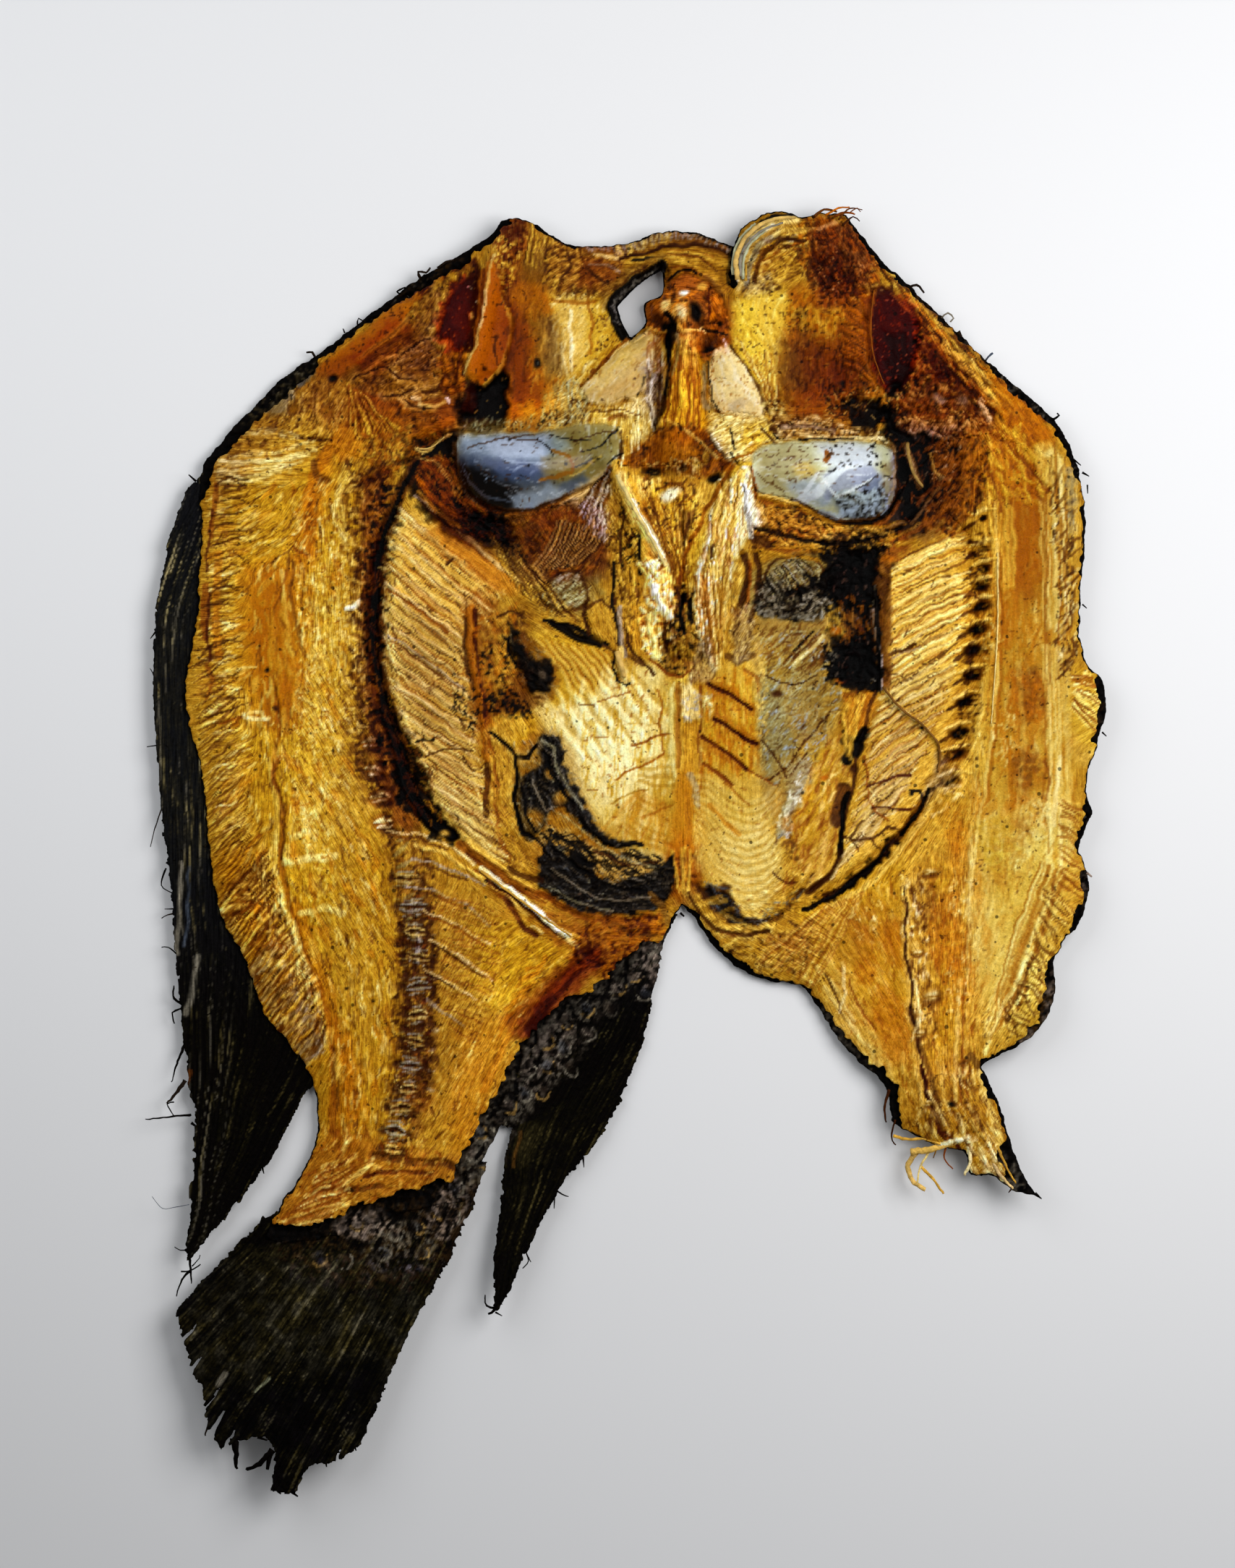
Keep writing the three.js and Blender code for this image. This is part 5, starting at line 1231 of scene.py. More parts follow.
strokes(flesh, [
    ([(61.4, 46), (64, 47), (67, 49)], 0.45, -0.4, "umber", 0.8),
    ([(62, 45), (65, 47), (68, 48)], 0.3, 0.4, "lilac", 0.6),
    ([(59.6, 38.6), (62, 35.4), (65, 32.4), (68, 30.4), (70, 28.6), (72, 26), (73, 22.6), (72.6, 18.6)],
     0.34, 0.4, "ochre", 0.8),
    ([(60, 38), (63, 34), (67, 30.8)], 0.22, 0.3, "cream", 0.8),
    ([(55.4, 22), (56, 17), (56.2, 12), (58, 9), (61, 7)], 0.28, 0.3, "rust", 0.85),
    ([(56, 15.4), (59, 16.6), (63, 17.4), (66, 18)], 0.3, 0.3, "blood", 0.8),
    ([(57, 10), (62, 10.4), (66, 9.6), (69, 11)], 0.3, 0.3, "blood", 0.85),
    ([(50.6, 3.4), (56, 3), (61, 5.6), (64.4, 5)], 0.35, 0.3, "umber", 0.85),
    ([(56.4, 3), (60, -0.4)], 0.28, 0.3, "umber", 0.8),
    ([(54, 0), (52, 3), (55, 7)], 0.25, -0.3, "umber", 0.7),
    ([(66, 14.4), (68.4, 14), (69, 12)], 0.45, 0.2, "char", 0.9),
])
for at, reach in [((68.6, 29), 0.8), ((66.4, 13.4), 0.7), ((60, 30), 0.35), ((64.6, 20), 0.35),
                  ((70, 40), 0.35), ((60.4, 22.6), 0.3), ((61.6, 10), 0.4)]:
    dome(flesh, at, (reach, reach), 0, 0.1, "char", 1)

# dark sockets of the backbone on the right, with pale spikes between them
sockets = [(83.4, 78), (83.6, 71), (83.4, 66), (83, 62), (82.6, 57.4), (82, 52), (81, 47), (80.8, 41.4),
           (79, 35), (77.6, 28), (77, 22.6), (75.6, 16.4)]
for k, at in enumerate(sockets):
    big = 0.5 + 0.55 * min(1, k / 4)
    dome(flesh, (at[0], at[1]), (3.4 * big, 2.2 * big), 12, -0.6, "rust", 0.9)
    dome(flesh, (at[0] - 0.2, at[1]), (3.0 * big, 1.7 * big), 14, -1.4, "char", 1)
    stroke(flesh, [(at[0] + 2.8, at[1] + 2.6), (at[0], at[1] + 2.2), (at[0] - 3.4, at[1] + 0.8)], 0.7, 1.2,
           "sand", 0.9, taper=0.8)
    stroke(flesh, [(at[0] - 2, at[1] - 0.6), (at[0] - 4.6, at[1] - 2.4)], 0.5, -0.4, "umber", 0.85,
           taper=0.6)
flecks(flesh, [(80, 74), (86, 76), (85, 50), (80, 24), (76, 12), (73, 14), (77, 30), (80, 50)], 130, 2.0,
       0.4, -0.3, "umber", 0.75, 49, lean=24, stray=0.6)
flecks(flesh, [(80, 74), (87, 76), (86, 50), (82, 24), (78, 12), (73, 14), (77, 30), (80, 50)], 110, 2.2,
       0.4, 0.35, "straw", 0.75, 50, lean=24, stray=0.6)
patch(flesh, [(72, 24), (75, 22), (74, 15), (70, 11), (68, 12), (71, 18)], -0.2, "lilac", 0.45, 1, 0.8)
flecks(flesh, [(70, 16), (76, 20), (79, 14), (72, 8), (67, 10)], 40, 2.4, 0.4, 0.2, "pink", 0.6, 51,
       lean=40, stray=0.6)
for points, half, depth, colour, amount in [
        ([(69.6, 12.4), (65, 5.6), (58.6, -1.4), (52, -7.4), (46, -10.6)], 0.9, -0.7, "umber", 0.7),
        ([(70.6, 14.6), (68, 9), (64, 4)], 0.5, -0.8, "char", 0.9),
        ([(61, 1.4), (58, -2), (52, -8), (46, -11.6), (41, -13.4)], 0.5, -1.0, "char", 0.95),
        ([(57, -3), (53, -7), (49.6, -9.6)], 0.7, -0.6, "char", 0.9)]:
    stroke(flesh, points, half, depth, colour, amount)
strokes(flesh, [([(73, 14), (67.6, 5.6), (61, -3), (54, -9.4), (46, -13.4)], 0.8, 0.5, "sand", 0.7),
                ([(68, 11), (62, 3.4), (56, -3), (50, -8)], 0.35, 0.5, "hay", 0.5)])

# right back fillet, its deep amber strip and its side line
backRight = [(84, 96), (104, 84), (104, 20), (105, -10), (92, -30), (84, -46), (80, -20), (80, 10),
             (86, 50)]
loinRight = [(46, -16), (62, -6), (66, -40), (72, -60), (62, -58), (50, -40), (40, -28)]
flecks(flesh, backRight, 210, 4.5, 0.28, -0.08, "caramel", 0.4, 52)
flecks(flesh, backRight, 260, 5.5, 0.45, 0.08, "cream", 0.4, 53)
flecks(flesh, backRight, 110, 7, 1.0, 0, "orange", 0.3, 54)
flecks(flesh, backRight, 150, 1.0, 0.25, -0.2, "umber", 0.7, 55, stray=1.5)
flecks(flesh, loinRight, 130, 4, 0.28, -0.2, "caramel", 0.6, 56)
flecks(flesh, loinRight, 130, 4, 0.4, 0.2, "sand", 0.55, 57)
outline = [(68, -6), (80, -4), (82, -46), (74, -60), (70, -40)]
flecks(flesh, outline, 110, 5, 0.4, 0.15, "sand", 0.5, 58)
flecks(flesh, outline, 110, 4, 0.4, -0.15, "caramel", 0.6, 59)
patch(flesh, [(86, 96), (91, 96), (90, 82), (87, 80), (83, 88)], -0.2, "amber", 0.7, 1.4, 0.8, gloss=0.55)
patch(flesh, [(88, 84), (96, 86), (97.4, 72), (96.6, 60), (94, 58), (89, 66), (88.4, 76)], -0.4, "caramel",
      0.5, 2.2, 0.6, gloss=0.6)
patch(flesh, [(89.6, 41), (95.6, 40), (96, 33), (93, 30.6), (89.8, 34)], 0.2, "orange", 0.75, 1.2, 1.2, 0.3)
patch(flesh, [(90, 23), (93, 24.6), (96, 23), (93.6, 15), (91, 11), (89.8, 16)], 0.1, "rust", 0.55, 1.2,
      1.2, 0.4)
patch(flesh, [(91, 8), (95, 8), (94, 1), (91, 2)], 0, "rust", 0.35, 1.2, 1.2, 0.5)
patch(flesh, [(70, -14), (77, -10), (79, -26), (76, -29), (71, -24)], 0, "orange", 0.55, 1.6, 1.2, 0.3)
patch(flesh, [(59, -18), (64, -16), (64.4, -28), (60, -24)], 0, "amber", 0.5, 1.6, 1)
patch(flesh, [(58, -32), (64, -34), (66, -46), (62, -50), (57, -40)], 0, "amber", 0.45, 1.6, 1)
patch(flesh, [(52, -18), (56, -18), (58, -30), (54, -30)], 0, "amber", 0.4, 1.6, 1)
patch(flesh, [(75, 4), (79, 6), (79, -8), (76, -8)], 0, "amber", 0.4, 1.6, 1)
for outline, colour, amount, seed in [
        ([(91, 40), (96, 41), (98, 34), (95, 29), (90, 32)], "orange", 0.5, 1),
        ([(89, 24), (94, 25), (98, 20), (96, 13), (90, 12)], "orange", 0.5, 2),
        ([(90, 52), (96, 56), (98, 48), (93, 44), (88, 46)], "amber", 0.3, 3),
        ([(82, 6), (88, 8), (90, 0), (86, -6), (82, -2)], "gold", 0.5, 4),
        ([(88, -4), (96, -2), (97, -14), (90, -18), (86, -12)], "straw", 0.5, 5),
        ([(96, 78), (102, 80), (103, 62), (99, 52), (96, 60)], "straw", 0.45, 6),
        ([(84, -12), (90, -10), (90, -26), (85, -32), (82, -22)], "sand", 0.4, 7),
        ([(99, 36), (104, 38), (104, 14), (100, 8), (98, 20)], "straw", 0.4, 8),
        ([(72, -34), (78, -32), (79, -48), (74, -54)], "gold", 0.4, 9)]:
    patch(flesh, outline, 0, colour, amount, 2.6, 2.4, 0.5, seed=seed)
fan(flesh, [(83, 94), (85, 97), (90, 99)], [(86, 64), (88, 62), (91, 62)], 10, 0.5, 0.35, "straw", 0.7, 66)
fan(flesh, [(96, 97), (99, 96), (102, 90)], [(98, 52), (101, 52), (104, 54)], 12, 0.5, 0.3, "cream", 0.5,
    67)
fan(flesh, [(96, 97), (99, 96), (102, 90)], [(98, 40), (101, 40), (104, 44)], 8, 0.26, -0.25, "caramel",
    0.55, 68, jitter=1.4)
fan(flesh, [(97, 48), (100, 48), (103, 48)], [(98, -4), (101, -4), (104, 2)], 10, 0.4, 0.18, "cream", 0.45,
    69)
fan(flesh, [(83, 40), (85, 40)], [(80.4, -20), (82.4, -20)], 2, 0.3, 0.1, "cream", 0.35, 70, bow=-0.2)
fan(flesh, [(97, -2), (100, -4), (103, -6)], [(84, -44), (88, -40), (92, -36)], 8, 0.45, 0.2, "cream", 0.5,
    71, bow=-0.4)
fan(flesh, [(97, -2), (100, -4), (103, -6)], [(85, -44), (88, -40), (92, -36)], 8, 0.35, -0.3, "caramel",
    0.6, 72, bow=-0.4)
strokes(flesh, [
    ([(84.6, 98), (85.6, 84), (86.4, 70), (86.6, 52), (85.4, 30), (83, 12), (81, -2), (80, -16)], 0.4, 0.2,
     "cream", 0.4),
    ([(87, 70), (87.4, 52), (86.4, 32), (84, 12)], 0.4, -0.3, "caramel", 0.5),
    ([(80.4, 4), (80, -8), (79.6, -20), (79.4, -30)], 0.4, 0.3, "cream", 0.4),
    ([(77.4, -30), (76.8, -45), (76.4, -60)], 0.5, 0.3, "cream", 0.45),
    ([(78.6, -30), (78, -46), (77.6, -60)], 0.3, -0.3, "rust", 0.6),
    ([(91, 44), (92, 36), (92.4, 22), (90.6, 8)], 0.6, 0.1, "sand", 0.5),
    ([(96.4, 40), (97.4, 26), (96.8, 12), (98.6, 0)], 0.3, -0.2, "caramel", 0.5),
    ([(97.8, 38), (98.8, 24), (98, 8), (99.6, -4)], 0.3, 0.1, "cream", 0.35),
    ([(101, 22), (100, 14), (99.4, 6)], 0.6, 0.3, "pale", 0.6),
    ([(99.6, -6), (98, -16), (94, -26), (88, -38)], 0.4, -0.3, "rust", 0.55),
    ([(88, 8), (89, -4), (90, -14)], 0.4, 0.2, "straw", 0.5),
    ([(97, 21), (98, 17), (97.4, 12)], 0.4, -0.2, "rust", 0.6),
    ([(86.6, 36), (89, 20), (90, 10)], 0.8, 0, "amber", 0.35),
])
# the bump and flaps along the right edge
first = [(104, 41), (104.6, 37), (104, 33)]
last = [(108, 42), (110.6, 36), (109.6, 27)]
fan(flesh, first, last, 11, 0.45, 0.45, "pale", 0.7, 73)
fan(flesh, first, last, 10, 0.3, -0.45, "rust", 0.8, 74)
fan(flesh, [(102, 12), (102, 4), (102, -6)], [(106.4, 10), (105, 2), (106.6, -8)], 12, 0.45, 0.35, "sand",
    0.6, 75)
fan(flesh, [(101, 12), (101, 4), (101, -8)], [(106.4, 10), (105, 2), (106.6, -12)], 14, 0.3, -0.4, "rust",
    0.7, 76)
first = [(98, -8), (95, -20), (91, -30), (87, -40)]
last = [(104.6, -15), (99.6, -23), (97, -34), (90.6, -44)]
fan(flesh, first, last, 22, 0.42, 0.25, "sand", 0.6, 77, jitter=1.2)
fan(flesh, first, last, 24, 0.26, -0.4, "brown", 0.7, 78, jitter=1.2)
flecks(flesh, [(88, -38), (96, -24), (99, -30), (94, -42), (86, -47)], 24, 1.6, 0.3, -0.3, "umber", 0.7, 60,
       stray=1.2)
strokes(flesh, [([(94, -24), (90, -32), (86, -40), (83.4, -47)], 0.5, 0.3, "cream", 0.55),
                ([(95.6, -24), (91.6, -32), (88, -40)], 0.3, -0.4, "brown", 0.6)])

# the stub of the backbone and the torn tail end
patch(flesh, [(63.6, -6), (70, -5), (70.4, -20), (72, -36), (71, -44), (66.4, -42), (65, -28)], 0.2, "sand",
      0.55, 1.4, 1.0)
outline = [(63.6, -4), (70, -5), (71, -30), (72, -46), (67, -46), (64, -20)]
flecks(flesh, outline, 90, 2.6, 0.35, -0.3, "brown", 0.75, 61, lean=88, stray=0.4)
flecks(flesh, outline, 60, 2.4, 0.35, 0.35, "pale", 0.6, 62, lean=88, stray=0.5)
for at, reach, turn in [((70.6, -4.4), (3, 1.5), 10), ((67, -22), (2.4, 2), 30),
                        ((71, -33), (3.6, 2.4), 20), ((67.6, -41), (2.4, 1.6), 0),
                        ((69, -44.6), (2, 1.2), 0)]:
    dome(flesh, (at[0], at[1] - 0.6), (reach[0] * 1.4, reach[1] * 1.5), turn, -0.2, "hay", 0.8)
    dome(flesh, at, (reach[0] * 0.7, reach[1] * 0.7), turn, 0.6, "sand", 0.6)
crack(flesh, [(64.6, -8), (65, -16), (64.8, -24), (66, -30), (66.2, -38), (68, -46), (68.6, -52),
              (70, -58)], 0.36, 0.5, "umber", 0.9)
strokes(flesh, [
    ([(66, -37), (67.6, -44), (70, -51), (72.4, -60), (73, -66)], 0.8, -0.4, "umber", 0.5),
    ([(68, -50), (70.4, -58), (72.6, -66), (74.6, -68.4)], 0.5, -0.7, "blood", 0.85),
    ([(66.6, -30), (68, -37), (66, -44)], 0.4, 0.4, "cream", 0.7),
    ([(68, -54), (68.6, -60), (67, -64)], 0.5, 0.4, "sand", 0.7),
    ([(71.6, -56), (70.4, -62), (71, -66)], 0.3, -0.4, "umber", 0.7),
    ([(61, -55), (60.8, -60), (61.8, -64)], 0.7, -0.4, "umber", 0.9),
    ([(60.4, -53), (56, -49), (52, -45)], 0.7, 0.3, "sand", 0.6),
    ([(46, -32), (50, -38), (56, -46), (60, -54)], 0.6, 0.25, "cream", 0.55),
    ([(44, -27), (49, -33), (53, -40)], 0.4, 0.25, "cream", 0.5),
    ([(50, -26), (50.6, -33), (49.6, -38)], 0.4, 0.4, "pale", 0.6),
    ([(52, -30), (54, -36), (58, -42)], 0.3, -0.4, "rust", 0.7),
    ([(46, -29), (49, -35), (50, -38)], 0.3, -0.4, "umber", 0.7),
    ([(82, -50.6), (80.4, -48), (78, -50)], 0.8, 0.3, "umber", 0.6),
    ([(82.4, -52), (84, -58), (86, -64), (86.6, -70)], 1.0, 0.3, "cream", 0.6),
    ([(80, -50), (79, -56), (81, -64)], 0.3, -0.3, "rust", 0.6),
    ([(76, -68), (79, -67), (80, -72), (79.6, -76)], 0.7, 0.6, "pale", 0.85),
    ([(74, -66), (77, -68.6), (79, -73)], 0.6, -0.8, "blood", 0.85),
    ([(72, -69.4), (76.4, -67.8), (79.4, -66.6)], 0.6, 0.7, "pale", 0.9),
    ([(82, -70), (85, -76), (88, -78)], 0.6, 0.4, "pale", 0.7),
    ([(84, -68), (87, -74), (88.4, -77)], 0.4, 0.3, "cream", 0.7),
])
dome(flesh, (75.6, -59.2), (1.5, 1.1), 0, -0.5, "char", 1)
dome(flesh, (79, -59), (0.8, 0.5), 0, -0.3, "umber", 1)
outline = [(62, -62), (80, -50), (88, -66), (87, -77), (80, -75), (78, -68), (70, -67)]
flecks(flesh, outline, 90, 3.2, 0.32, -0.3, "brown", 0.75, 63)
flecks(flesh, outline, 80, 3.2, 0.4, 0.3, "cream", 0.6, 64)
flecks(flesh, [(80, -66), (87, -66), (88, -77), (80, -76)], 40, 2.8, 0.4, 0.35, "pink", 0.7, 65, lean=-58)
# the rough meat under the belly on the right, down to the edge
outline = [(28, -18), (44, -16), (46, -24), (40, -29), (30, -28), (22, -22)]
flecks(flesh, outline, 90, 2.6, 0.4, -0.35, "umber", 0.7, 66, lean=150, stray=0.5)
flecks(flesh, outline, 70, 2.6, 0.4, 0.3, "sand", 0.6, 67, lean=150, stray=0.5)
patch(flesh, [(32, -19.6), (38, -19), (41, -21), (38, -23.6), (34, -22.6)], -0.3, "brown", 0.7, 0.8, 1.2,
      0.6)
patch(flesh, [(46, -16), (54, -14), (56, -24), (50, -27), (44, -22)], 0, "ochre", 0.5, 1.4, 0.8)
fan(flesh, [(14, -13), (18, -19), (24, -24)], [(22, -10), (28, -18), (36, -17)], 9, 0.5, 0.4, "straw", 0.6,
    79, bow=1)
first = [(44, -14), (50, -12), (56, -9)]
last = [(30, -26), (38, -29), (44, -32)]
fan(flesh, first, last, 16, 0.36, 0.15, "sand", 0.5, 80)
fan(flesh, first, last, 14, 0.24, -0.15, "rust", 0.55, 81)
crack(flesh, [(14, -10), (17, -15), (22, -19), (28, -19.6), (33, -18.6)], 0.6, 0.4, "umber", 0.8)
# folds, dark crumbs and brown stains on the right back, and the clean bones of its tail
rimFold = [(97, 93), (104, 84), (105.6, 60), (105, 42), (100, 42), (99.6, 70)]
fan(flesh, [(99.6, 92), (103.6, 80), (105, 60), (104.6, 44)],
    [(96.4, 86), (100.4, 74), (101, 54), (101, 40)], 20, 0.3, -0.5, "brown", 0.75, 190, jitter=1.6, bow=0.4)
flecks(flesh, rimFold, 90, 1.8, 0.3, -0.35, "umber", 0.8, 191, lean=80, stray=0.5)
flecks(flesh, rimFold, 60, 2.4, 0.3, 0.3, "pale", 0.6, 192, lean=80, stray=0.3)
for points, colour, amount in [([(91, 43), (96, 44), (97, 34), (92, 31)], "brown", 0.4),
                               ([(91, 23.6), (95.6, 23), (95.4, 15), (91, 16)], "brown", 0.5),
                               ([(67, -8), (73, -9), (73, -17), (68, -16)], "brown", 0.35),
                               ([(84, 66), (90, 62), (90, 50), (85, 50)], "orange", 0.3),
                               ([(86, 4), (92, 2), (90, -8), (85, -6)], "caramel", 0.4),
                               ([(74, 12), (80, 10), (79, 0), (74, 2)], "amber", 0.35)]:
    patch(flesh, points, 0, colour, amount, 2.2, 1.4, 0.6, seed=7)
flecks(flesh, [(80, 60), (98, 60), (98, 0), (82, -6)], 70, 0.7, 0.24, -0.2, "umber", 0.9, 193, stray=1.5)
for x, y, wide, tall in [(70.3, -4.9, 2.4, 1.0), (67.4, -23.3, 1.6, 0.9), (71, -34, 2.8, 1.8),
                         (68, -42.6, 1.9, 1.2), (70.2, -58.8, 1.3, 1.0)]:
    dome(flesh, (x + 0.2, y - 0.5), (wide + 0.6, tall + 0.6), 8, -0.5, "brown", 0.75)
    dome(flesh, (x, y), (wide, tall), 8, 0.7, "cream", 0.9)
    stroke(flesh, [(x - 0.7 * wide, y - 0.1 * tall), (x + 0.6 * wide, y - 0.2 * tall)], 0.22, -0.3, "hay",
           0.8, bend=False)
for k, (points, colour) in enumerate([([(84, 30), (90, 33), (92, 24), (87, 20)], "amber"),
                                      ([(82, 54), (87, 56), (88, 46), (83, 45)], "orange"),
                                      ([(94, 14), (99, 12), (98, 2), (94, 4)], "cream"),
                                      ([(76, -2), (82, -6), (80, -18), (75, -14)], "straw"),
                                      ([(74, -26), (80, -24), (80, -36), (75, -38)], "amber"),
                                      ([(52, -12), (59, -12), (58, -22), (52, -20)], "caramel")]):
    patch(flesh, points, 0.1, colour, 0.4, 2, 2.4, 0.5, seed=20 + k)
    flecks(flesh, points, 26, 2.2, 0.3, 0.25, "cream", 0.5, 226 + k, stray=0.8)


# head, left side: the shoulder, the amber band under the rim and the rough olive hollow
shoulder = [(-98, 92), (-80, 108), (-70, 112), (-64, 108), (-56, 98), (-54, 90), (-70, 94)]
grain(shoulder, 230, 2.6, 0.34, "brown", "straw", 1, stray=0.7)
grain([(-64, 108), (-50, 106), (-42, 100), (-48, 94), (-56, 88), (-62, 92)], 260, 1.9, 0.36, "umber",
      "caramel", 2, stray=1)
patch(flesh, [(-66, 109), (-60, 107), (-54, 101), (-57, 97), (-63, 99)], 0.2, "orange", 0.7, 1.2, 0.8)
patch(flesh, [(-70, 99), (-64, 101), (-63, 93), (-69, 92)], 0.1, "amber", 0.6, 1.4, 1)
strands([(-66, 109.6), (-64, 109), (-62, 107)], [(-66, 100), (-60, 98), (-54, 99)], 15, 0.32, "sun", "rust",
        1)
strands([(-80, 107), (-73, 108), (-67, 106)], [(-82, 100), (-75, 99), (-68, 99)], 12, 0.22, "sand", "umber",
        2, bow=0.6, amount=0.45)
for at, reach in [((-70.8, 103.4), (1.7, 1.5)), ((-78.6, 104), (1.7, 1.4)), ((-69.4, 111.2), (1.6, 1.2)),
                  ((-77.4, 101.4), (0.5, 0.4))]:
    dome(flesh, at, (reach[0] * 1.3, reach[1] * 1.3), 20, 0.3, "brown", 0.9)
    dome(flesh, at, reach, 20, -0.9, "hay" if reach[0] > 1.6 else "char", 1, gloss=0.7)
patch(flesh, [(-79, 110), (-75, 116.6), (-73.4, 115), (-74, 111.6), (-78, 108.6)], 0.4, "slate", 0.75, 0.6,
      0.7, gloss=0.5)
patch(flesh, [(-86, 103), (-80, 109.6), (-78, 108.4), (-82, 102)], 0.3, "grey", 0.6, 0.8, 0.8, gloss=0.5)
band = [(-73.6, 113), (-70, 116.4), (-62, 122.4), (-54, 129), (-50.4, 129.4), (-52, 124.4), (-57, 119.6),
        (-64, 114.6), (-68, 112)]
patch(flesh, band, 0.5, "amber", 0.95, 0.9, 0.3, gloss=0.85)
patch(flesh, [(-66, 117.4), (-56, 126), (-52, 127), (-53, 123.6), (-60, 118.4), (-65, 115)], 0.3, "orange",
      0.6, 1.6, 0.4, gloss=0.9)
patch(flesh, [(-53, 129), (-44, 136.4), (-40, 137.4), (-46, 130), (-50.6, 127.6)], 0.3, "caramel", 0.8, 1,
      0.7, gloss=0.6)
flecks(flesh, band, 60, 0.8, 0.22, -0.15, "umber", 0.8, 101, stray=1.5)
flecks(flesh, [(-53, 129), (-42, 138), (-38, 138), (-46, 129)], 60, 2.4, 0.4, -0.3, "blood", 0.8, 102,
       lean=50)
lens = [(-65, 109.4), (-60, 114.6), (-53, 119.4), (-46, 121), (-43.4, 114), (-43.6, 107), (-50, 106),
        (-58, 107)]
patch(flesh, lens, -0.5, "olive", 0.75, 1, 0.8)
grain(lens, 300, 1.4, 0.34, "umber", "hay", 3, stray=1.3, rise=0.3, amount=0.8)
flecks(flesh, lens, 90, 1.6, 0.3, 0.3, "sand", 0.6, 103, stray=1)
for points, half in [([(-65, 110.6), (-61, 113), (-57, 113.6), (-54, 111), (-50, 110.4)], 0.55),
                     ([(-58, 106.6), (-54, 107), (-50.6, 108.6)], 0.6),
                     ([(-55, 114), (-51, 118.4), (-46, 120.4)], 0.5),
                     ([(-49, 108), (-45, 108.4), (-43, 111), (-43.4, 116)], 0.9),
                     ([(-62, 116.6), (-55, 121.4), (-50.6, 126)], 0.45),
                     ([(-53, 106), (-50.6, 104.4), (-46, 104)], 0.6)]:
    crack(flesh, points, half * 0.6, 0.4, "umber", 0.8, "sand", 0.4)
strokes(flesh, [
    ([(-64, 115.6), (-58, 119), (-54, 122), (-51, 126)], 0.5, 0.4, "straw", 0.6),
    ([(-62, 113), (-58, 115.6), (-54, 116)], 0.5, 0.5, "sand", 0.7),
    ([(-54.4, 106.4), (-52.4, 105), (-52.6, 104)], 0.4, 0.3, "sand", 0.5),
    ([(-51, 106.6), (-49.4, 106.4), (-49, 104.6)], 0.5, 0.5, "cream", 0.8),
    ([(-48.6, 105), (-45.6, 104.4), (-43, 105.6)], 0.45, 0.5, "sand", 0.8),
    ([(-42.6, 106.4), (-42.2, 105.4)], 0.4, 0.5, "white", 0.9),
    ([(-45.6, 131.6), (-44, 129), (-44.6, 124.6), (-47, 122)], 1.3, 0.4, "straw", 0.75),
    ([(-49, 127), (-46, 131), (-41.6, 134.6)], 0.7, 0.3, "hay", 0.8),
])
grain([(-52, 126), (-46, 133), (-38, 138), (-36, 137), (-42, 130), (-45, 122), (-50, 121)], 170, 1.7, 0.36,
      "umber", "hay", 4, stray=0.8, amount=0.6)
strands([(-44, 121), (-41, 121.6), (-38, 117)], [(-43, 108), (-40, 108), (-38.6, 110)], 16, 0.45, "caramel",
        "umber", 3)
grain([(-45, 121), (-38, 118), (-38, 108), (-44, 107)], 90, 1.6, 0.36, "blood", "orange", 5, stray=0.7)
dome(flesh, (-43.4, 118.4), (3, 2), 10, 0.5, "ochre", 0.8)
dome(flesh, (-42.6, 113.4), (2.6, 2.4), 0, 0.5, "orange", 0.7)
hollow = [(-44, 122), (-43.4, 127), (-40.6, 131.6), (-37.4, 135), (-35.4, 134.6), (-35.4, 128), (-36, 122),
          (-37.6, 117.4), (-40.4, 118)]
patch(flesh, hollow, -0.8, "blood", 0.97, 0.7, 0.5, gloss=0.7)
patch(flesh, [(-41, 124), (-39, 131), (-36.4, 132), (-36.6, 124), (-38, 120)], -0.3, "rust", 0.3, 1.2, 0.8,
      gloss=0.7)
flecks(flesh, hollow, 24, 0.7, 0.15, 0.2, "straw", 0.6, 104, stray=1.5)
patch(flesh, [(-38.2, 126.6), (-37.2, 126.8), (-36.4, 125.2), (-37.6, 124.8)], 0.8, "sand", 0.95, 0.3, 0.2)
strokes(flesh, [
    ([(-35.6, 128.8), (-34.8, 128.2)], 0.25, 0.3, "white", 0.9),
    ([(-37.4, 132.6), (-36.8, 132.2)], 0.22, 0.3, "white", 0.8),
    ([(-34.6, 136), (-35, 131), (-35.6, 124), (-36.4, 118)], 0.3, 0.5, "caramel", 0.9),
    ([(-34, 136), (-34.4, 130), (-35, 123)], 0.5, -0.6, "rust", 0.85),
])
# the blade beside it, the capped peak and the amber panel
blade = [(-33.4, 138), (-30.6, 138), (-29.6, 131), (-28.4, 126), (-27.4, 122.5), (-28, 119.6), (-29.6, 114),
         (-32, 111), (-34.6, 108.6),
         (-37, 110), (-37.6, 114), (-35.6, 118.4), (-34.2, 125), (-33.4, 131)]
patch(flesh, blade, 0.9, "orange", 0.97, 0.5, 0.25, gloss=0.85)
patch(flesh, [(-32, 132), (-30, 130), (-29.6, 122), (-31, 114), (-34, 112), (-33, 124)], 0.2, "amber", 0.7,
      1.2, 0.4, gloss=0.85)
flecks(flesh, blade, 34, 0.8, 0.22, -0.2, "umber", 0.85, 105, stray=1.5)
dome(flesh, (-33.8, 113.4), (0.9, 0.7), 0, -0.3, "umber", 1)
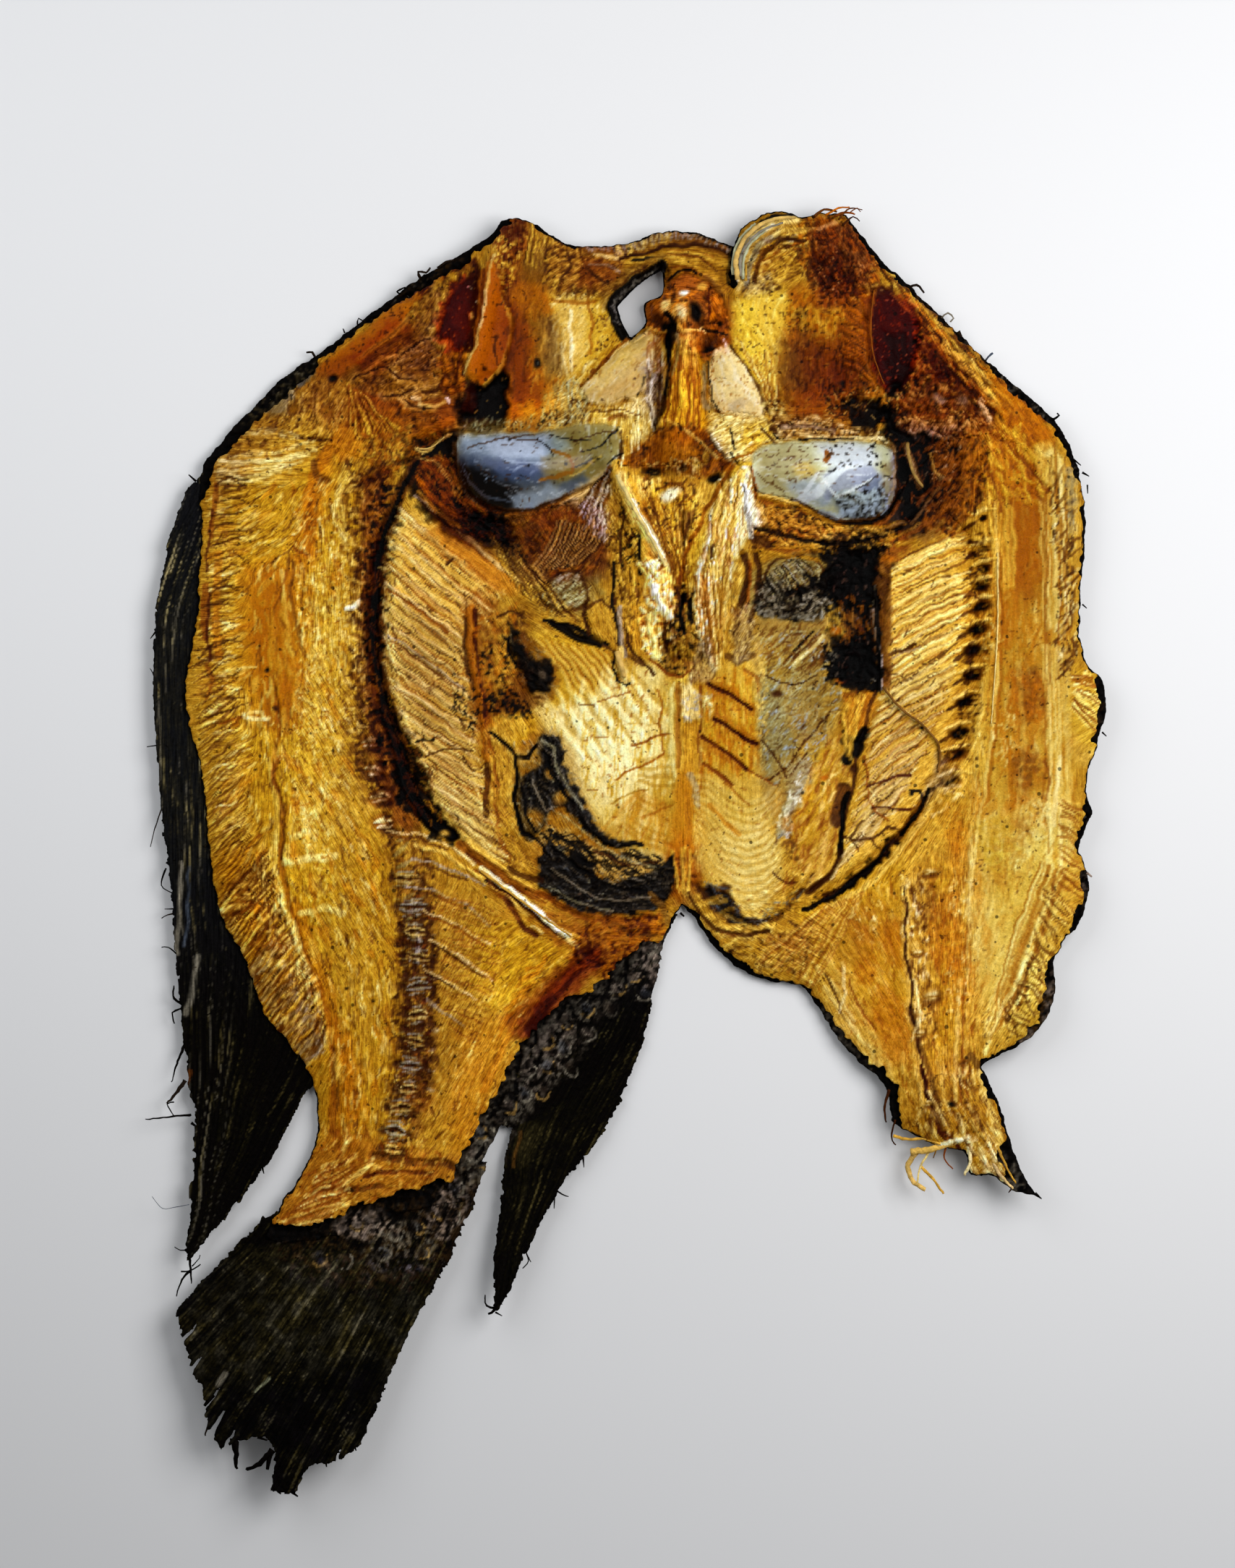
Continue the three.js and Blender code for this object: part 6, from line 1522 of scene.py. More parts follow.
strokes(flesh, [
    ([(-31.6, 139.4), (-33, 134), (-33.7, 129), (-34.4, 124), (-35.6, 119.6), (-37, 115.6), (-38.4, 112)],
     0.36, 0.7, "bone", 0.9),
    ([(-33.4, 131), (-34, 126.6), (-34.6, 122.4)], 0.4, 0.5, "pink", 0.95),
    ([(-29.6, 131), (-28.5, 126), (-27.4, 122.6), (-28.2, 119), (-29.6, 114.4), (-31.6, 112), (-34, 109.4)],
     0.5, 0.7, "straw", 0.9),
    ([(-31, 121), (-31.6, 117), (-31, 114)], 0.3, -0.2, "umber", 0.7),
    ([(-38.6, 116), (-39.6, 112), (-39, 108)], 0.6, 0.4, "orange", 0.6),
    ([(-37.4, 121), (-39.6, 115.6), (-40.6, 110)], 0.3, -0.4, "blood", 0.7),
    ([(-30.4, 141), (-29.8, 134), (-28.6, 128)], 0.7, -0.5, "blood", 0.75),
])
cap = [(-33, 146), (-28, 149), (-24.4, 147), (-23.6, 142), (-26, 138), (-29, 130), (-30.6, 134),
       (-31.4, 140)]
patch(flesh, cap, 0.3, "rust", 0.9, 0.8, 0.6)
grain(cap, 120, 1.2, 0.32, "blood", "straw", 6, stray=1.4, amount=0.8)
patch(flesh, [(-30, 147), (-25, 147.6), (-25, 143), (-28.6, 143.6)], 0.2, "blood", 0.7, 0.9, 0.8)
patch(flesh, [(-23.6, 147.6), (-19.6, 145), (-17, 142), (-20, 139), (-23.4, 141)], 0.3, "ochre", 0.85, 0.9,
      0.5)
patch(flesh, [(-24.6, 139.6), (-20, 140), (-19.6, 133), (-23, 131), (-25.6, 134)], 0, "olive", 0.75, 1.6,
      0.6, gloss=0.6)
strands([(-23, 148), (-20, 145.6), (-16, 143)], [(-24, 138), (-20, 137), (-17, 137)], 12, 0.35, "straw",
        "brown", 4)
panel = [(-27.6, 133), (-20, 132), (-17, 126), (-15.6, 114), (-19, 104), (-22, 99.6), (-28.6, 100.4),
         (-28, 112), (-27, 123)]
patch(flesh, panel, 0.1, "amber", 0.85, 1.2, 0.5, gloss=0.75)
patch(flesh, [(-28, 124), (-23.6, 125), (-22.6, 116), (-24, 111), (-28.6, 112)], -0.3, "caramel", 0.8, 1.6,
      0.6, gloss=0.75)
patch(flesh, [(-27.6, 133), (-21, 133), (-20, 125), (-25.6, 124)], 0, "hay", 0.6, 1.6, 0.6, gloss=0.6)
patch(flesh, [(-22.6, 124), (-17.6, 125.6), (-16, 112), (-19.4, 110.6)], -0.2, "sage", 0.7, 1.5, 0.8)
patch(flesh, [(-28, 111.6), (-24, 112.4), (-19.6, 108), (-22, 104), (-27.6, 105.6)], -0.4, "rust", 0.85,
      1.4, 0.8, gloss=0.7)
patch(flesh, [(-28.4, 105), (-22, 106), (-18.6, 104), (-21, 99.6), (-28.6, 100.6)], 0.3, "orange", 0.95,
      1.1, 0.8, gloss=0.6)
patch(flesh, [(-26, 104.6), (-22.6, 105.6), (-21.4, 102.6), (-24.4, 101)], 0.1, "sun", 0.5, 1, 0.8)
flecks(flesh, panel, 90, 0.9, 0.22, -0.15, "umber", 0.75, 106, stray=1.5)
outline = [(-22, 126), (-17, 126), (-15, 111), (-19, 110)]
flecks(flesh, outline, 70, 4, 0.24, 0.15, "bone", 0.45, 107, lean=84, stray=0.12)
flecks(flesh, outline, 50, 4, 0.22, -0.15, "umber", 0.5, 108, lean=84, stray=0.12)
dome(flesh, (-21.5, 114.4), (1.5, 2.5), -14, 0.2, "straw", 0.7)
dome(flesh, (-21.5, 114.4), (1.1, 2.2), -14, -0.5, "char", 1)
dome(flesh, (-21.8, 114.8), (0.45, 0.7), -14, 0.2, "sage", 0.8)
dome(flesh, (-21.2, 120.4), (0.5, 0.4), 0, -0.3, "char", 1)
cavity = [(-40, 100.6), (-38.6, 103.4), (-37.6, 107.4), (-35.6, 110), (-34, 108.8), (-31.6, 111.4),
          (-29.6, 113.2), (-28.2, 111), (-29, 108),
          (-28.4, 104.4), (-29.6, 100.6), (-34, 99.6)]
patch(flesh, cavity, -1.6, "char", 0.98, 0.6, 0.6, gloss=0.6)
patch(flesh, [(-39.6, 103), (-38, 109), (-36, 110), (-36.4, 103)], 0.3, "blood", 0.7, 0.8, 0.8)
flecks(flesh, cavity, 14, 0.8, 0.14, 0.3, "bone", 0.7, 109, stray=0.8)
# yellow tissue between the panel and the jaw, and the brown hood above it
cheek = [(-19, 131), (-10, 131), (-4.4, 129), (-3.6, 123), (-1, 119.6), (-8, 113), (-12, 109.4), (-16, 112),
         (-17.6, 122)]
grain(cheek, 130, 3, 0.3, "gold", "cream", 7, stray=0.25, amount=0.6)
patch(flesh, [(-18, 130), (-9, 129), (-9, 122), (-12, 114), (-15, 112), (-16, 122)], 0.1, "sand", 0.7, 1.6,
      0.8)
patch(flesh, [(-10, 127), (-5, 126), (-3.4, 122), (-1.4, 119.4), (-7, 113.6), (-9.6, 116)], 0.1, "gold",
      0.7, 1.2, 0.6)
flecks(flesh, [(-9, 126), (-4.4, 126), (-3, 120), (-8, 114)], 44, 0.8, 0.24, -0.15, "brown", 0.9, 110,
       stray=1.5)
flecks(flesh, cheek, 50, 0.7, 0.18, -0.1, "brown", 0.8, 111, stray=1.5)
strokes(flesh, [
    ([(-9.6, 130), (-8.6, 124), (-9.6, 117)], 0.4, -0.3, "caramel", 0.6),
    ([(-14, 127), (-13.4, 120), (-13.6, 113)], 0.4, 0.3, "pale", 0.6),
    ([(-18, 129.6), (-12, 128.4), (-8, 129.4)], 0.4, -0.3, "caramel", 0.6),
    ([(-16, 119), (-15, 113), (-14, 108.6)], 0.4, 0.4, "cream", 0.7),
    ([(-14.4, 110), (-11, 109), (-8.4, 113)], 0.35, -0.4, "rust", 0.8),
    ([(-14.4, 108.6), (-13, 106.4), (-10.6, 105.6)], 0.3, -0.4, "rust", 0.8),
])
tuft = [(-20, 108), (-15, 110.6), (-11, 110.4), (-9.4, 106), (-10, 100.6), (-21, 99.4)]
patch(flesh, tuft, 0.2, "cream", 0.6, 1, 0.8)
grain(tuft, 80, 3, 0.2, "film", "silver", 8, lean=80, stray=0.25, amount=0.5)
flecks(flesh, [(-15, 106.6), (-9.6, 107), (-9.6, 103), (-15, 102.6)], 26, 0.7, 0.3, -0.3, "umber", 0.95,
       112, stray=1.5)
hood = [(-20, 143), (-10, 142), (0, 141), (6, 138), (0, 134), (-4, 131), (-12, 130.6), (-20, 132)]
patch(flesh, hood, 0, "brown", 0.45, 1.2, 0.8)
grain(hood, 230, 2.6, 0.32, "umber", "straw", 9, stray=0.5, amount=0.65)
patch(flesh, [(-11, 138.6), (-5, 138.6), (-2.6, 135.4), (-7, 132.4), (-12, 133)], -0.3, "rust", 0.7, 1.2,
      0.8)
patch(flesh, [(-9, 142.6), (-1, 142), (-1.6, 139.4), (-8, 139.6)], 0.4, "straw", 0.8, 0.7, 0.6)
strokes(flesh, [
    ([(-12, 142), (-11, 138), (-8.6, 135), (-5, 133)], 0.4, -0.4, "umber", 0.8),
    ([(-10, 141.6), (-6, 139.6), (-1, 139.4)], 0.5, 0.5, "cream", 0.8),
    ([(-3, 140.6), (0, 141.6), (3, 142)], 0.8, 0.4, "lilac", 0.8),
    ([(-9.6, 137.6), (-5, 137.4), (-2, 136)], 0.4, 0.4, "lilac", 0.6),
    ([(-17, 143.4), (-12, 141.8), (-9, 142.2)], 0.5, -0.3, "umber", 0.85),
    ([(-14.6, 141), (-14, 137), (-16, 134)], 0.3, -0.3, "umber", 0.7),
])
# the amber panel darkens to olive before the yellow tissue, with a small dark eye in it
patch(flesh, [(-22, 128), (-17, 125), (-15.6, 112), (-20, 107), (-23, 116)], 0, "olive", 0.55, 3, 1.2)
flecks(flesh, [(-29, 126), (-24, 126), (-24, 106), (-29, 106)], 40, 3.6, 0.4, -0.1, "brown", 0.5, 220,
       lean=84, stray=0.15)
flecks(flesh, [(-24, 128), (-14, 126), (-14, 108), (-23, 108)], 40, 3.4, 0.3, 0.1, "sand", 0.4, 221,
       lean=80, stray=0.2)
dome(flesh, (-21.5, 114.6), (1.1, 1.8), 15, -0.4, "char", 1)
dome(flesh, (-21.4, 114.5), (0.4, 0.8), 15, 0.4, "slate", 0.8)


# the lips, the mouth slit and the skull
for points, half, rise, colour, amount in [
        ([(-10, 142), (-5, 141.6), (0, 142.6), (5, 144.2), (10, 145), (15, 144.6), (20, 142.8), (24, 141)],
         1.6, 0.9, "brown", 0.7),
        ([(-2, 139.2), (4, 140), (8, 141.6), (14, 142), (20, 141.6), (23.6, 139.6)], 0.5, -0.8, "umber",
         0.95),
        ([(0, 137.6), (6, 139.4), (12, 140.4), (18, 139.8), (22.6, 137.4)], 1.1, 0.6, "ochre", 0.85),
        ([(1, 138.2), (5, 139), (8.4, 138.6)], 0.4, -0.4, "char", 0.8),
        ([(10, 140.2), (16, 139.4), (21, 136)], 0.3, -0.4, "brown", 0.8),
        ([(6, 137.6), (10, 138.4), (15, 137.2), (19.6, 133.8), (21.6, 130)], 1.3, 0.5, "straw", 0.8),
        ([(9.4, 137), (14, 136.8), (18, 134.4), (20.4, 131)], 0.3, -0.3, "rust", 0.7),
        ([(18, 134), (20.4, 132), (21.6, 128)], 1.0, -0.3, "olive", 0.8),
        # painted shadow: the black line beside the curled strip at the right peak
        ([(24, 141.4), (24, 137), (24, 133)], 0.8, -1.2, "char", 0.98),
        ([(7.6, 137.4), (3, 135.4), (-1, 133), (-4.4, 129.4)], 2.4, 0.3, "olive", 0.6),
        ([(8.6, 138), (8.4, 134.6), (8.6, 131.4)], 0.7, 0.6, "hay", 0.9)]:
    stroke(flesh, points, half, rise, colour, amount)
first = [(-9, 141), (0, 141.4), (8, 143), (16, 143.4), (24, 140)]
last = [(-10, 142.6), (0, 143.6), (9, 146), (16, 145.6), (25, 141.8)]
fan(flesh, first, last, 60, 0.22, -0.35, "umber", 0.85, 121, jitter=0.3)
fan(flesh, first, last, 50, 0.26, 0.35, "lilac", 0.65, 122, jitter=0.4)
fan(flesh, [(-2, 140.4), (4, 141.4), (10, 143)], [(-3, 142), (4, 143.6), (10, 145)], 16, 0.34, 0.3, "sand",
    0.6, 123)
stroke(flesh, [(9, 146), (13, 146), (18, 144.2), (24, 141.8)], 0.4, 0.3, "char", 0.9)
for k in range(4):
    stroke(flesh, [(4, 137.2 - 0.9 * k), (0, 134.8 - k), (-4, 131.6 - 0.9 * k)], 0.26,
           0.3 if k % 2 else -0.3, "straw" if k % 2 else "umber", 0.6)
    stroke(flesh, [(9, 140.8 - 0.5 * k), (14, 141 - 0.6 * k), (20, 139.4 - 0.9 * k)], 0.22, 0.3,
           "straw" if k % 2 else "rust", 0.5)
stroke(flesh, [(7.6, 137), (5, 135.8), (1, 133.4), (-2.6, 130.6), (-4, 127.6), (-3, 124.5), (-0.6, 120.4)],
       1.25, 0.9, "char", 0.98, gloss=0.6)
# fine grey lines over the black strip: painted glints
fan(flesh, [(6.6, 136.6), (1, 133.6), (-3.6, 129), (-3, 124)],
    [(5, 135.4), (0, 132.4), (-3, 128), (-2, 123)], 26, 0.16, 0.3, "grey", 0.5, 124)
skull = [(3, 127.6), (3.4, 130), (5.6, 131.2), (8.6, 131.4), (10, 133.6), (13, 135), (16.4, 134.6),
         (19, 132.6), (21.4, 130), (22.6, 126),
         (24, 121), (23.6, 118.6), (21, 116.6), (18, 115), (16, 116), (12, 117), (9, 121), (5, 121.4),
         (3.2, 124)]
patch(flesh, skull, 1.6, "rust", 0.85, 0.5, 0.4)
patch(flesh, [(9, 132), (13, 134.6), (17.6, 133), (18, 130.6), (14, 131.6), (10, 130.4)], 0.3, "rust", 0.8,
      0.8, 0.6)
patch(flesh, [(10, 129.6), (14, 128.6), (14, 123), (12.4, 121), (10.6, 124), (8.4, 128)], 0.4, "straw", 0.8,
      0.7, 0.6)
grain(skull, 170, 1.7, 0.4, "umber", "orange", 10, stray=1.5, rise=0.5, amount=0.75)
for at, reach, rise, colour in [
        ((6.6, 124.6), (2.4, 2.6), -1.4, "umber"), ((8.4, 122.8), (1.6, 2), -1.0, "char"),
        ((15.4, 125.6), (2, 3.2), -1.2, "char"), ((16.6, 123), (1.8, 1.6), -0.8, "umber"),
        ((19, 119.6), (3.4, 2.4), -0.6, "umber"), ((18.4, 117.4), (2, 1.8), -0.4, "char"),
        ((21.4, 123.4), (1, 1), -0.6, "char"), ((4.6, 129.6), (1.8, 1.4), 0.7, "amber"),
        ((7.4, 130), (1.8, 1.2), 0.6, "orange"), ((8.6, 127.4), (1.4, 1.6), 0.6, "sand"),
        ((20, 128.6), (1.5, 2), 0.7, "orange"), ((19.4, 125), (1.4, 1.6), 0.6, "amber"),
        ((12.4, 133.2), (3.4, 1.6), 0.5, "rust"),
        ((16.8, 132), (2, 1.4), 0.5, "ochre"), ((4.4, 126.4), (1.5, 1.8), 0.5, "rust"),
        ((12.4, 125.4), (1.6, 2.6), 0.5, "cream"), ((12.8, 130.4), (1.9, 1.2), 0.8, "pale"),
        ((17.6, 129), (1.2, 1), -0.5, "umber"), ((22.4, 119.4), (1.4, 2), 0.5, "rust")]:
    dome(flesh, at, reach, 15, rise, colour, 1)
strokes(flesh, [
    ([(9.6, 134.2), (11.4, 135.6), (14, 136), (15.6, 135.4)], 0.4, 0.5, "char", 0.95),
    ([(14.4, 121.6), (16, 121.4), (16.8, 122.6), (17.6, 121.4)], 0.3, 0.6, "bone", 0.9),
    ([(10, 124), (12, 121.6), (15.6, 121.6)], 0.4, 0.6, "straw", 0.8),
    ([(9.8, 132.6), (10.6, 130.6), (10, 128)], 0.4, -0.5, "umber", 0.7),
    ([(18.6, 131.6), (18.2, 128), (18.6, 124)], 0.35, -0.5, "blood", 0.8),
    ([(4, 123), (7, 121.4), (10, 122)], 0.5, 0.5, "ochre", 0.8),
    ([(17, 122), (20, 121.6), (23, 121)], 0.3, -0.4, "char", 0.8),
    ([(16, 116), (19, 117), (22, 118), (23.6, 120)], 0.35, 0.5, "rust", 0.8),
    ([(20.4, 116), (20.2, 114.4), (19.6, 113.8)], 0.3, 0.4, "umber", 0.9),
    ([(9, 126), (10.4, 123), (10.6, 120)], 0.6, -1.2, "char", 0.95),
])
# the bones of the palate and the column between them
boneLeft = [(4, 122.4), (0.5, 120.6), (-4, 116.6), (-8, 112.6), (-11, 109), (-9.4, 105.4), (-5, 104.8),
            (-1, 106.2), (1.6, 106), (3, 108.4), (4.4, 111),
            (5.4, 114.6), (6.4, 117.6), (7, 120.4)]
patch(flesh, boneLeft, 0.8, "pink", 0.85, 0.5, 0.25, gloss=0.75)
boneRight = [(19.6, 117), (23.6, 118.6), (27, 114.6), (30, 110), (32.4, 105.4), (31, 101.8), (27.6, 102.4),
             (23, 103), (19.8, 103.4), (18.6, 108), (19, 114)]
patch(flesh, boneRight, 0.8, "pink", 0.92, 0.5, 0.25, gloss=0.75)
patch(flesh, [(20, 116), (24, 117), (28, 111), (30, 106), (24, 106), (20, 108)], 0, "pale", 0.5, 1.6, 0.5,
      gloss=0.75)
flecks(flesh, boneLeft, 26, 5, 0.5, 0.08, "sand", 0.5, 113, lean=52, stray=0.1)
flecks(flesh, boneRight, 40, 0.7, 0.18, -0.1, "rust", 0.8, 114, stray=1.5)
for at, reach, colour, amount in [((-6.8, 107.4), (4, 1.8), "rust", 0.22),
                                  ((-2, 109), (4, 2), "orange", 0.16), ((25.6, 104.8), (3.2, 1.8), "lilac",
                                                                        0.5), ((2, 118.6), (2.6, 2.4),
                                                                               "lilac", 0.25),
                                  ((-7, 112), (2.6, 2), "sand", 0.4), ((29, 107), (2, 2), "cream", 0.5)]:
    dome(flesh, at, reach, 20, 0, colour, amount)
strokes(flesh, [
    ([(0.4, 120.8), (-4.4, 116.4), (-8.4, 112.2), (-11.4, 109)], 0.4, -0.6, "caramel", 0.85),
    ([(-9.6, 105), (-5, 104.2), (-1, 105.8), (1.6, 105.4)], 0.3, -0.5, "caramel", 0.7),
    ([(3.4, 111), (2.8, 108.6), (2, 106.4)], 0.26, -0.5, "char", 0.95),
    ([(2.2, 114), (1.8, 112.8)], 0.2, -0.2, "brown", 0.8),
    ([(18.4, 115), (18.8, 110.6), (19.6, 106), (21.4, 102)], 0.26, -0.6, "char", 0.95),
    ([(24, 118.4), (27.6, 113.6), (30.6, 108.4), (33, 103)], 0.45, -0.6, "umber", 0.8),
    ([(20, 103), (24, 102.4), (28, 101.6), (31, 101.4)], 0.3, -0.4, "caramel", 0.7),
    ([(17.2, 112), (17, 108), (18.2, 104)], 0.8, 0.3, "lilac", 0.8),
    ([(17.6, 114), (17.6, 110)], 0.5, 0.3, "grey", 0.6),
    ([(9.6, 123), (9.4, 117), (9.6, 112), (8.8, 107), (7.2, 102), (6, 98.4)], 0.85, -1.8, "char", 0.98),
    ([(5.6, 99), (6.6, 103), (8, 106)], 1.1, -0.5, "brown", 0.85),
])
strands([(4.6, 119.6), (6.4, 120.4), (8.4, 120)], [(4.8, 112), (6.4, 111), (8.2, 111)], 9, 0.36, "pale",
        "rust", 5)
dome(flesh, (5.4, 118.6), (2, 1.6), 0, 0, "rust", 0.7)
strands([(4.4, 112.4), (6.4, 112), (8.4, 111)], [(4.6, 107), (6, 105.6), (8, 107)], 9, 0.34, "lilac",
        "umber", 6)
column = [(10.4, 113), (9.6, 107.4), (7.8, 102.4), (6.4, 98.6), (12, 97), (18.2, 98.6), (17, 104),
          (16.6, 112), (17, 116), (13, 120), (11.4, 118)]
patch(flesh, column, 0.8, "gold", 0.9, 0.6, 0.4)
strands([(11, 119), (13, 120), (16, 116)], [(8.6, 100), (13, 98), (17.4, 100)], 15, 0.36, "sun", "rust", 7)
patch(flesh, [(10.6, 121), (15, 120.6), (16, 113), (13, 112.6), (11, 114)], 0.2, "sand", 0.7, 0.9, 0.7)
strokes(flesh, [([(11.8, 115.6), (12.2, 113)], 0.7, 0, "rust", 0.8),
                ([(14.6, 119), (14.6, 112), (15.6, 106)], 0.3, -0.4, "rust", 0.7),
                ([(12.6, 110), (12.8, 104)], 0.9, 0.3, "sun", 0.7),
                ([(11, 121), (11.4, 116), (10.4, 112)], 0.4, 0.4, "sage", 0.8)])
triangle = [(6, 99), (0, 94.4), (-4.4, 91.6), (3, 89.6), (12, 89), (18, 88.6), (26, 89.6), (21.6, 95),
            (18.4, 99)]
patch(flesh, triangle, 0.5, "rust", 0.75, 0.7, 0.7)
grain(triangle, 190, 2, 0.34, "umber", "amber", 11, lean=78, stray=0.6, amount=0.75)
flecks(flesh, [(3, 95), (12, 99), (18, 98), (24, 91), (12, 90), (0, 92)], 40, 3.4, 0.5, 0.3, "orange", 0.8,
       115, lean=60)
patch(flesh, [(6, 97), (12, 98), (15, 93), (9, 91.4), (5, 93)], 0.2, "amber", 0.7, 1, 0.8)
strokes(flesh, [([(8, 101), (3.4, 96.4), (-2, 92.5)], 0.4, 0.6, "sand", 0.8),
                ([(9, 101), (15, 97), (21, 92)], 0.4, 0.5, "sand", 0.7)])
for at, reach, rise, colour in [((5.4, 89), (3.4, 1.5), -1.3, "char"),
                                ((12.4, 89.4), (1.6, 1.4), -0.8, "umber"),
                                ((20, 87.4), (2.4, 1.6), -1.2, "char"),
                                ((18, 92.6), (1.2, 2), 0.4, "ochre"),
                                ((16, 90.4), (1.6, 2), 0.4, "ochre"), ((9.8, 83.4), (4.2, 2.8), 1, "lilac"),
                                ((9.6, 83.4), (3.6, 2.2), 0.4, "pale"),
                                ((8.4, 86.6), (0.7, 0.6), -0.3, "char"),
                                ((4, 94.6), (0.8, 0.6), -0.3, "umber"),
                                ((11.8, 99), (1, 1.6), -0.5, "umber"), ((23, 91), (2.6, 1), -0.4, "rust")]:
    dome(flesh, at, reach, 10, rise, colour, 1)
stroke(flesh, [(5.8, 98.6), (1, 94.6), (-4, 91.8)], 0.35, -0.5, "caramel", 0.8)
stroke(flesh, [(18.6, 99), (20, 95.6), (23, 92.4), (26, 90.6)], 0.5, -0.6, "umber", 0.8)
# tissue hatched with fine lines on both sides of the column
hatched = [(-9.4, 104.6), (-1, 105.6), (3.6, 107), (5.6, 102), (5.6, 98.6), (0, 93.6), (-4, 90.6),
           (-10, 90), (-12, 98)]
patch(flesh, hatched, 0.2, "straw", 0.75, 0.8, 0.6)
patch(flesh, [(0, 105.6), (3.4, 107), (5.4, 101), (5, 98), (1, 97)], 0.2, "pale", 0.7, 0.8, 0.5)
patch(flesh, [(-12, 96), (-6, 95), (-3, 91), (-10, 89)], 0, "sage", 0.7, 1.4, 0.6)
flecks(flesh, hatched, 50, 5, 0.28, 0.25, "pale", 0.7, 116, lean=86, stray=0.08)
flecks(flesh, hatched, 60, 4, 0.2, -0.25, "hay", 0.7, 117, lean=86, stray=0.08)
flecks(flesh, hatched, 30, 3, 0.2, 0.2, "pale", 0.5, 118, lean=2, stray=0.1)
strokes(flesh, [
    ([(-2.4, 99.6), (-4, 97.4), (-5.4, 95.4)], 0.24, -0.4, "char", 0.95),
    ([(-2, 98.8), (-1.6, 96)], 0.22, -0.4, "umber", 0.9),
    ([(-4.6, 101.6), (-2.6, 102.4), (-0.8, 102)], 0.5, -0.3, "rust", 0.85),
    ([(4.2, 106.4), (5.4, 102), (5.6, 98.8)], 0.3, 0.5, "white", 0.8),
    ([(4.6, 105), (6, 101), (6.2, 99)], 0.25, -0.4, "umber", 0.8),
    ([(-8, 104.8), (-7.4, 99), (-7.6, 92)], 0.35, 0.3, "sun", 0.7),
    ([(0, 106), (-4, 103.6), (-6, 102)], 0.3, -0.3, "hay", 0.8),
    ([(-7.6, 92), (-8.6, 90)], 0.24, -0.4, "char", 0.8),
])
creamRight = [(18.6, 103), (26, 102), (32, 101.6), (37, 97), (32, 93.6), (25.6, 90.4), (20.4, 96),
              (18, 100)]
patch(flesh, creamRight, 0.2, "cream", 0.85, 0.8, 0.5)
patch(flesh, [(27, 100.6), (33, 100), (34.6, 95.6), (28, 93.4), (26, 96)], 0, "sun", 0.75, 1.4, 0.6)
grain(creamRight, 60, 2.6, 0.26, "hay", "pale", 12, lean=30, stray=0.4, amount=0.6)
strokes(flesh, [
    ([(23.6, 99), (24, 96.6), (24.8, 94.6)], 0.26, -0.4, "char", 0.9),
    ([(24.2, 93.6), (25, 92), (25.6, 90.6)], 0.26, -0.4, "char", 0.9),
    ([(24.6, 91.8), (28, 93), (32, 93.8)], 0.3, -0.3, "caramel", 0.8),
    ([(31, 99), (33, 97.2), (34.4, 95.6)], 0.4, -0.4, "umber", 0.8),
    ([(20.4, 101), (19.6, 97.4), (21.6, 94.4)], 0.5, 0.3, "pale", 0.7),
])
flecks(flesh, creamRight, 30, 0.8, 0.22, -0.15, "brown", 0.85, 119, stray=1.5)
# pink veins and specks in the two palate skins
flecks(flesh, boneLeft, 46, 4, 0.34, 0.1, "pink", 0.5, 195, lean=48, stray=0.2)
flecks(flesh, boneLeft, 30, 3, 0.22, 0.1, "white", 0.45, 196, lean=48, stray=0.2)
flecks(flesh, boneLeft, 30, 1.6, 0.2, -0.1, "rust", 0.6, 197, lean=50, stray=0.5)
flecks(flesh, boneRight, 36, 0.9, 0.2, -0.1, "caramel", 0.7, 198, stray=1.5)
flecks(flesh, boneRight, 30, 4, 0.34, 0.1, "white", 0.4, 199, lean=-70, stray=0.2)
patch(flesh, [(23.6, 109), (28, 107), (29.4, 101), (25, 101)], 0, "pink", 0.4, 2, 1)
for k, (points, colour, amount) in enumerate([([(-11, 108.6), (-4, 113), (2, 113.6), (4, 108), (-1, 105.4),
                                                (-8, 106)], "pink", 0.5),
                                              ([(4, 116), (8, 116.4), (8.4, 108), (6.6, 100), (4.4, 104),
                                                (3.4, 110)], "lilac", 0.6),
                                              ([(-9, 104), (3, 105), (5, 98), (-1, 96), (-8, 99)], "cream",
                                               0.4), ([(-2, 118.6), (3, 120.6), (4, 115), (-4, 113)],
                                                      "sand", 0.4)]):
    patch(flesh, points, 0, colour, amount, 1.6, 1, 0.4, seed=30 + k)
strokes(flesh, [([(4.4, 115), (5.6, 111), (5, 106), (6.4, 101)], 0.4, 0.6, "white", 0.6),
                ([(6.8, 114.6), (7.4, 110), (6.6, 105)], 0.3, -0.4, "umber", 0.7),
                ([(-9, 103), (-2, 103.6), (3, 102)], 0.24, -0.3, "brown", 0.7)])


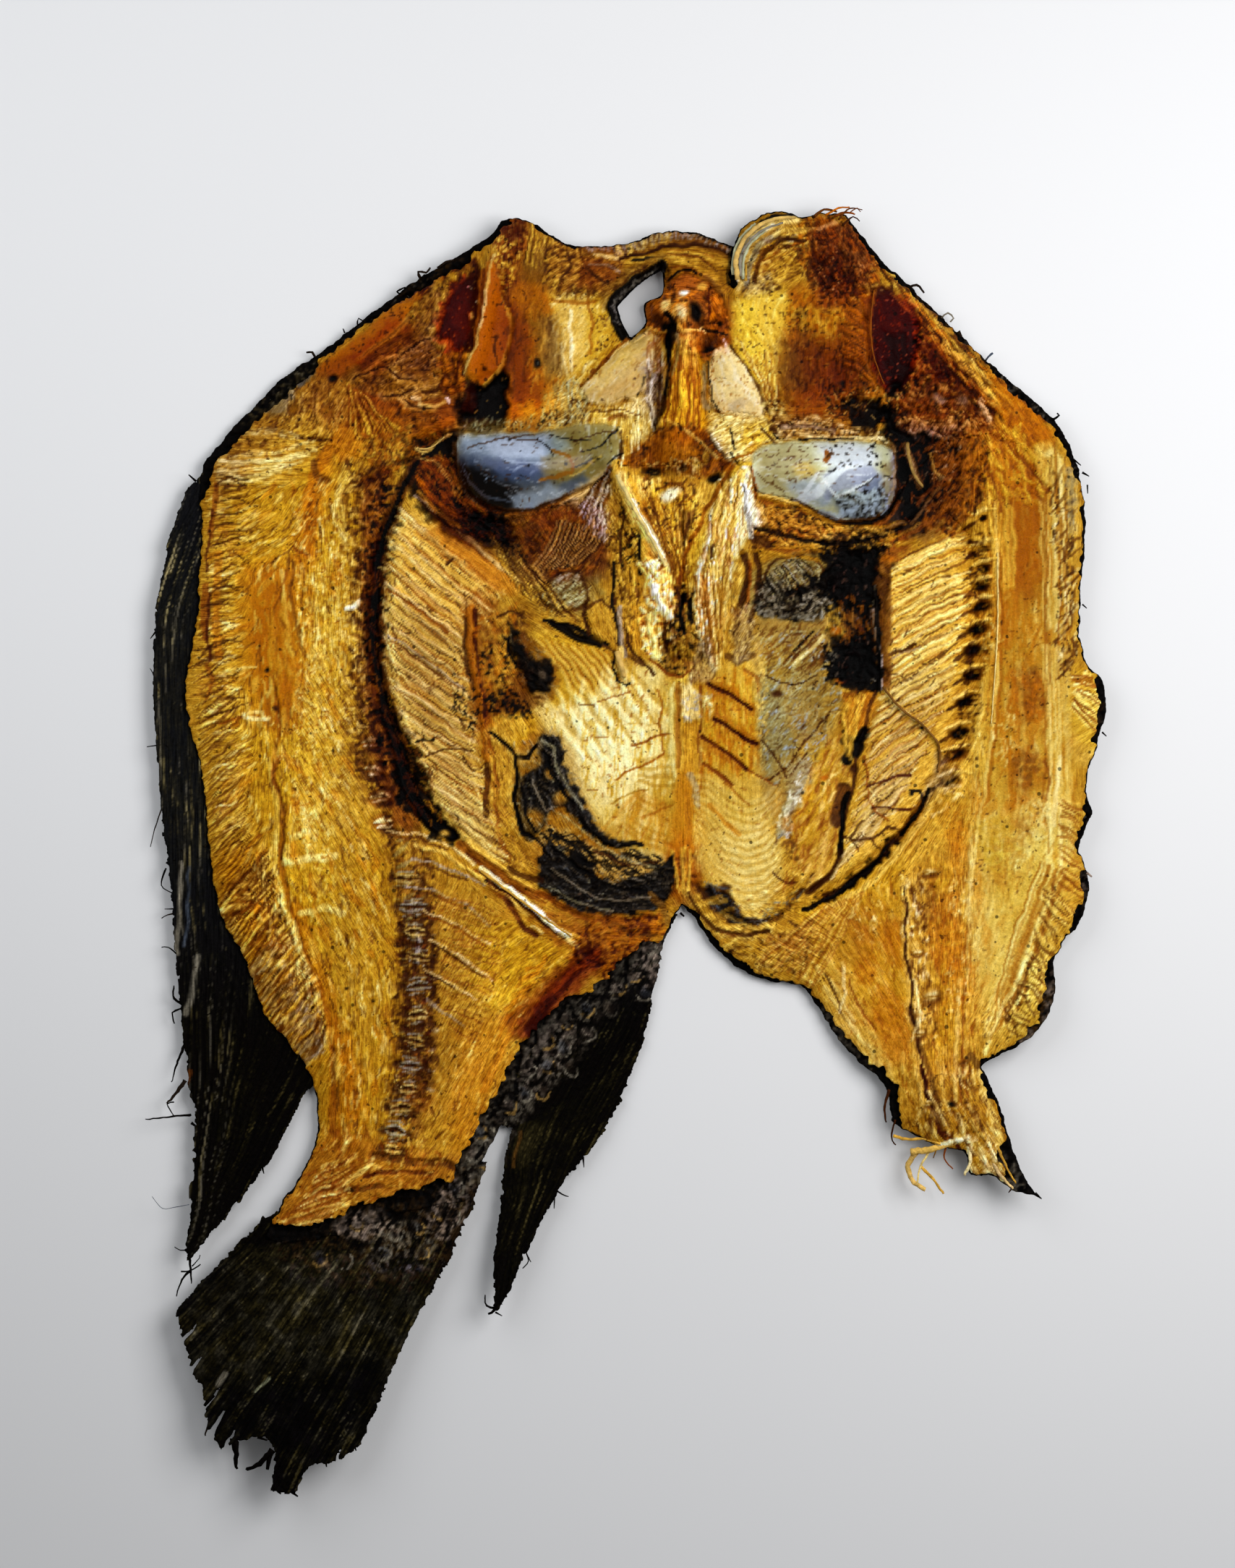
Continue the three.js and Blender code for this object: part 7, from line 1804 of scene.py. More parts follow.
# head, right side: the curled strip at the peak and the layers under it
patch(flesh, [(27, 136), (27, 142), (31, 147), (42, 148.6), (44, 142), (40, 134), (33, 131)], 0.2, "ochre",
      0.8, 1, 0.8)
for k in range(9):
    a = 0.9 * k
    stroke(flesh, [(26.4 + 0.3 * k, 135.4 + 0.2 * k), (27.6 + 0.5 * a, 140.6 - 0.4 * a),
                   (31.6 + 0.5 * a, 145 - 0.7 * a), (37 + 0.3 * a, 147.2 - 0.8 * a),
                   (41.6, 147.6 - 0.7 * a)],
           0.42 if k % 2 == 0 else 0.3, 0.5 if k % 2 == 0 else -0.4,
           ("straw", "rust", "sand", "brown", "gold", "umber", "straw", "rust", "sand")[k], 0.8)
strokes(flesh, [
    ([(25, 134.6), (25, 138.6), (26.6, 142.6), (30, 145.8), (34, 147.6), (39, 148.2)], 1.7, 1.1, "bone",
     0.7),
    ([(25.4, 136), (25.6, 139.6), (27.6, 143.4), (31, 146.2)], 1.2, 0.5, "grey", 0.75),
    ([(26.4, 136.4), (27.6, 140.6), (30.6, 143.8)], 0.35, -0.5, "brown", 0.8),
    ([(24.6, 138), (25.6, 142), (29, 146)], 0.2, -0.3, "umber", 0.8),
    ([(25.6, 137), (24.8, 134.6)], 0.5, 0.5, "pale", 0.8),
    ([(27, 136.4), (27, 133.8)], 0.6, 0.6, "straw", 0.95),
    ([(35, 143.4), (39, 143.6)], 1.1, -0.3, "lilac", 0.7),
    ([(30, 140.6), (36, 141.6), (40, 141)], 0.6, -0.5, "umber", 0.7),
    ([(28.4, 138.6), (33, 139.6), (38, 138.4)], 0.6, 0.3, "hay", 0.8),
])
patch(flesh, [(25, 134), (29, 136), (34, 135.4), (33.6, 132.4), (29, 130.6), (25.6, 131)], 0, "lilac", 0.7,
      1.2, 0.8)
grain([(24, 134), (34, 136.6), (36, 132), (28, 129.6)], 60, 1.6, 0.34, "umber", "bone", 20, stray=1.2,
      amount=0.75)
grain([(28, 146), (40, 147), (42, 137), (34, 131), (28, 136)], 90, 2.6, 0.3, "brown", "straw", 21, lean=20,
      stray=0.5)
# the yellow web beside the right bone
yellow = [(24, 129), (29, 131), (38, 131.6), (38, 122), (36, 112), (37, 104), (33, 104), (29, 112),
          (24.6, 118.6)]
patch(flesh, [(24, 128), (27.6, 129), (31, 118), (35, 108), (32.6, 106), (28.6, 113), (24.6, 119.6)], 0.1,
      "sun", 0.9, 1, 0.4)
patch(flesh, [(29, 130), (37, 130), (36, 120), (34, 112), (31, 118)], 0, "straw", 0.7, 1.6, 0.8)
grain(yellow, 80, 3, 0.24, "hay", "cream", 22, stray=0.25, amount=0.35)
flecks(flesh, yellow, 80, 0.8, 0.24, -0.15, "umber", 0.9, 120, stray=1.5)
for k in range(7):
    stroke(flesh, [(25.4 + 0.9 * k, 121 - 1.4 * k), (29 + 0.7 * k, 113.6 - 0.9 * k),
                   (33 + 0.4 * k, 107.6 - 0.4 * k)], 0.22, 0.2 if k % 2 else -0.2,
           "pale" if k % 2 else "caramel", 0.4)
strands([(29, 116), (32, 117), (36, 116)], [(33, 104), (35, 105), (36.6, 106)], 12, 0.26, "cream",
        "caramel", 22, amount=0.5)
grain([(31, 106), (38, 106), (42, 102), (38, 99.4), (32, 101)], 90, 1.4, 0.3, "umber", "cream", 23,
      stray=1.2)
# right cheek: caramel panel, its orange upper half and its dark foot
panelRight = [(38, 131), (50, 133), (56, 128), (56.4, 118), (59, 110), (54, 104), (43, 102), (37, 104),
              (36, 118)]
patch(flesh, panelRight, 0.2, "amber", 0.7, 1.2, 0.7, gloss=0.6)
patch(flesh, [(41, 130.6), (48.6, 131), (49.6, 123), (47, 120.4), (41.6, 121.6)], 0.2, "sun", 0.6, 2.4, 1.8,
      0.5, gloss=0.6)
patch(flesh, [(43, 130), (49, 131), (50, 128), (44, 127.6)], 0, "orange", 0.6, 1.2, 0.6, gloss=0.6)
patch(flesh, [(36, 119), (43.6, 120.6), (45, 112), (42, 105.6), (37, 106)], -0.1, "olive", 0.85, 2.6, 2,
      gloss=0.6)
patch(flesh, [(40, 120), (48.6, 120), (48, 110), (42, 109)], 0, "caramel", 0.6, 1.6, 0.6, gloss=0.6)
patch(flesh, [(38, 108), (46, 108.6), (47, 102.6), (40, 102.6)], 0.2, "amber", 0.8, 1.2, 0.8, gloss=0.6)
patch(flesh, [(47, 116), (56, 115.6), (58, 110.6), (48, 108)], -0.3, "rust", 0.75, 1.2, 1)
patch(flesh, [(48.6, 124), (51, 124), (50.6, 110), (48.4, 110)], -0.3, "rust", 0.7, 0.8, 0.6)
grain(panelRight, 120, 1.6, 0.28, "brown", "straw", 24, stray=0.8, amount=0.55)
grain([(38, 128), (42, 128), (42, 122), (38, 122)], 50, 1.2, 0.34, "umber", "ochre", 25, stray=1.2)
flecks(flesh, panelRight, 90, 0.8, 0.24, -0.15, "umber", 0.9, 121, stray=1.5)
strands([(50.6, 130), (50.4, 122), (50.4, 113)], [(56.4, 126), (56, 119), (57, 110)], 20, 0.36, "orange",
        "brown", 24, bow=0.6)
foot = [(45, 110), (58, 110), (62, 106), (57, 102), (47, 102)]
grain(foot, 130, 1.7, 0.36, "char", "caramel", 26, stray=1.0, amount=0.85)
patch(flesh, [(50, 105.6), (58, 106), (61, 103), (58, 98.4), (52, 99), (51, 102)], -1.3, "char", 0.95, 0.8,
      1.3)
flecks(flesh, [(45, 108), (58, 109), (58, 102), (46, 102)], 34, 2, 0.22, 0.5, "bone", 0.7, 122, stray=0.9)
# the brown tangle at the top and the very dark hollow
tangle = [(40, 149), (52, 149.6), (57, 143), (60, 136), (56, 129), (48, 129), (41, 134), (39, 142)]
grain(tangle, 340, 2.2, 0.34, "umber", "orange", 27, stray=1.4, amount=0.75)
flecks(flesh, tangle, 80, 2.6, 0.32, 0.35, "sand", 0.6, 123, stray=0.7)
patch(flesh, [(43, 140.6), (50, 140.6), (53, 135), (54, 130.4), (47, 130.4), (43.6, 134)], -0.7, "blood",
      0.85, 1, 1, 0.5)
grain([(43, 141), (51, 141), (54, 131), (46, 130)], 110, 1.1, 0.3, "char", "rust", 28, stray=1.5)
flecks(flesh, [(43, 141), (51, 141), (54, 131), (46, 130)], 50, 0.7, 0.2, 0.4, "sand", 0.7, 124, stray=1.5)
strands([(41, 149), (44, 149), (48, 149)], [(42, 134), (44, 136), (46, 141)], 10, 0.3, "amber", "umber", 25,
        bow=0.8, amount=0.4)
strands([(49, 148), (52, 147), (54, 145)], [(51, 136), (54, 131), (57, 133)], 10, 0.3, "ochre", "umber", 26,
        bow=-0.5, amount=0.4)
patch(flesh, [(53, 141), (57, 139.6), (56, 137.4), (52.6, 138.6)], 0.3, "olive", 0.8, 0.6, 0.5)
darkPit = [(56.8, 131), (60, 131.6), (66, 128.6), (68, 122), (66.6, 118), (66.4, 111), (64.4, 107.6),
           (61, 107.4), (59.4, 110.6), (57.2, 116), (56.6, 123)]
patch(flesh, darkPit, -0.6, "blood", 0.98, 0.6, 0.4, gloss=0.7)
patch(flesh, [(60, 121), (65.6, 121), (66, 111), (61, 109)], -0.4, "char", 0.5, 1.4, 0.8)
flecks(flesh, darkPit, 40, 0.6, 0.15, 0.2, "pink", 0.6, 125, stray=1.5)
flecks(flesh, darkPit, 60, 0.9, 0.2, 0.2, "rust", 0.8, 126, stray=1.5)
patch(flesh, [(60.4, 109.6), (64, 110), (63.6, 106.4), (61, 106.4)], -0.8, "char", 0.95, 0.5, 0.6)
strokes(flesh, [
    ([(57.4, 131.6), (56.6, 126), (56.5, 121), (57.4, 116), (59, 111.4), (60, 109)], 0.22, 0.4, "caramel",
     0.7),
    ([(56.2, 130), (55.6, 124), (55.8, 118), (57.4, 112.6)], 0.6, -0.4, "rust", 0.7),
    ([(66.8, 118.6), (68, 119.6), (69.4, 119)], 0.3, 0.4, "sand", 0.8),
    ([(67, 116.6), (69, 114), (72, 112)], 0.35, 0.4, "straw", 0.8),
])
# rough dark meat between the hollow and the rim
meat = [(66, 129), (72, 122), (80, 112), (86, 104), (84, 99), (76, 97), (66, 98), (60, 104), (66, 110),
        (67, 120)]
grain(meat, 420, 1.8, 0.42, "blood", "rust", 29, stray=1.1, rise=0.45, amount=0.85)
flecks(flesh, meat, 150, 1.5, 0.34, 0.5, "straw", 0.7, 127, stray=1.2)
flecks(flesh, meat, 130, 1.7, 0.4, -0.5, "char", 0.9, 128, stray=1.2)
patch(flesh, [(68, 120), (73, 118), (79, 110), (76, 108.6), (70, 113)], -0.4, "blood", 0.8, 0.9, 1.2, 0.5)
patch(flesh, [(66, 110), (80, 110), (84, 101), (74, 98), (64, 99)], 0, "brown", 0.45, 2, 1.5, 0.4)
for at, reach, colour in [((78.4, 105.4), (3.6, 3), "brown"), ((78, 105.8), (2.4, 2), "lilac"),
                          ((73, 106), (2.6, 1.6), "lilac"), ((74, 108.6), (1.8, 1.4), "bone"),
                          ((83, 104), (1.4, 3), "pink"),
                          ((71.6, 103.6), (2.2, 1), "umber"), ((68, 101.4), (2.4, 1.2), "bone"),
                          ((70.4, 98), (2.6, 1.6), "pink")]:
    dome(flesh, at, reach, -20, 0.5, colour, 0.7)
grain([(62, 102), (86, 101), (84, 96), (78, 94), (68, 96)], 130, 2.0, 0.34, "umber", "bone", 30, stray=1.0,
      amount=0.75)
# long strands under the right rim
patch(flesh, [(58, 141), (70, 128), (80, 118), (90, 108), (98, 101), (96, 94), (88, 100), (80, 109),
              (72, 118), (64, 130)], 0.3, "amber", 0.75, 1.2, 0.8)
strokes(flesh, [
    ([(60, 138), (66, 131.6), (74, 122.6), (80, 115.6), (88, 107)], 0.8, 0.5, "ochre", 0.8),
    ([(62, 134), (69, 125.6), (76, 117.6), (84, 108.6), (88, 103)], 0.7, 0.5, "orange", 0.85),
    ([(59, 136.6), (66, 128.6), (73, 119.6), (80, 111)], 0.5, -0.5, "umber", 0.85),
    ([(64, 134), (72, 125), (80, 116.6), (86, 110)], 0.4, -0.5, "brown", 0.8),
    ([(74, 119), (79.6, 113.6), (84, 108.6), (87.6, 105.4)], 1.1, 0.8, "straw", 0.9),
    ([(80, 115.4), (85, 109.8), (90, 105)], 0.5, 0.5, "sand", 0.8),
    ([(72, 117), (78, 110), (84.6, 103.6)], 0.5, -0.6, "umber", 0.9),
    ([(82.6, 106), (83.6, 103), (84.6, 101.4)], 0.7, 0.6, "pale", 0.9),
    ([(84, 112.6), (90, 106.6), (95, 101)], 1.0, 0.4, "amber", 0.8),
    ([(86, 114), (92, 107), (98, 101)], 0.5, -0.5, "umber", 0.7),
    ([(68, 131), (76, 122.6), (84, 114.4)], 0.5, -0.4, "umber", 0.7),
    ([(90, 104), (89, 100), (86, 97)], 0.4, -0.4, "rust", 0.8),
    ([(88, 100), (92, 96), (96, 92)], 0.5, 0.4, "sun", 0.7),
])
outline = [(58, 140), (72, 127), (90, 109), (97, 100), (88, 100), (76, 113), (64, 128)]
flecks(flesh, outline, 130, 3.4, 0.28, -0.3, "umber", 0.75, 129, lean=-46, stray=0.2)
flecks(flesh, outline, 110, 3.4, 0.34, 0.3, "straw", 0.65, 130, lean=-46, stray=0.2)
patch(flesh, [(84, 112), (90, 108.6), (98, 101), (100, 96), (94, 97), (88, 103)], 0.2, "amber", 0.7, 1, 0.8,
      gloss=0.6)
patch(flesh, [(80, 99), (90, 99), (97, 92), (96, 82), (84, 84), (80, 90)], 0.2, "amber", 0.6, 2, 1)
grain([(80, 99), (92, 100), (99, 92), (97, 80), (82, 82), (79, 90)], 150, 3, 0.34, "rust", "sun", 31,
      lean=-58, stray=0.35, amount=0.6)
for points in ([(86, 98), (92, 92), (97, 86)], [(83, 92), (86, 86), (87, 80)],
               [(90, 96), (94, 90), (99, 84)]):
    stroke(flesh, points, 0.34, -0.4, "rust", 0.7)
patch(flesh, [(94.6, 95), (99, 95.6), (100, 88), (97.6, 86)], 0.3, "sand", 0.7, 1, 0.6)
dome(flesh, (98, 93.4), (1.6, 1.6), 0, 0.3, "cream", 0.8)
patch(flesh, [(102, 91), (104.6, 90), (104.6, 78), (103, 74), (102.8, 84)], -0.2, "grey", 0.6, 0.5, 1)
flecks(flesh, [(101.6, 92), (105.4, 90), (105, 73), (103, 73)], 40, 2.2, 0.3, 0.3, "bone", 0.8, 131,
       lean=84)
# the pale bent bone at the top of the right jaw, and the dark crumbs round it
strokes(flesh, [
    ([(25.8, 132.6), (26.2, 137), (28.6, 142.4), (33, 146.2), (38.6, 147.6)], 1.3, 0.7, "bone", 0.85),
    ([(27.6, 133), (28, 137.4), (30.6, 142), (35, 145)], 0.7, 0.3, "grey", 0.6),
    ([(25.2, 134), (26, 139), (29, 143.6), (33.6, 146.6)], 0.35, 0.4, "white", 0.5),
    ([(29.4, 133.4), (30, 137.6), (32.6, 141.6), (37, 143.6), (41, 143)], 0.5, -0.7, "umber", 0.85),
    ([(30.6, 147.4), (35, 149), (40, 149)], 0.6, 0.2, "char", 0.9),
    ([(34, 144.6), (39, 145.4), (44, 145.6), (49, 148)], 0.6, 0.5, "sand", 0.7),
], bend=False)
outline = [(40, 146), (56, 146), (58, 134), (52, 126), (44, 128)]
flecks(flesh, outline, 70, 2.6, 0.3, 0.45, "orange", 0.7, 204, lean=-52, stray=0.7)
flecks(flesh, outline, 90, 2.0, 0.32, -0.4, "umber", 0.85, 205, lean=-52, stray=0.7)
flecks(flesh, [(38, 120), (56, 118), (56, 102), (40, 102)], 60, 2.8, 0.28, -0.25, "umber", 0.7, 206,
       lean=84, stray=0.25)
flecks(flesh, [(60, 108), (84, 106), (80, 96), (62, 98)], 70, 2.4, 0.3, 0.4, "sand", 0.5, 207, lean=-44,
       stray=0.8)


# the two gill covers: smooth ovals, yellow green to one side, black to the other, with painted highlights
# in ice blue and steel and fine ice streaks standing in for their silver sheen
def gillCover(outline, base, tintsAndHighlights, seed, seam):
    patch(flesh, outline, 0.7, base, 0.97, 0.7, 0.3, gloss=0.75)
    # fields of colour over the base, some of them painted highlights
    for points, colour, amount, softness in tintsAndHighlights:
        patch(flesh, points, 0, colour, amount, softness, 0.6, gloss=0.8, seed=seed)
    stroke(flesh, seam, 0.7, -0.8, "umber", 0.8, taper=0.4)
    flecks(flesh, outline, 60, 1.4, 0.18, -0.1, "umber", 0.7, seed, stray=0.4)
    flecks(flesh, outline, 90, 3, 0.2, 0.1, "ice", 0.4, seed + 1, stray=0.15)


coverLeft = [(-40.6, 97.6), (-36, 98.2), (-30, 97.8), (-22, 98.2), (-16, 99.4), (-8, 100.6), (-3, 99.6),
             (-1.6, 96), (-3, 91), (-6.4, 87.6),
             (-12, 84.4), (-20, 81.2), (-27, 79.6), (-33, 81), (-38, 84), (-40.4, 88), (-41, 93)]
gillCover(coverLeft, "sage", [
    # painted highlight: steel and ice blue over the upper part of the left cover
    ([(-40, 98), (-20, 98), (-14, 96), (-18, 88), (-30, 86), (-40, 92)], "steel", 0.9, 2),
    ([(-34, 96), (-28, 97), (-20, 95), (-18, 92), (-26, 91.4), (-33, 93)], "ice", 0.85, 1.8),
    ([(-31, 96), (-24, 95.4), (-22, 92), (-30, 92.4)], "ice", 0.6, 1.2),
    ([(-40, 93), (-30, 91.6), (-20, 91), (-19, 87), (-28, 86), (-38, 87)], "slate", 0.6, 1.6),
    ([(-34, 91.6), (-26, 91), (-20, 89.6), (-22, 87.6), (-32, 88.6)], "lavender", 0.75, 1.4),
    ([(-40, 92), (-33, 92), (-26, 90), (-18, 88), (-17, 84), (-27, 80), (-35, 82), (-40, 88)], "indigo",
     0.6, 2.5),
    ([(-40.4, 91), (-36, 90), (-30, 87), (-25, 84), (-27, 80), (-33, 80.6), (-38, 83.6)], "char", 0.96,
     1.5),
    ([(-28, 83), (-20, 85.4), (-10, 87.6), (-12, 84.6), (-20, 81.4), (-27, 79.8)], "steel", 0.8, 1.2),
    ([(-17, 86), (-11, 88.6), (-9, 87), (-14, 83.8)], "slate", 0.85, 1),
    ([(-20, 92), (-14, 93.6), (-11, 91), (-14, 88), (-20, 87.4)], "film", 0.6, 1.2),
    ([(-16, 99), (-6, 100), (-2, 97), (-4, 92), (-12, 95)], "sage", 0.6, 1.6)], 140,
          coverLeft[7:] + coverLeft[:1])
strokes(flesh, [
    ([(-18, 93.6), (-14.4, 92.6), (-13, 90.8), (-13.6, 89), (-17, 87.4), (-21, 86.8)], 0.4, 0.2, "caramel",
     0.7),
    # painted highlight line on the left cover
    ([(-30, 92.6), (-26, 90.8), (-20, 90.6)], 0.3, 0.1, "ice", 0.5),
    ([(-38, 94.6), (-31, 96.4), (-22, 97.4)], 0.2, -0.2, "umber", 0.7),
    ([(-19, 97.6), (-14, 96.6), (-9, 96.4)], 0.18, -0.3, "char", 0.9),
    ([(-21, 96.4), (-19, 94.6), (-17.6, 92.4)], 0.18, -0.3, "char", 0.8),
    ([(-11, 93.4), (-8.6, 94.2), (-6, 95.4)], 0.18, -0.3, "char", 0.9),
    ([(-6, 95.4), (-4.4, 97), (-2.6, 98.8)], 0.26, -0.4, "char", 0.95),
    ([(-5, 90.6), (-3.4, 92.4), (-2, 93)], 0.24, -0.3, "char", 0.9),
    ([(-13, 96.2), (-8, 98), (-3, 98.6)], 0.18, -0.2, "umber", 0.8),
    ([(-12.6, 90.4), (-10, 90.8), (-8, 92)], 0.18, -0.2, "char", 0.8),
    ([(-29, 97), (-24, 96), (-21, 96.6)], 0.18, -0.2, "umber", 0.8),
    ([(-14, 88), (-10, 90), (-7, 92.6)], 0.25, 0.2, "sand", 0.6),
    ([(-39.6, 92), (-37.4, 87), (-33.6, 83.4), (-28, 81.6)], 0.25, 0.3, "slate", 0.8),
    ([(-41, 88), (-38.6, 83.4), (-33.6, 80), (-27.4, 78.8), (-20, 80.4), (-12, 83.6), (-6, 87), (-3, 91)],
     0.6, 0.7, "caramel", 0.85),
    ([(-42, 90), (-39.4, 83.6), (-34, 79.6), (-28, 78)], 0.3, 0.5, "bone", 0.6),
    ([(-41, 89), (-38.6, 84.6), (-35.6, 82)], 0.24, 0.3, "grey", 0.7),
    ([(-20, 80.2), (-10, 83.6), (-4, 88.6)], 0.4, -0.6, "umber", 0.85),
])
for at, reach in [((-28.2, 96.2), 0.6), ((-23.7, 90), 0.5), ((-14.9, 90.8), 0.6), ((-29, 91.6), 0.35),
                  ((-21, 96.6), 0.35), ((-7.6, 91.8), 0.6), ((-16, 94.6), 0.3), ((-33.4, 84.4), 0.6),
                  ((-25.4, 93.6), 0.25), ((-19, 91.6), 0.3)]:
    dome(flesh, at, (reach, reach), 0, -0.2, "char", 1)
flecks(flesh, [(-40, 92), (-30, 87), (-26, 82), (-33, 81), (-39, 85)], 40, 0.7, 0.16, 0.2, "steel", 0.6,
       142, stray=1.5)
fringeTop = [(-40, 101.4), (-30, 101.6), (-20, 103), (-10, 104.4), (-9, 101), (-16, 99.8), (-28, 98.6),
             (-40, 98.6)]
patch(flesh, fringeTop, 0, "film", 0.5, 1, 0.8)
grain(fringeTop, 70, 2.2, 0.2, "umber", "silver", 40, lean=70, stray=0.3, amount=0.5)
flecks(flesh, fringeTop, 30, 0.7, 0.28, -0.2, "char", 0.9, 143, stray=1.5)
coverRight = [(28.4, 90), (30, 94), (34, 95.8), (40, 96), (46, 96.4), (52, 96.2), (58, 96), (62, 94),
              (63, 90), (63, 86), (61.6, 81),
              (57, 78), (51, 77.4), (45, 79.2), (38, 82.6), (31, 83.8), (28.6, 87)]
gillCover(coverRight, "silver", [
    ([(29, 90), (31, 94.4), (40, 95.6), (45, 92), (40, 86), (31, 85)], "silver", 0.9, 1.6),
    ([(29, 93), (36, 95), (43, 92), (44, 86), (36, 84), (30, 86)], "sage", 0.5, 2),
    ([(38, 90), (42, 91), (44, 88.6), (40, 87)], "straw", 0.45, 1),
    # painted highlight: the ice blue patch along the top of the right cover
    ([(44, 95.6), (57, 95.2), (58, 91), (54, 88.6), (46, 90)], "ice", 0.85, 1.6),
    ([(36, 86), (41, 87), (46, 85), (48, 81), (42, 82)], "steel", 0.8, 1),
    ([(44, 88), (50, 90), (57, 90), (61, 86), (56, 83.4), (50, 84.4), (46, 82)], "lavender", 0.85, 1.2),
    ([(52, 88), (58, 89), (61, 86), (57, 83), (52, 84)], "lavender", 0.7, 1.4),
    ([(55, 87), (60, 87.6), (61.4, 83.6), (58, 81), (55, 83.6)], "indigo", 0.4, 1.4),
    ([(47, 83), (53, 83.6), (60, 82), (58, 78.6), (51, 78)], "slate", 0.75, 1.2),
    ([(59, 91), (62.6, 92), (63, 86), (60.6, 81), (59.4, 86)], "sage", 0.6, 0.8)], 150, coverRight[7:15])
grain([(48, 84), (60, 85), (61, 80), (57, 78.4), (50, 78.4)], 80, 1.4, 0.34, "char", "steel", 41, stray=1,
      amount=0.8)
strokes(flesh, [
    # the ice strokes are painted highlights on the right cover
    ([(39, 81.6), (43, 83.4), (46.6, 86.4), (50, 89.6), (54, 91)], 1.0, 0.3, "ice", 0.7),
    ([(46, 86), (49, 83), (52.6, 84.6), (57, 87)], 0.3, 0.2, "ice", 0.7),
    ([(40, 83), (42, 85), (44, 88)], 0.5, 0.2, "ice", 0.6),
    ([(52.6, 84.4), (56, 86.2), (58.6, 88)], 0.2, -0.2, "char", 0.7),
    ([(45, 79.6), (49, 78.6), (53, 80.4)], 0.6, 0.2, "steel", 0.7),
    ([(59.6, 88), (62, 87.4)], 0.2, -0.2, "char", 0.8),
    ([(44, 78.8), (50, 76.8), (57, 77.2), (62, 80.4), (64, 86), (63.8, 92)], 0.7, -0.9, "char", 0.9),
    ([(29.6, 83.6), (36, 82.4), (42, 80.2), (48, 77), (55, 75.8), (62, 76.6), (68, 78.4)], 0.6, 0.8, "hay",
     0.9),
    ([(30, 84), (35, 83), (39.6, 81.6)], 0.3, 0.5, "bone", 0.8),
    ([(52, 75.6), (60, 75.8), (67, 78.4)], 0.5, 0.5, "olive", 0.8),
    ([(36, 84.6), (32, 86.6), (30, 88.6)], 0.2, -0.2, "umber", 0.6),
    ([(46.2, 93.6), (46.6, 92.4), (46, 91.6)], 0.7, 0.3, "rust", 0.9),
    ([(46.4, 92.6), (47.6, 93.6)], 0.4, 0.2, "umber", 0.8),
    ([(46.6, 88.6), (48.4, 89.4)], 0.3, -0.2, "char", 0.9),
])
flecks(flesh, [(46, 96), (60, 95.6), (61, 90), (50, 90)], 34, 0.8, 0.34, -0.15, "char", 0.95, 152,
       stray=1.2)
flecks(flesh, [(30, 94), (44, 95), (44, 86), (32, 86)], 60, 1.3, 0.16, -0.1, "umber", 0.75, 153, lean=4,
       stray=0.2)
aboveRight = [(33, 101), (44, 102.4), (52, 99.6), (60, 99), (61, 96), (50, 96.8), (40, 96.4), (34, 97)]
patch(flesh, aboveRight, 0.3, "film", 0.7, 0.8, 0.6)
grain(aboveRight, 120, 1.7, 0.3, "umber", "pale", 42, lean=4, stray=0.5, amount=0.8)
flecks(flesh, aboveRight, 44, 0.8, 0.3, -0.3, "char", 0.9, 154, stray=1.5)
strokes(flesh, [([(40, 98), (46, 97), (54, 96.8), (60, 97)], 0.5, 0.5, "pale", 0.75),
                ([(36, 99.6), (42, 99.8), (48, 98.4)], 0.5, 0.4, "lilac", 0.7),
                ([(40, 96.4), (46, 96.8), (52, 96.6)], 0.24, -0.5, "char", 0.9)])
# the gill hollows outside them: their black and dark brown is painted shade beside the covers, the crumbs
# and strands over it are their own colours
hollowLeft = [(-50, 91), (-46, 93), (-41.4, 93), (-40.8, 89), (-38, 83), (-33.6, 79.6), (-28, 78),
              (-29, 74), (-35, 73.6), (-42, 76.6), (-47, 82), (-50, 87)]
# painted shade: the left gill hollow in dark brown and black
patch(flesh, hollowLeft, -0.5, "umber", 0.85, 1, 1)
patch(flesh, [(-47.6, 92.6), (-45.6, 96.2), (-42.4, 98), (-40.8, 97.2), (-41.4, 93.6), (-44.8, 91.6)], -1,
      "char", 0.97, 0.5, 0.5)
patch(flesh, [(-48, 91), (-42, 91), (-41, 86), (-44, 83), (-48, 86)], -0.3, "char", 0.8, 1, 1.2, 0.4)
patch(flesh, [(-40, 80), (-33, 79.4), (-28, 77), (-29, 74), (-35, 73.6), (-40, 76)], -0.6, "char", 0.93,
      0.9, 1.2)
grain(hollowLeft, 210, 2.6, 0.36, "char", "rust", 43, lean=-52, stray=0.35, rise=0.4, amount=0.85)
flecks(flesh, hollowLeft, 60, 3.6, 0.22, 0.45, "hay", 0.75, 155, lean=-52, stray=0.2)
strokes(flesh, [
    ([(-50, 94.6), (-48.6, 94), (-46.6, 95), (-44, 97.2), (-42, 98)], 0.4, 0.7, "bone", 0.9),
    ([(-49.4, 98), (-46, 99.6), (-41.6, 101.4)], 0.9, 0.4, "orange", 0.8),
    ([(-50.4, 92.6), (-46, 92), (-42, 88), (-39.6, 83.6)], 0.22, 0.5, "bone", 0.6),
    ([(-46.4, 92.4), (-43, 88), (-41, 84)], 0.2, 0.5, "bone", 0.6),
    ([(-50, 88), (-46, 83), (-41, 79)], 0.5, 0.6, "amber", 0.8),
    ([(-49.4, 84.6), (-45, 80), (-40, 76.4)], 0.5, 0.6, "ochre", 0.7),
    ([(-48.6, 82), (-44.6, 78), (-38, 74.6)], 0.35, -0.5, "umber", 0.8),
    ([(-30, 79), (-34, 76.6), (-38, 76)], 0.25, 0.4, "sage", 0.6),
])
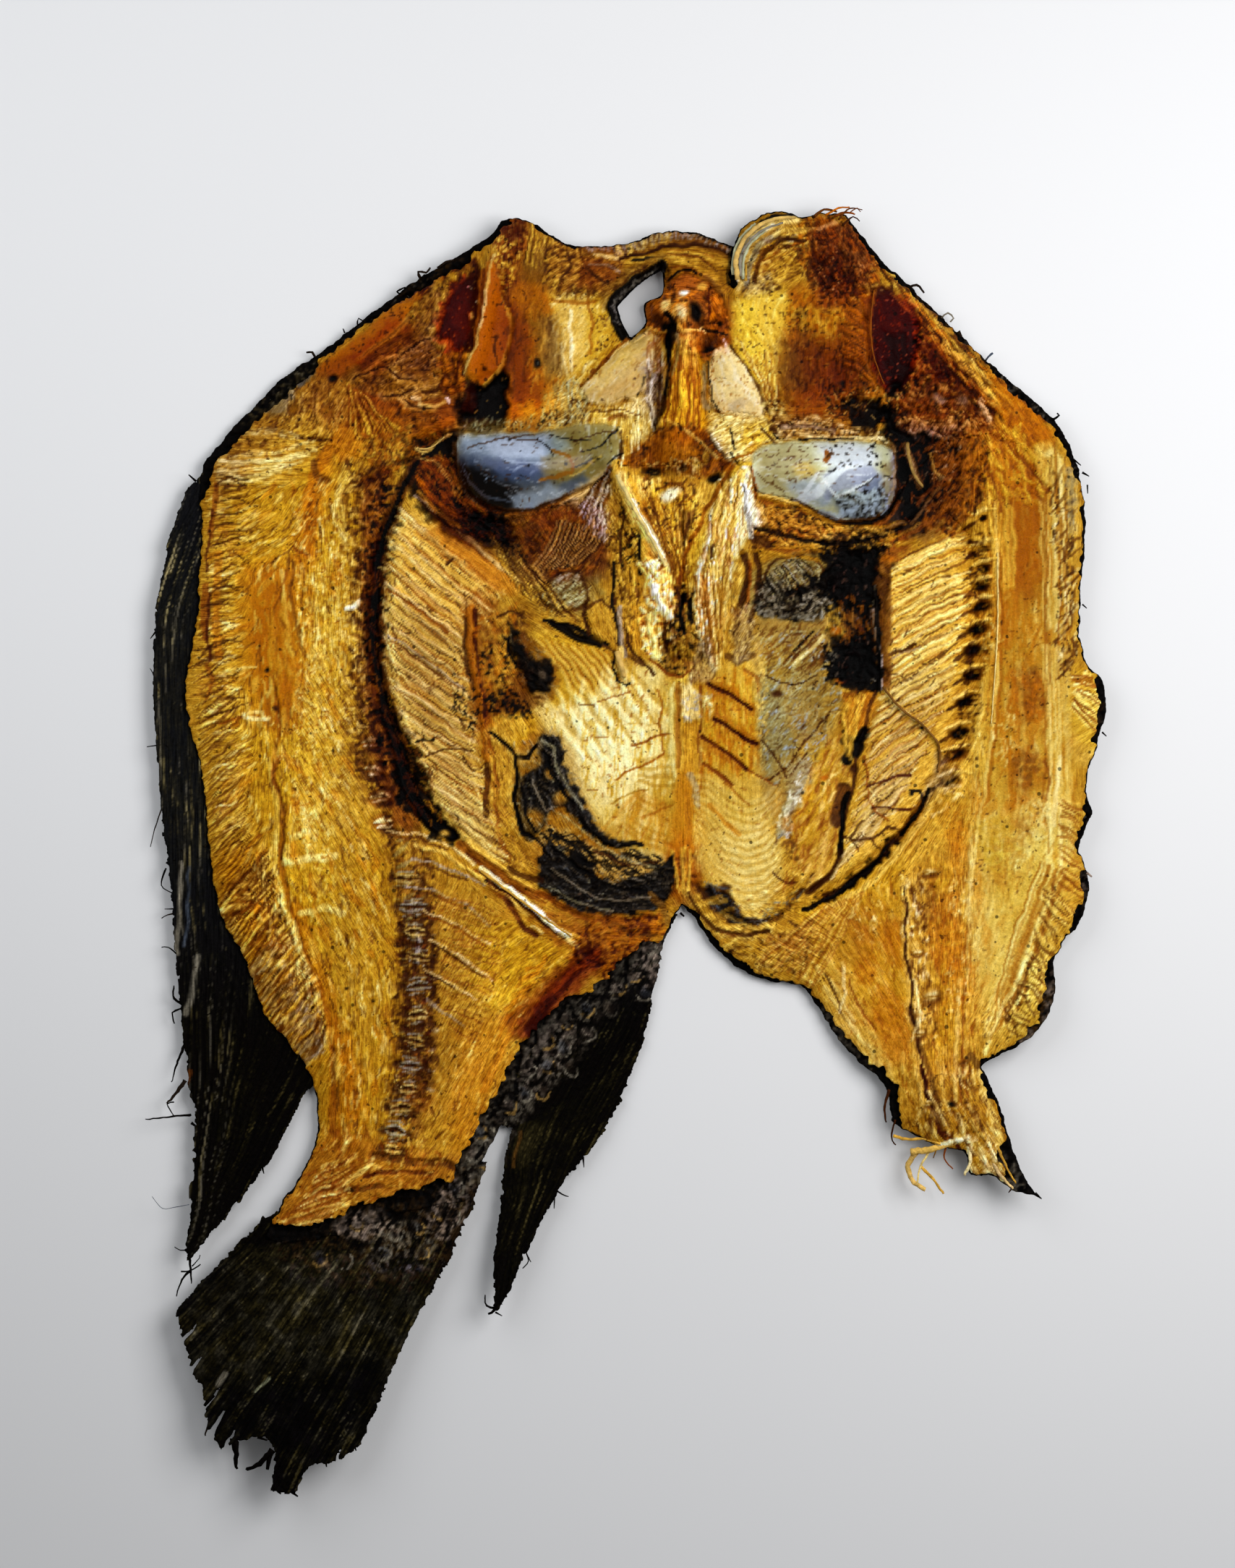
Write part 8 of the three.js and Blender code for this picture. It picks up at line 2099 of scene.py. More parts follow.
hollowRight = [(58, 104), (62, 103), (66, 98), (72, 98), (78, 94), (76, 84), (70, 78), (64, 77.4), (64, 84),
               (63.6, 92), (60, 98)]
# painted shadow: the right gill hollow filled with black
patch(flesh, hollowRight, -0.6, "char", 0.96, 1, 1.2)
grain([(70, 96), (84, 98), (84, 84), (76, 74), (68, 76), (72, 86)], 260, 2.6, 0.38, "umber", "caramel", 44,
      lean=54, stray=0.4, rise=0.4, amount=0.85)
flecks(flesh, hollowRight, 70, 2.4, 0.22, 0.5, "rust", 0.75, 156, lean=58, stray=0.5)
flecks(flesh, hollowRight, 36, 1.6, 0.2, 0.5, "bone", 0.6, 157, lean=50, stray=0.8)
strokes(flesh, [
    ([(65, 95.6), (66.4, 92), (67.6, 88.6), (68.6, 86)], 0.8, 1.2, "olive", 0.97),
    ([(65.2, 95), (66.6, 91), (68.2, 87)], 0.3, 0.4, "sand", 0.7),
    ([(71, 93.6), (72, 89.6), (74, 87.6), (75.4, 87.4)], 0.4, 0.7, "ochre", 0.9),
    ([(74, 88), (71, 83), (66, 77)], 0.4, 0.6, "olive", 0.8),
    ([(68, 82), (72, 86), (77, 88.6)], 0.4, 0.6, "rust", 0.8),
    ([(63.6, 82), (62, 79), (58, 77)], 0.5, 0.5, "rust", 0.8),
    ([(60, 104), (62, 99.6), (66, 97)], 0.9, -0.6, "char", 0.95),
    ([(62, 95), (62.6, 90), (61.6, 85)], 0.3, 0.3, "bone", 0.6),
    ([(74, 78), (70, 74), (63, 71.6)], 0.5, 0.5, "hay", 0.8),
    ([(76, 82), (70, 77), (64, 73.6)], 0.5, 0.5, "caramel", 0.8),
])
belowRight = [(30, 82), (38, 80.6), (46, 77), (54, 75.6), (62, 76), (64, 72), (56, 70.6), (46, 70.6),
              (36, 71.6), (30, 72)]
grain(belowRight, 330, 2.4, 0.34, "char", "straw", 45, lean=-14, stray=0.6, rise=0.35, amount=0.75)
strokes(flesh, [([(29, 76), (36, 74.4), (44, 72.6), (54, 72.8), (64, 76)], 0.5, -0.7, "char", 0.9),
                ([(31, 71), (40, 71.6), (48, 70.4), (60, 72.4), (68, 77)], 0.4, 0.5, "hay", 0.8),
                ([(44, 74.8), (52, 73.4), (62, 75)], 0.35, 0.4, "sand", 0.7)])
patch(flesh, [(32, 80), (42, 79), (46, 75), (40, 73.4), (32, 74)], 0.1, "rust", 0.25, 1.4, 1)
patch(flesh, [(48, 75), (58, 75), (60, 70), (50, 69.6), (45, 72)], -0.5, "char", 0.85, 1.2, 1.4, 0.5)
patch(flesh, [(30, 83), (32.4, 80.6), (32, 76.6), (30, 75.6), (29.4, 80)], 0.5, "bone", 0.85, 0.5, 0.5)
patch(flesh, [(28, 74.6), (32.6, 74.4), (33, 71.6), (29, 72)], -0.3, "umber", 0.8, 0.6, 0.8)
# black tissue below the left cover, pale fibres beside it
patch(flesh, [(-39, 80), (-31, 79.4), (-23, 76), (-20, 72), (-26, 72), (-34, 75)], -0.4, "char", 0.85, 0.8,
      2.4, 0.3, seed=11)
outline = [(-42, 82), (-30, 80), (-18, 72), (-24, 68), (-38, 75)]
flecks(flesh, outline, 70, 2.6, 0.36, -0.35, "char", 0.95, 222, lean=-34, stray=0.4)
flecks(flesh, outline, 30, 3, 0.24, 0.4, "caramel", 0.7, 223, lean=-34, stray=0.3)
outline = [(-24, 79.6), (-8, 84), (-4, 88), (-5, 78), (-12, 79)]
flecks(flesh, outline, 60, 3.2, 0.26, 0.3, "pink", 0.5, 224, lean=24, stray=0.3)
flecks(flesh, outline, 50, 2.8, 0.26, -0.3, "umber", 0.8, 225, lean=24, stray=0.3)


# the throat: two bones running down to a V, the muscle on the right, gill arches and dried balls of tissue
archField = [(-28, 79), (-16, 81), (-7, 82), (-5, 72), (-7, 66), (-16, 63), (-22, 67), (-30, 76)]
patch(flesh, archField, -0.2, "brown", 0.85, 0.8, 0.8)
grain(archField, 170, 2.2, 0.34, "umber", "caramel", 50, stray=0.6, amount=0.75)
patch(flesh, [(-22, 80), (-8, 80), (-7, 76), (-20, 76)], 0, "rust", 0.6, 1.2, 0.8)
flecks(flesh, archField, 120, 3.6, 0.22, 0.3, "hay", 0.55, 184, lean=66, stray=0.2)
for k in range(12):
    a, b = (-22 + 1.08 * k, 65 + 0.25 * k), (-21.6 + 0.98 * k, 77.4 - 0.1 * k)
    middle = (a[0] + 3.4, (a[1] + b[1]) / 2 + 1)
    stroke(flesh, [(a[0] - 1.6, a[1]), middle, (b[0] + 5, b[1])], 0.24, 0.4, "sand" if k % 2 else "film",
           0.65, bend=False)
    stroke(flesh, [(a[0] - 0.9, a[1]), (middle[0] + 0.7, middle[1]), (b[0] + 5.7, b[1])], 0.26, -0.6,
           "umber", 0.95, bend=False)
for outline, seed in [([(-21, 60), (-17, 65), (-12, 65.6), (-9.6, 61), (-11, 57), (-17, 56.6)], 51),
                      ([(31, 60), (33, 67), (38, 69.4), (44, 68), (47, 63), (42, 58), (35, 56)], 54)]:
    patch(flesh, outline, 0.6, "sage", 0.85, 0.8, 0.5)
    grain(outline, 90, 3, 0.2, "umber", "silver", seed, lean=40, stray=0.25, amount=0.55)
    stroke(flesh, outline + outline[:1], 0.4, -0.5, "umber", 0.7)
strands([(-22, 66), (-30, 72), (-34, 76)], [(-12, 54), (-20, 57), (-28, 64)], 14, 0.32, "straw", "umber",
        50)
patch(flesh, [(-9.6, 57.6), (-6.4, 59), (-4, 56), (-4.6, 50), (-8.6, 50)], 0.4, "ochre", 0.85, 0.8, 0.4)
stroke(flesh, [(-10, 57), (-6, 59), (-4, 57)], 0.4, -0.4, "umber", 0.7)
fanFoot = [(-12, 81), (-9, 77), (-7, 74), (-5.4, 72)]
patch(flesh, [(-16, 82), (-4, 90), (-2.6, 84), (-4.6, 72), (-8, 74), (-11, 80)], 0.3, "pink", 0.75, 0.9,
      0.6)
strands([(-4.6, 90), (-4, 89), (-3.4, 88)], fanFoot, 22, 0.3, "lilac", "brown", 51, amount=0.75, jitter=0.3)
flecks(flesh, [(-12, 82), (-4, 86), (-4, 73), (-8, 74)], 44, 3.4, 0.24, 0.3, "white", 0.6, 160, lean=64,
       stray=0.3)
side = [(-4, 90), (0, 89), (1.4, 80), (3, 70), (2.4, 60), (0, 46), (-3.6, 50), (-4, 62), (-5.4, 74)]
patch(flesh, side, 0.2, "ochre", 0.75, 0.7, 0.6)
grain(side, 190, 2.4, 0.36, "umber", "straw", 52, lean=-84, stray=0.35, amount=0.8)
flecks(flesh, [(-3, 84), (1, 84), (2.6, 66), (-3, 66)], 60, 0.9, 0.34, -0.3, "char", 0.9, 161, stray=1.5)
strokes(flesh, [
    ([(1.4, 77), (2.6, 71), (2.6, 65)], 0.4, -0.7, "char", 0.9),
    ([(-0.4, 84), (-1.6, 76), (-2, 68)], 0.4, -0.5, "umber", 0.8),
    ([(-3.6, 68), (-4, 60), (-3, 52), (-1.6, 47)], 0.35, -0.6, "char", 0.85),
    ([(-3.4, 90.6), (-2.2, 85), (0.6, 79), (3.4, 73.6)], 0.9, 0.9, "straw", 0.9),
    ([(-2, 88), (1, 80.6), (4.6, 74), (8, 68), (10, 63.6)], 1.3, 1.0, "bone", 0.9),
    ([(3.6, 77), (6, 73), (8.4, 69), (9.6, 66)], 1.0, 0.3, "silver", 0.7),
    ([(1, 82), (5, 74.6), (9, 67.6)], 0.35, 0.6, "white", 0.8),
    ([(4, 80), (7.6, 74.6), (10.6, 68), (11.4, 62)], 0.4, -0.6, "umber", 0.75),
    ([(-1, 46), (-2.4, 52), (-2.6, 57)], 0.6, 0.6, "lilac", 0.8),
    ([(-2, 47.6), (-1.6, 43), (-1, 40.6)], 0.8, 0.9, "bone", 0.95),
    ([(-3, 46.6), (-3.6, 43), (-3, 40), (-1, 38.8), (0.2, 39.4)], 0.35, -0.4, "char", 0.98),
    ([(-1, 52), (0.6, 47), (3, 44.4), (5.6, 41.6)], 0.4, -0.5, "umber", 0.85),
])
middleV = [(3, 86), (9, 86), (14, 83), (18, 78), (15, 66), (12, 58), (10.6, 64), (7, 74)]
patch(flesh, middleV, 0.2, "gold", 0.75, 0.8, 0.5)
patch(flesh, [(2, 88), (7, 86.6), (6, 83), (3, 82)], 0.3, "cream", 0.8, 0.7, 0.5)
grain(middleV, 110, 2.8, 0.32, "caramel", "sun", 53, lean=72, stray=0.4, amount=0.7)
strands([(4, 84), (9, 80), (13, 82)], [(10, 64), (12, 62), (14, 66)], 10, 0.34, "sand", "brown", 52)
patch(flesh, [(12.4, 79.6), (15, 80), (14.4, 75), (13, 72), (12, 75)], -0.5, "olive", 0.85, 0.6, 0.5)
stroke(flesh, [(14, 79), (13.6, 75.6), (13, 72)], 0.4, -0.6, "umber", 0.9)
crumbly = [(2, 68), (7, 69), (10, 62), (11, 54), (11, 46), (7.4, 43), (3.6, 48), (2.4, 56), (5, 62)]
patch(flesh, crumbly, 0.5, "sand", 0.85, 0.6, 0.9)
grain(crumbly, 130, 1.8, 0.42, "rust", "pale", 55, lean=80, stray=0.8, rise=0.5, amount=0.75)
vFoot = [(10.6, 62), (15, 62), (19, 56), (17, 46), (12, 41), (7, 44), (9.6, 52)]
patch(flesh, vFoot, -0.3, "brown", 0.6, 0.8, 0.9)
grain(vFoot, 130, 1.6, 0.4, "char", "ochre", 56, lean=88, stray=0.8, rise=0.5, amount=0.8)
strokes(flesh, [
    ([(12.6, 60), (12.4, 55), (13, 51)], 0.6, -0.9, "char", 0.95),
    ([(14.6, 59), (14.4, 54.6)], 0.45, -0.8, "char", 0.9),
    ([(8.6, 53.6), (8.4, 50), (9, 47)], 0.5, -0.8, "umber", 0.9),
    ([(11, 62), (11.6, 58), (10.6, 55)], 0.4, -0.6, "umber", 0.9),
    ([(5.6, 62), (7, 58), (9.4, 55)], 0.9, 0.6, "pale", 0.85),
    ([(4.6, 55), (5.6, 50), (6.6, 46)], 0.9, 0.6, "cream", 0.85),
    ([(5, 45), (8.6, 42), (12, 40.6), (15, 42.6)], 0.4, -0.6, "rust", 0.9),
    ([(2.6, 67), (4, 64.4), (3.6, 60)], 0.5, 0.6, "sand", 0.9),
    ([(10, 46), (12, 48), (15, 46)], 0.5, 0.4, "ochre", 0.8),
    ([(16, 62), (15.6, 57), (17, 52)], 0.5, 0.6, "straw", 0.8),
])
muscle = [(27, 90.6), (23.6, 87.6), (19.6, 80), (16.8, 70), (15.4, 62), (16, 52), (20, 42), (22.4, 50),
          (23.6, 60), (26, 70), (29.4, 76), (30, 84)]
patch(flesh, muscle, 0.8, "cream", 0.9, 0.6, 0.4)
strands([(21, 86), (24, 88), (28, 90)], [(16.6, 60), (19, 58), (23, 60)], 26, 0.45, "pale", "ochre", 53,
        rise=0.5, jitter=0.6)
strands([(15.8, 64), (18, 64), (22.6, 62)], [(18, 46), (20, 44), (22, 50)], 16, 0.4, "cream", "caramel", 54,
        rise=0.4)
flecks(flesh, muscle, 90, 4.4, 0.26, -0.3, "rust", 0.6, 162, lean=78, stray=0.15)
patch(flesh, [(20, 62), (23, 64), (24, 58), (22, 48), (20, 46)], 0, "ochre", 0.6, 1, 0.6)
patch(flesh, [(26.6, 84), (28.6, 84.6), (30.4, 80), (31.4, 77), (29, 75.4), (27.6, 79)], 0.5, "white", 0.75,
      0.6, 0.5)
strands([(27, 86), (28, 87)], [(28.6, 74), (32, 76)], 10, 0.28, "white", "lilac", 55, rise=0.4)
strokes(flesh, [
    ([(24, 89.6), (20.4, 84), (17, 77.6), (13, 69), (12, 63)], 0.5, -0.6, "caramel", 0.85),
    ([(19.4, 71.4), (19, 68.6)], 0.5, -0.4, "umber", 0.9),
    ([(24, 88.4), (26, 90.8), (28.4, 90.6)], 0.5, 0.6, "gold", 0.8),
    ([(28.6, 90), (29.4, 86), (30, 83)], 0.35, -0.6, "rust", 0.85),
    ([(26.8, 70), (28, 66), (27, 60), (25.4, 56)], 0.9, -0.6, "umber", 0.85),
    ([(29.4, 71), (30.6, 66), (30, 59), (28, 54)], 0.7, -0.5, "umber", 0.8),
    ([(24, 69), (26, 66), (25, 58), (23.4, 50)], 0.5, 0.5, "straw", 0.8),
    ([(28.4, 68), (28.4, 62), (27, 56)], 0.4, 0.5, "rust", 0.8),
    ([(26, 70), (30, 70.6), (36, 69.6), (44, 68.4)], 0.5, 0.6, "hay", 0.85),
])
for outline, seed in [([(24.6, 57), (27.6, 58), (29.6, 54), (28, 45), (25, 44), (24, 50)], 57),
                      ([(14, 40), (19.6, 40.4), (20, 46), (18, 50.6), (15.6, 48)], 58)]:
    patch(flesh, outline, 0.2, "lilac", 0.5, 0.8, 0.6)
    grain(outline, 50, 2.4, 0.22, "umber", "bone", seed, lean=76, stray=0.4, amount=0.45)
# painted shade: the lower part of the right ball darkened
patch(flesh, [(30, 60), (33, 65), (38, 62), (43, 62.6), (47, 60), (46, 57), (38, 55), (31, 56)], -0.1,
      "char", 0.75, 1, 1.4, 0.3)
fan(flesh, [(31, 64), (35, 67), (40, 69)], [(34, 58), (40, 59), (45, 62)], 12, 0.2, 0.3, "grey", 0.7, 82,
    jitter=0.6, bow=0.5)
fan(flesh, [(31.5, 64), (35.5, 67), (40.5, 69)], [(34.5, 58), (40.5, 59), (45.5, 62)], 12, 0.18, -0.3,
    "char", 0.7, 83, jitter=0.6, bow=0.5)
# the hatched skin under the right ball and the black mass beside it
skinRight = [(30, 56), (38, 54), (46, 55), (48, 60), (44, 63), (36, 57.6), (31, 62), (29.6, 58)]
patch(flesh, skinRight, -0.2, "soot", 0.75, 1.2, 1)
grain(skinRight, 150, 2, 0.3, "char", "grey", 59, lean=30, stray=0.5, amount=0.8)
black = [(47.2, 70), (52, 71), (58, 70), (58, 62), (56.6, 56), (55.6, 50), (57.6, 45), (60, 42), (59, 37.6),
         (55, 38.6), (52, 41), (47.4, 41.6), (45.6, 45), (47, 48.4), (51, 48.6), (50.6, 53), (48.6, 56),
         (47, 60), (42, 61), (36, 60), (40, 63), (46, 65)]
patch(flesh, black, -0.4, "char", 0.99, 0.6, 2.2)
patch(flesh, [(47, 57), (52, 57.4), (54.6, 54.4), (53, 50.4), (49, 49.6), (46, 53)], 0.3, "straw", 0.75,
      0.8, 1.4, 0.4)
flecks(flesh, black, 60, 2.2, 0.3, 0.5, "soot", 0.9, 163, stray=0.8)
flecks(flesh, black, 26, 1.0, 0.18, 0.5, "rust", 0.6, 164, stray=1)
flecks(flesh, black, 24, 1.0, 0.18, 0.5, "bone", 0.6, 165, stray=1)
for at, reach, colour in [((48.6, 51.6), (2, 1.4), "caramel"), ((54.4, 52.4), (0.8, 1.6), "brown"),
                          ((51.6, 44), (1.6, 1), "umber"),
                          ((52, 60.4), (1, 0.7), "brown"), ((59.8, 66), (0.9, 2.6), "ochre"),
                          ((60.6, 68.6), (2.6, 1.6), "orange"), ((49.6, 40), (2.4, 1.2), "rust")]:
    dome(flesh, at, reach, 10, 0.5, colour, 1)
strip = [(58, 68), (61, 69), (61.6, 60), (61.6, 46), (61.4, 38), (59, 38), (59, 44), (57, 50), (57.4, 58)]
patch(flesh, strip, 0.5, "brown", 0.8, 0.5, 0.5)
strands([(57.6, 61), (58.6, 61)], [(58.8, 38), (61.2, 38)], 9, 0.26, "lilac", "char", 56, rise=0.4,
        amount=0.8, bow=0.2)
flecks(flesh, [(30, 52), (46, 54), (47, 44), (34, 42)], 120, 3, 0.22, -0.25, "brown", 0.65, 166, lean=44,
       stray=0.4)
stroke(flesh, [(38.6, 46.6), (41, 50), (43.4, 52)], 0.22, -0.5, "char", 0.9)
stroke(flesh, [(38.8, 44), (42.6, 47.6), (45.8, 50.6)], 0.5, 0.4, "cream", 0.7)
patch(flesh, [(48, 69), (53, 70.4), (57, 68), (57.6, 62), (56, 57), (54, 59.6), (50, 58.6), (47, 61),
              (48.6, 65)], -0.3, "char", 0.97, 0.7, 2.6, seed=9)
patch(flesh, [(46, 46), (50, 48.4), (53, 46.6), (57, 50), (58.6, 43), (56, 39), (52, 41.6), (48, 40.6)],
      -0.2, "char", 0.95, 0.6, 2.6, seed=10)
flecks(flesh, [(45, 71), (59, 72), (58.6, 57), (46, 56)], 60, 2.4, 0.5, -0.3, "char", 0.97, 210, lean=60,
       stray=0.7)
flecks(flesh, [(45, 50), (58, 52), (60, 38), (46, 39)], 60, 2.2, 0.45, -0.3, "char", 0.97, 211, lean=60,
       stray=0.9)
flecks(flesh, [(46, 70), (58, 70), (58, 40), (46, 42)], 46, 1.4, 0.26, 0.4, "grey", 0.7, 212, lean=60,
       stray=0.7)
flecks(flesh, [(49, 60), (57, 60), (57, 50), (50, 49)], 30, 1.6, 0.4, 0.4, "hay", 0.8, 213, lean=60,
       stray=0.8)
# the white knob in the middle of the V, and pale scraps beside it
dome(flesh, (9.6, 83.6), (3.6, 2.4), 20, 0.7, "white", 0.85)
stroke(flesh, [(6.4, 85), (9, 86.4), (12.6, 86), (13.6, 83), (12, 80.8)], 0.35, -0.4, "brown", 0.85)
dome(flesh, (10.6, 84.2), (1.5, 1), 20, 0.2, "silver", 0.6)
flecks(flesh, [(3, 92), (16, 93), (18, 88), (10, 86), (3, 87)], 30, 2.4, 0.34, 0.4, "sand", 0.6, 208,
       lean=20, stray=0.8)
flecks(flesh, [(2, 88), (16, 86), (16, 74), (6, 76)], 50, 2.0, 0.28, -0.35, "umber", 0.8, 209, lean=70,
       stray=0.7)


# fibres, crumbs, hollows and colours brought together, with painted shade in the hollows and painted
# highlight on the crests
fibreLook = {
    "length": 6, "bundleLength": 9, "bundleWidth": 1.0, "crumbSize": 1.5, "stainSize": 9,
    "fibreRelief": 0.12, "bundleRelief": 0.16, "crumbRelief": 0.2, "waveRelief": 0.3,
    "fibreTone": 0.38, "bundleTone": 0.22, "crumbTone": 0.34, "stainTone": 0.36,
    "browning": 0.28, "pepper": 0.85,  # how strong
}
fibres = combed(fibreAngle, fibreLook["length"], cell, 70)
bundles = combed(fibreAngle, fibreLook["bundleLength"], fibreLook["bundleWidth"], 71)
bentX = gridX + 0.8 * noise(gridX / 2.4, gridY / 2.4, 92, 2)
bentY = gridY + 0.8 * noise(gridX / 2.4, gridY / 2.4, 93, 2)
crumbs = noise(bentX / fibreLook["crumbSize"], bentY / fibreLook["crumbSize"], 94, 3)
stains = noise(bentX / fibreLook["stainSize"], bentY / fibreLook["stainSize"], 95, 3)
# 1 where the flesh is rough, near 0 where it shines
rough = np.clip(1.15 - 1.1 * (flesh["gloss"] - 0.35) / 0.5, 0.12, 1)
# smoother fields: points, how much roughness stays, softness
calm = [
    ([(-22, 50), (2, 46), (11, 40), (11, -2), (0, 0), (-10, 10), (-18, 28)], 0.5, 3),
    ([(-56, 80), (-30, 66), (-36, 30), (-30, 0), (-42, 8), (-56, 40)], 0.7, 3),
    ([(62, 70), (79, 74), (79, 50), (72, 24), (54, 0), (56, 30)], 0.65, 3),
    ([(88, 94), (104, 88), (105, 0), (92, -30), (82, -30), (82, 20), (86, 60)], 0.4, 4),
    ([(31, 56), (46, 54), (50, 36), (42, 16), (35, 4), (31, 20)], 0.5, 2),
    ([(16, 42), (30, 44), (32, 20), (36, 2), (28, -12), (16, -4)], 0.55, 3),
    ([(34, 20), (50, 30), (50, 0), (44, -8), (38, 0)], 0.6, 3),
    ([(46, -16), (64, -8), (66, -40), (60, -54), (48, -34)], 0.75, 3),
    ([(-89, 62), (-80, 66), (-78, 50), (-78, 34), (-84, 30), (-90, 44)], 0.45, 3),
    ([(24, 130), (37, 131), (37, 110), (29, 108), (24, 119)], 0.4, 2),
    ([(-20, 130), (-6, 128), (-4, 120), (-12, 110), (-20, 112)], 0.5, 2),
]
for k, (points, stays, softness) in enumerate(calm):
    where, mask = fieldMask(points, softness, 1, 200 + k)
    rough[where] *= 1 - (1 - stays) * mask
    flesh["gloss"][where] = np.maximum(flesh["gloss"][where], 0.4 + 0.6 * (1 - stays) * mask)
height = flesh["height"]
waves = noise(gridX / 4, gridY / 4, 91, 3)
height += rough * (fibreLook["fibreRelief"] * fibres + fibreLook["bundleRelief"] * bundles
                   + fibreLook["crumbRelief"] * crumbs + fibreLook["waveRelief"] * waves)
# painted shade and highlight: the hollows painted darker and the crests lighter, from the height round each
# place
small = height - blurred(height, 1.6)
large = height - blurred(height, 6)
paint = flesh["paint"] = flesh["paint"] ** 3
warm = np.clip(1 - paint[..., 2] / paint[..., 0], 0, 1)[..., None]  # 0 where grey, 1 where deep yellow
paint *= 1 - np.array([0, 0.03, 0.5]) * warm ** 3
# the fibres, bundles and crumbs lighter where they stand up and darker in their gaps, partly their own
# colour and partly painted highlight and shade; the stains are their own colour
tone = rough * (fibreLook["fibreTone"] * fibres + fibreLook["bundleTone"] * bundles
                + fibreLook["crumbTone"] * crumbs + fibreLook["stainTone"] * stains)
# painted shade in the hollows and painted highlight on the crests, from the relief
tone = tone + (0.3 + 0.6 * rough) * np.clip(small, -0.8, 0.5)
tone = np.clip(tone + 0.25 * np.clip(large, -2, 1.5), -2.4, 1.0)[..., None]
paint *= np.exp(tone * (0.5 + warm * np.array([0, 0.22, 0.85])))
browning = smooth((stains * 0.7 + crumbs * 0.3 - 0.15) * 2.2)[..., None] * (rough[..., None] * warm)
browning = browning * np.clip(paint.max(2) / 0.08, 0, 1)[..., None]  # none on black places
paint += (tints["amber"] ** 3 * 0.9 - paint) * browning * fibreLook["browning"]
pepper = noise(gridX / 0.75, gridY / 0.75, 96, 1) + 0.35 * noise(gridX / 7, gridY / 7, 97, 2)
paint *= (1 - fibreLook["pepper"] * smooth((pepper - 1.0) * 7))[..., None]
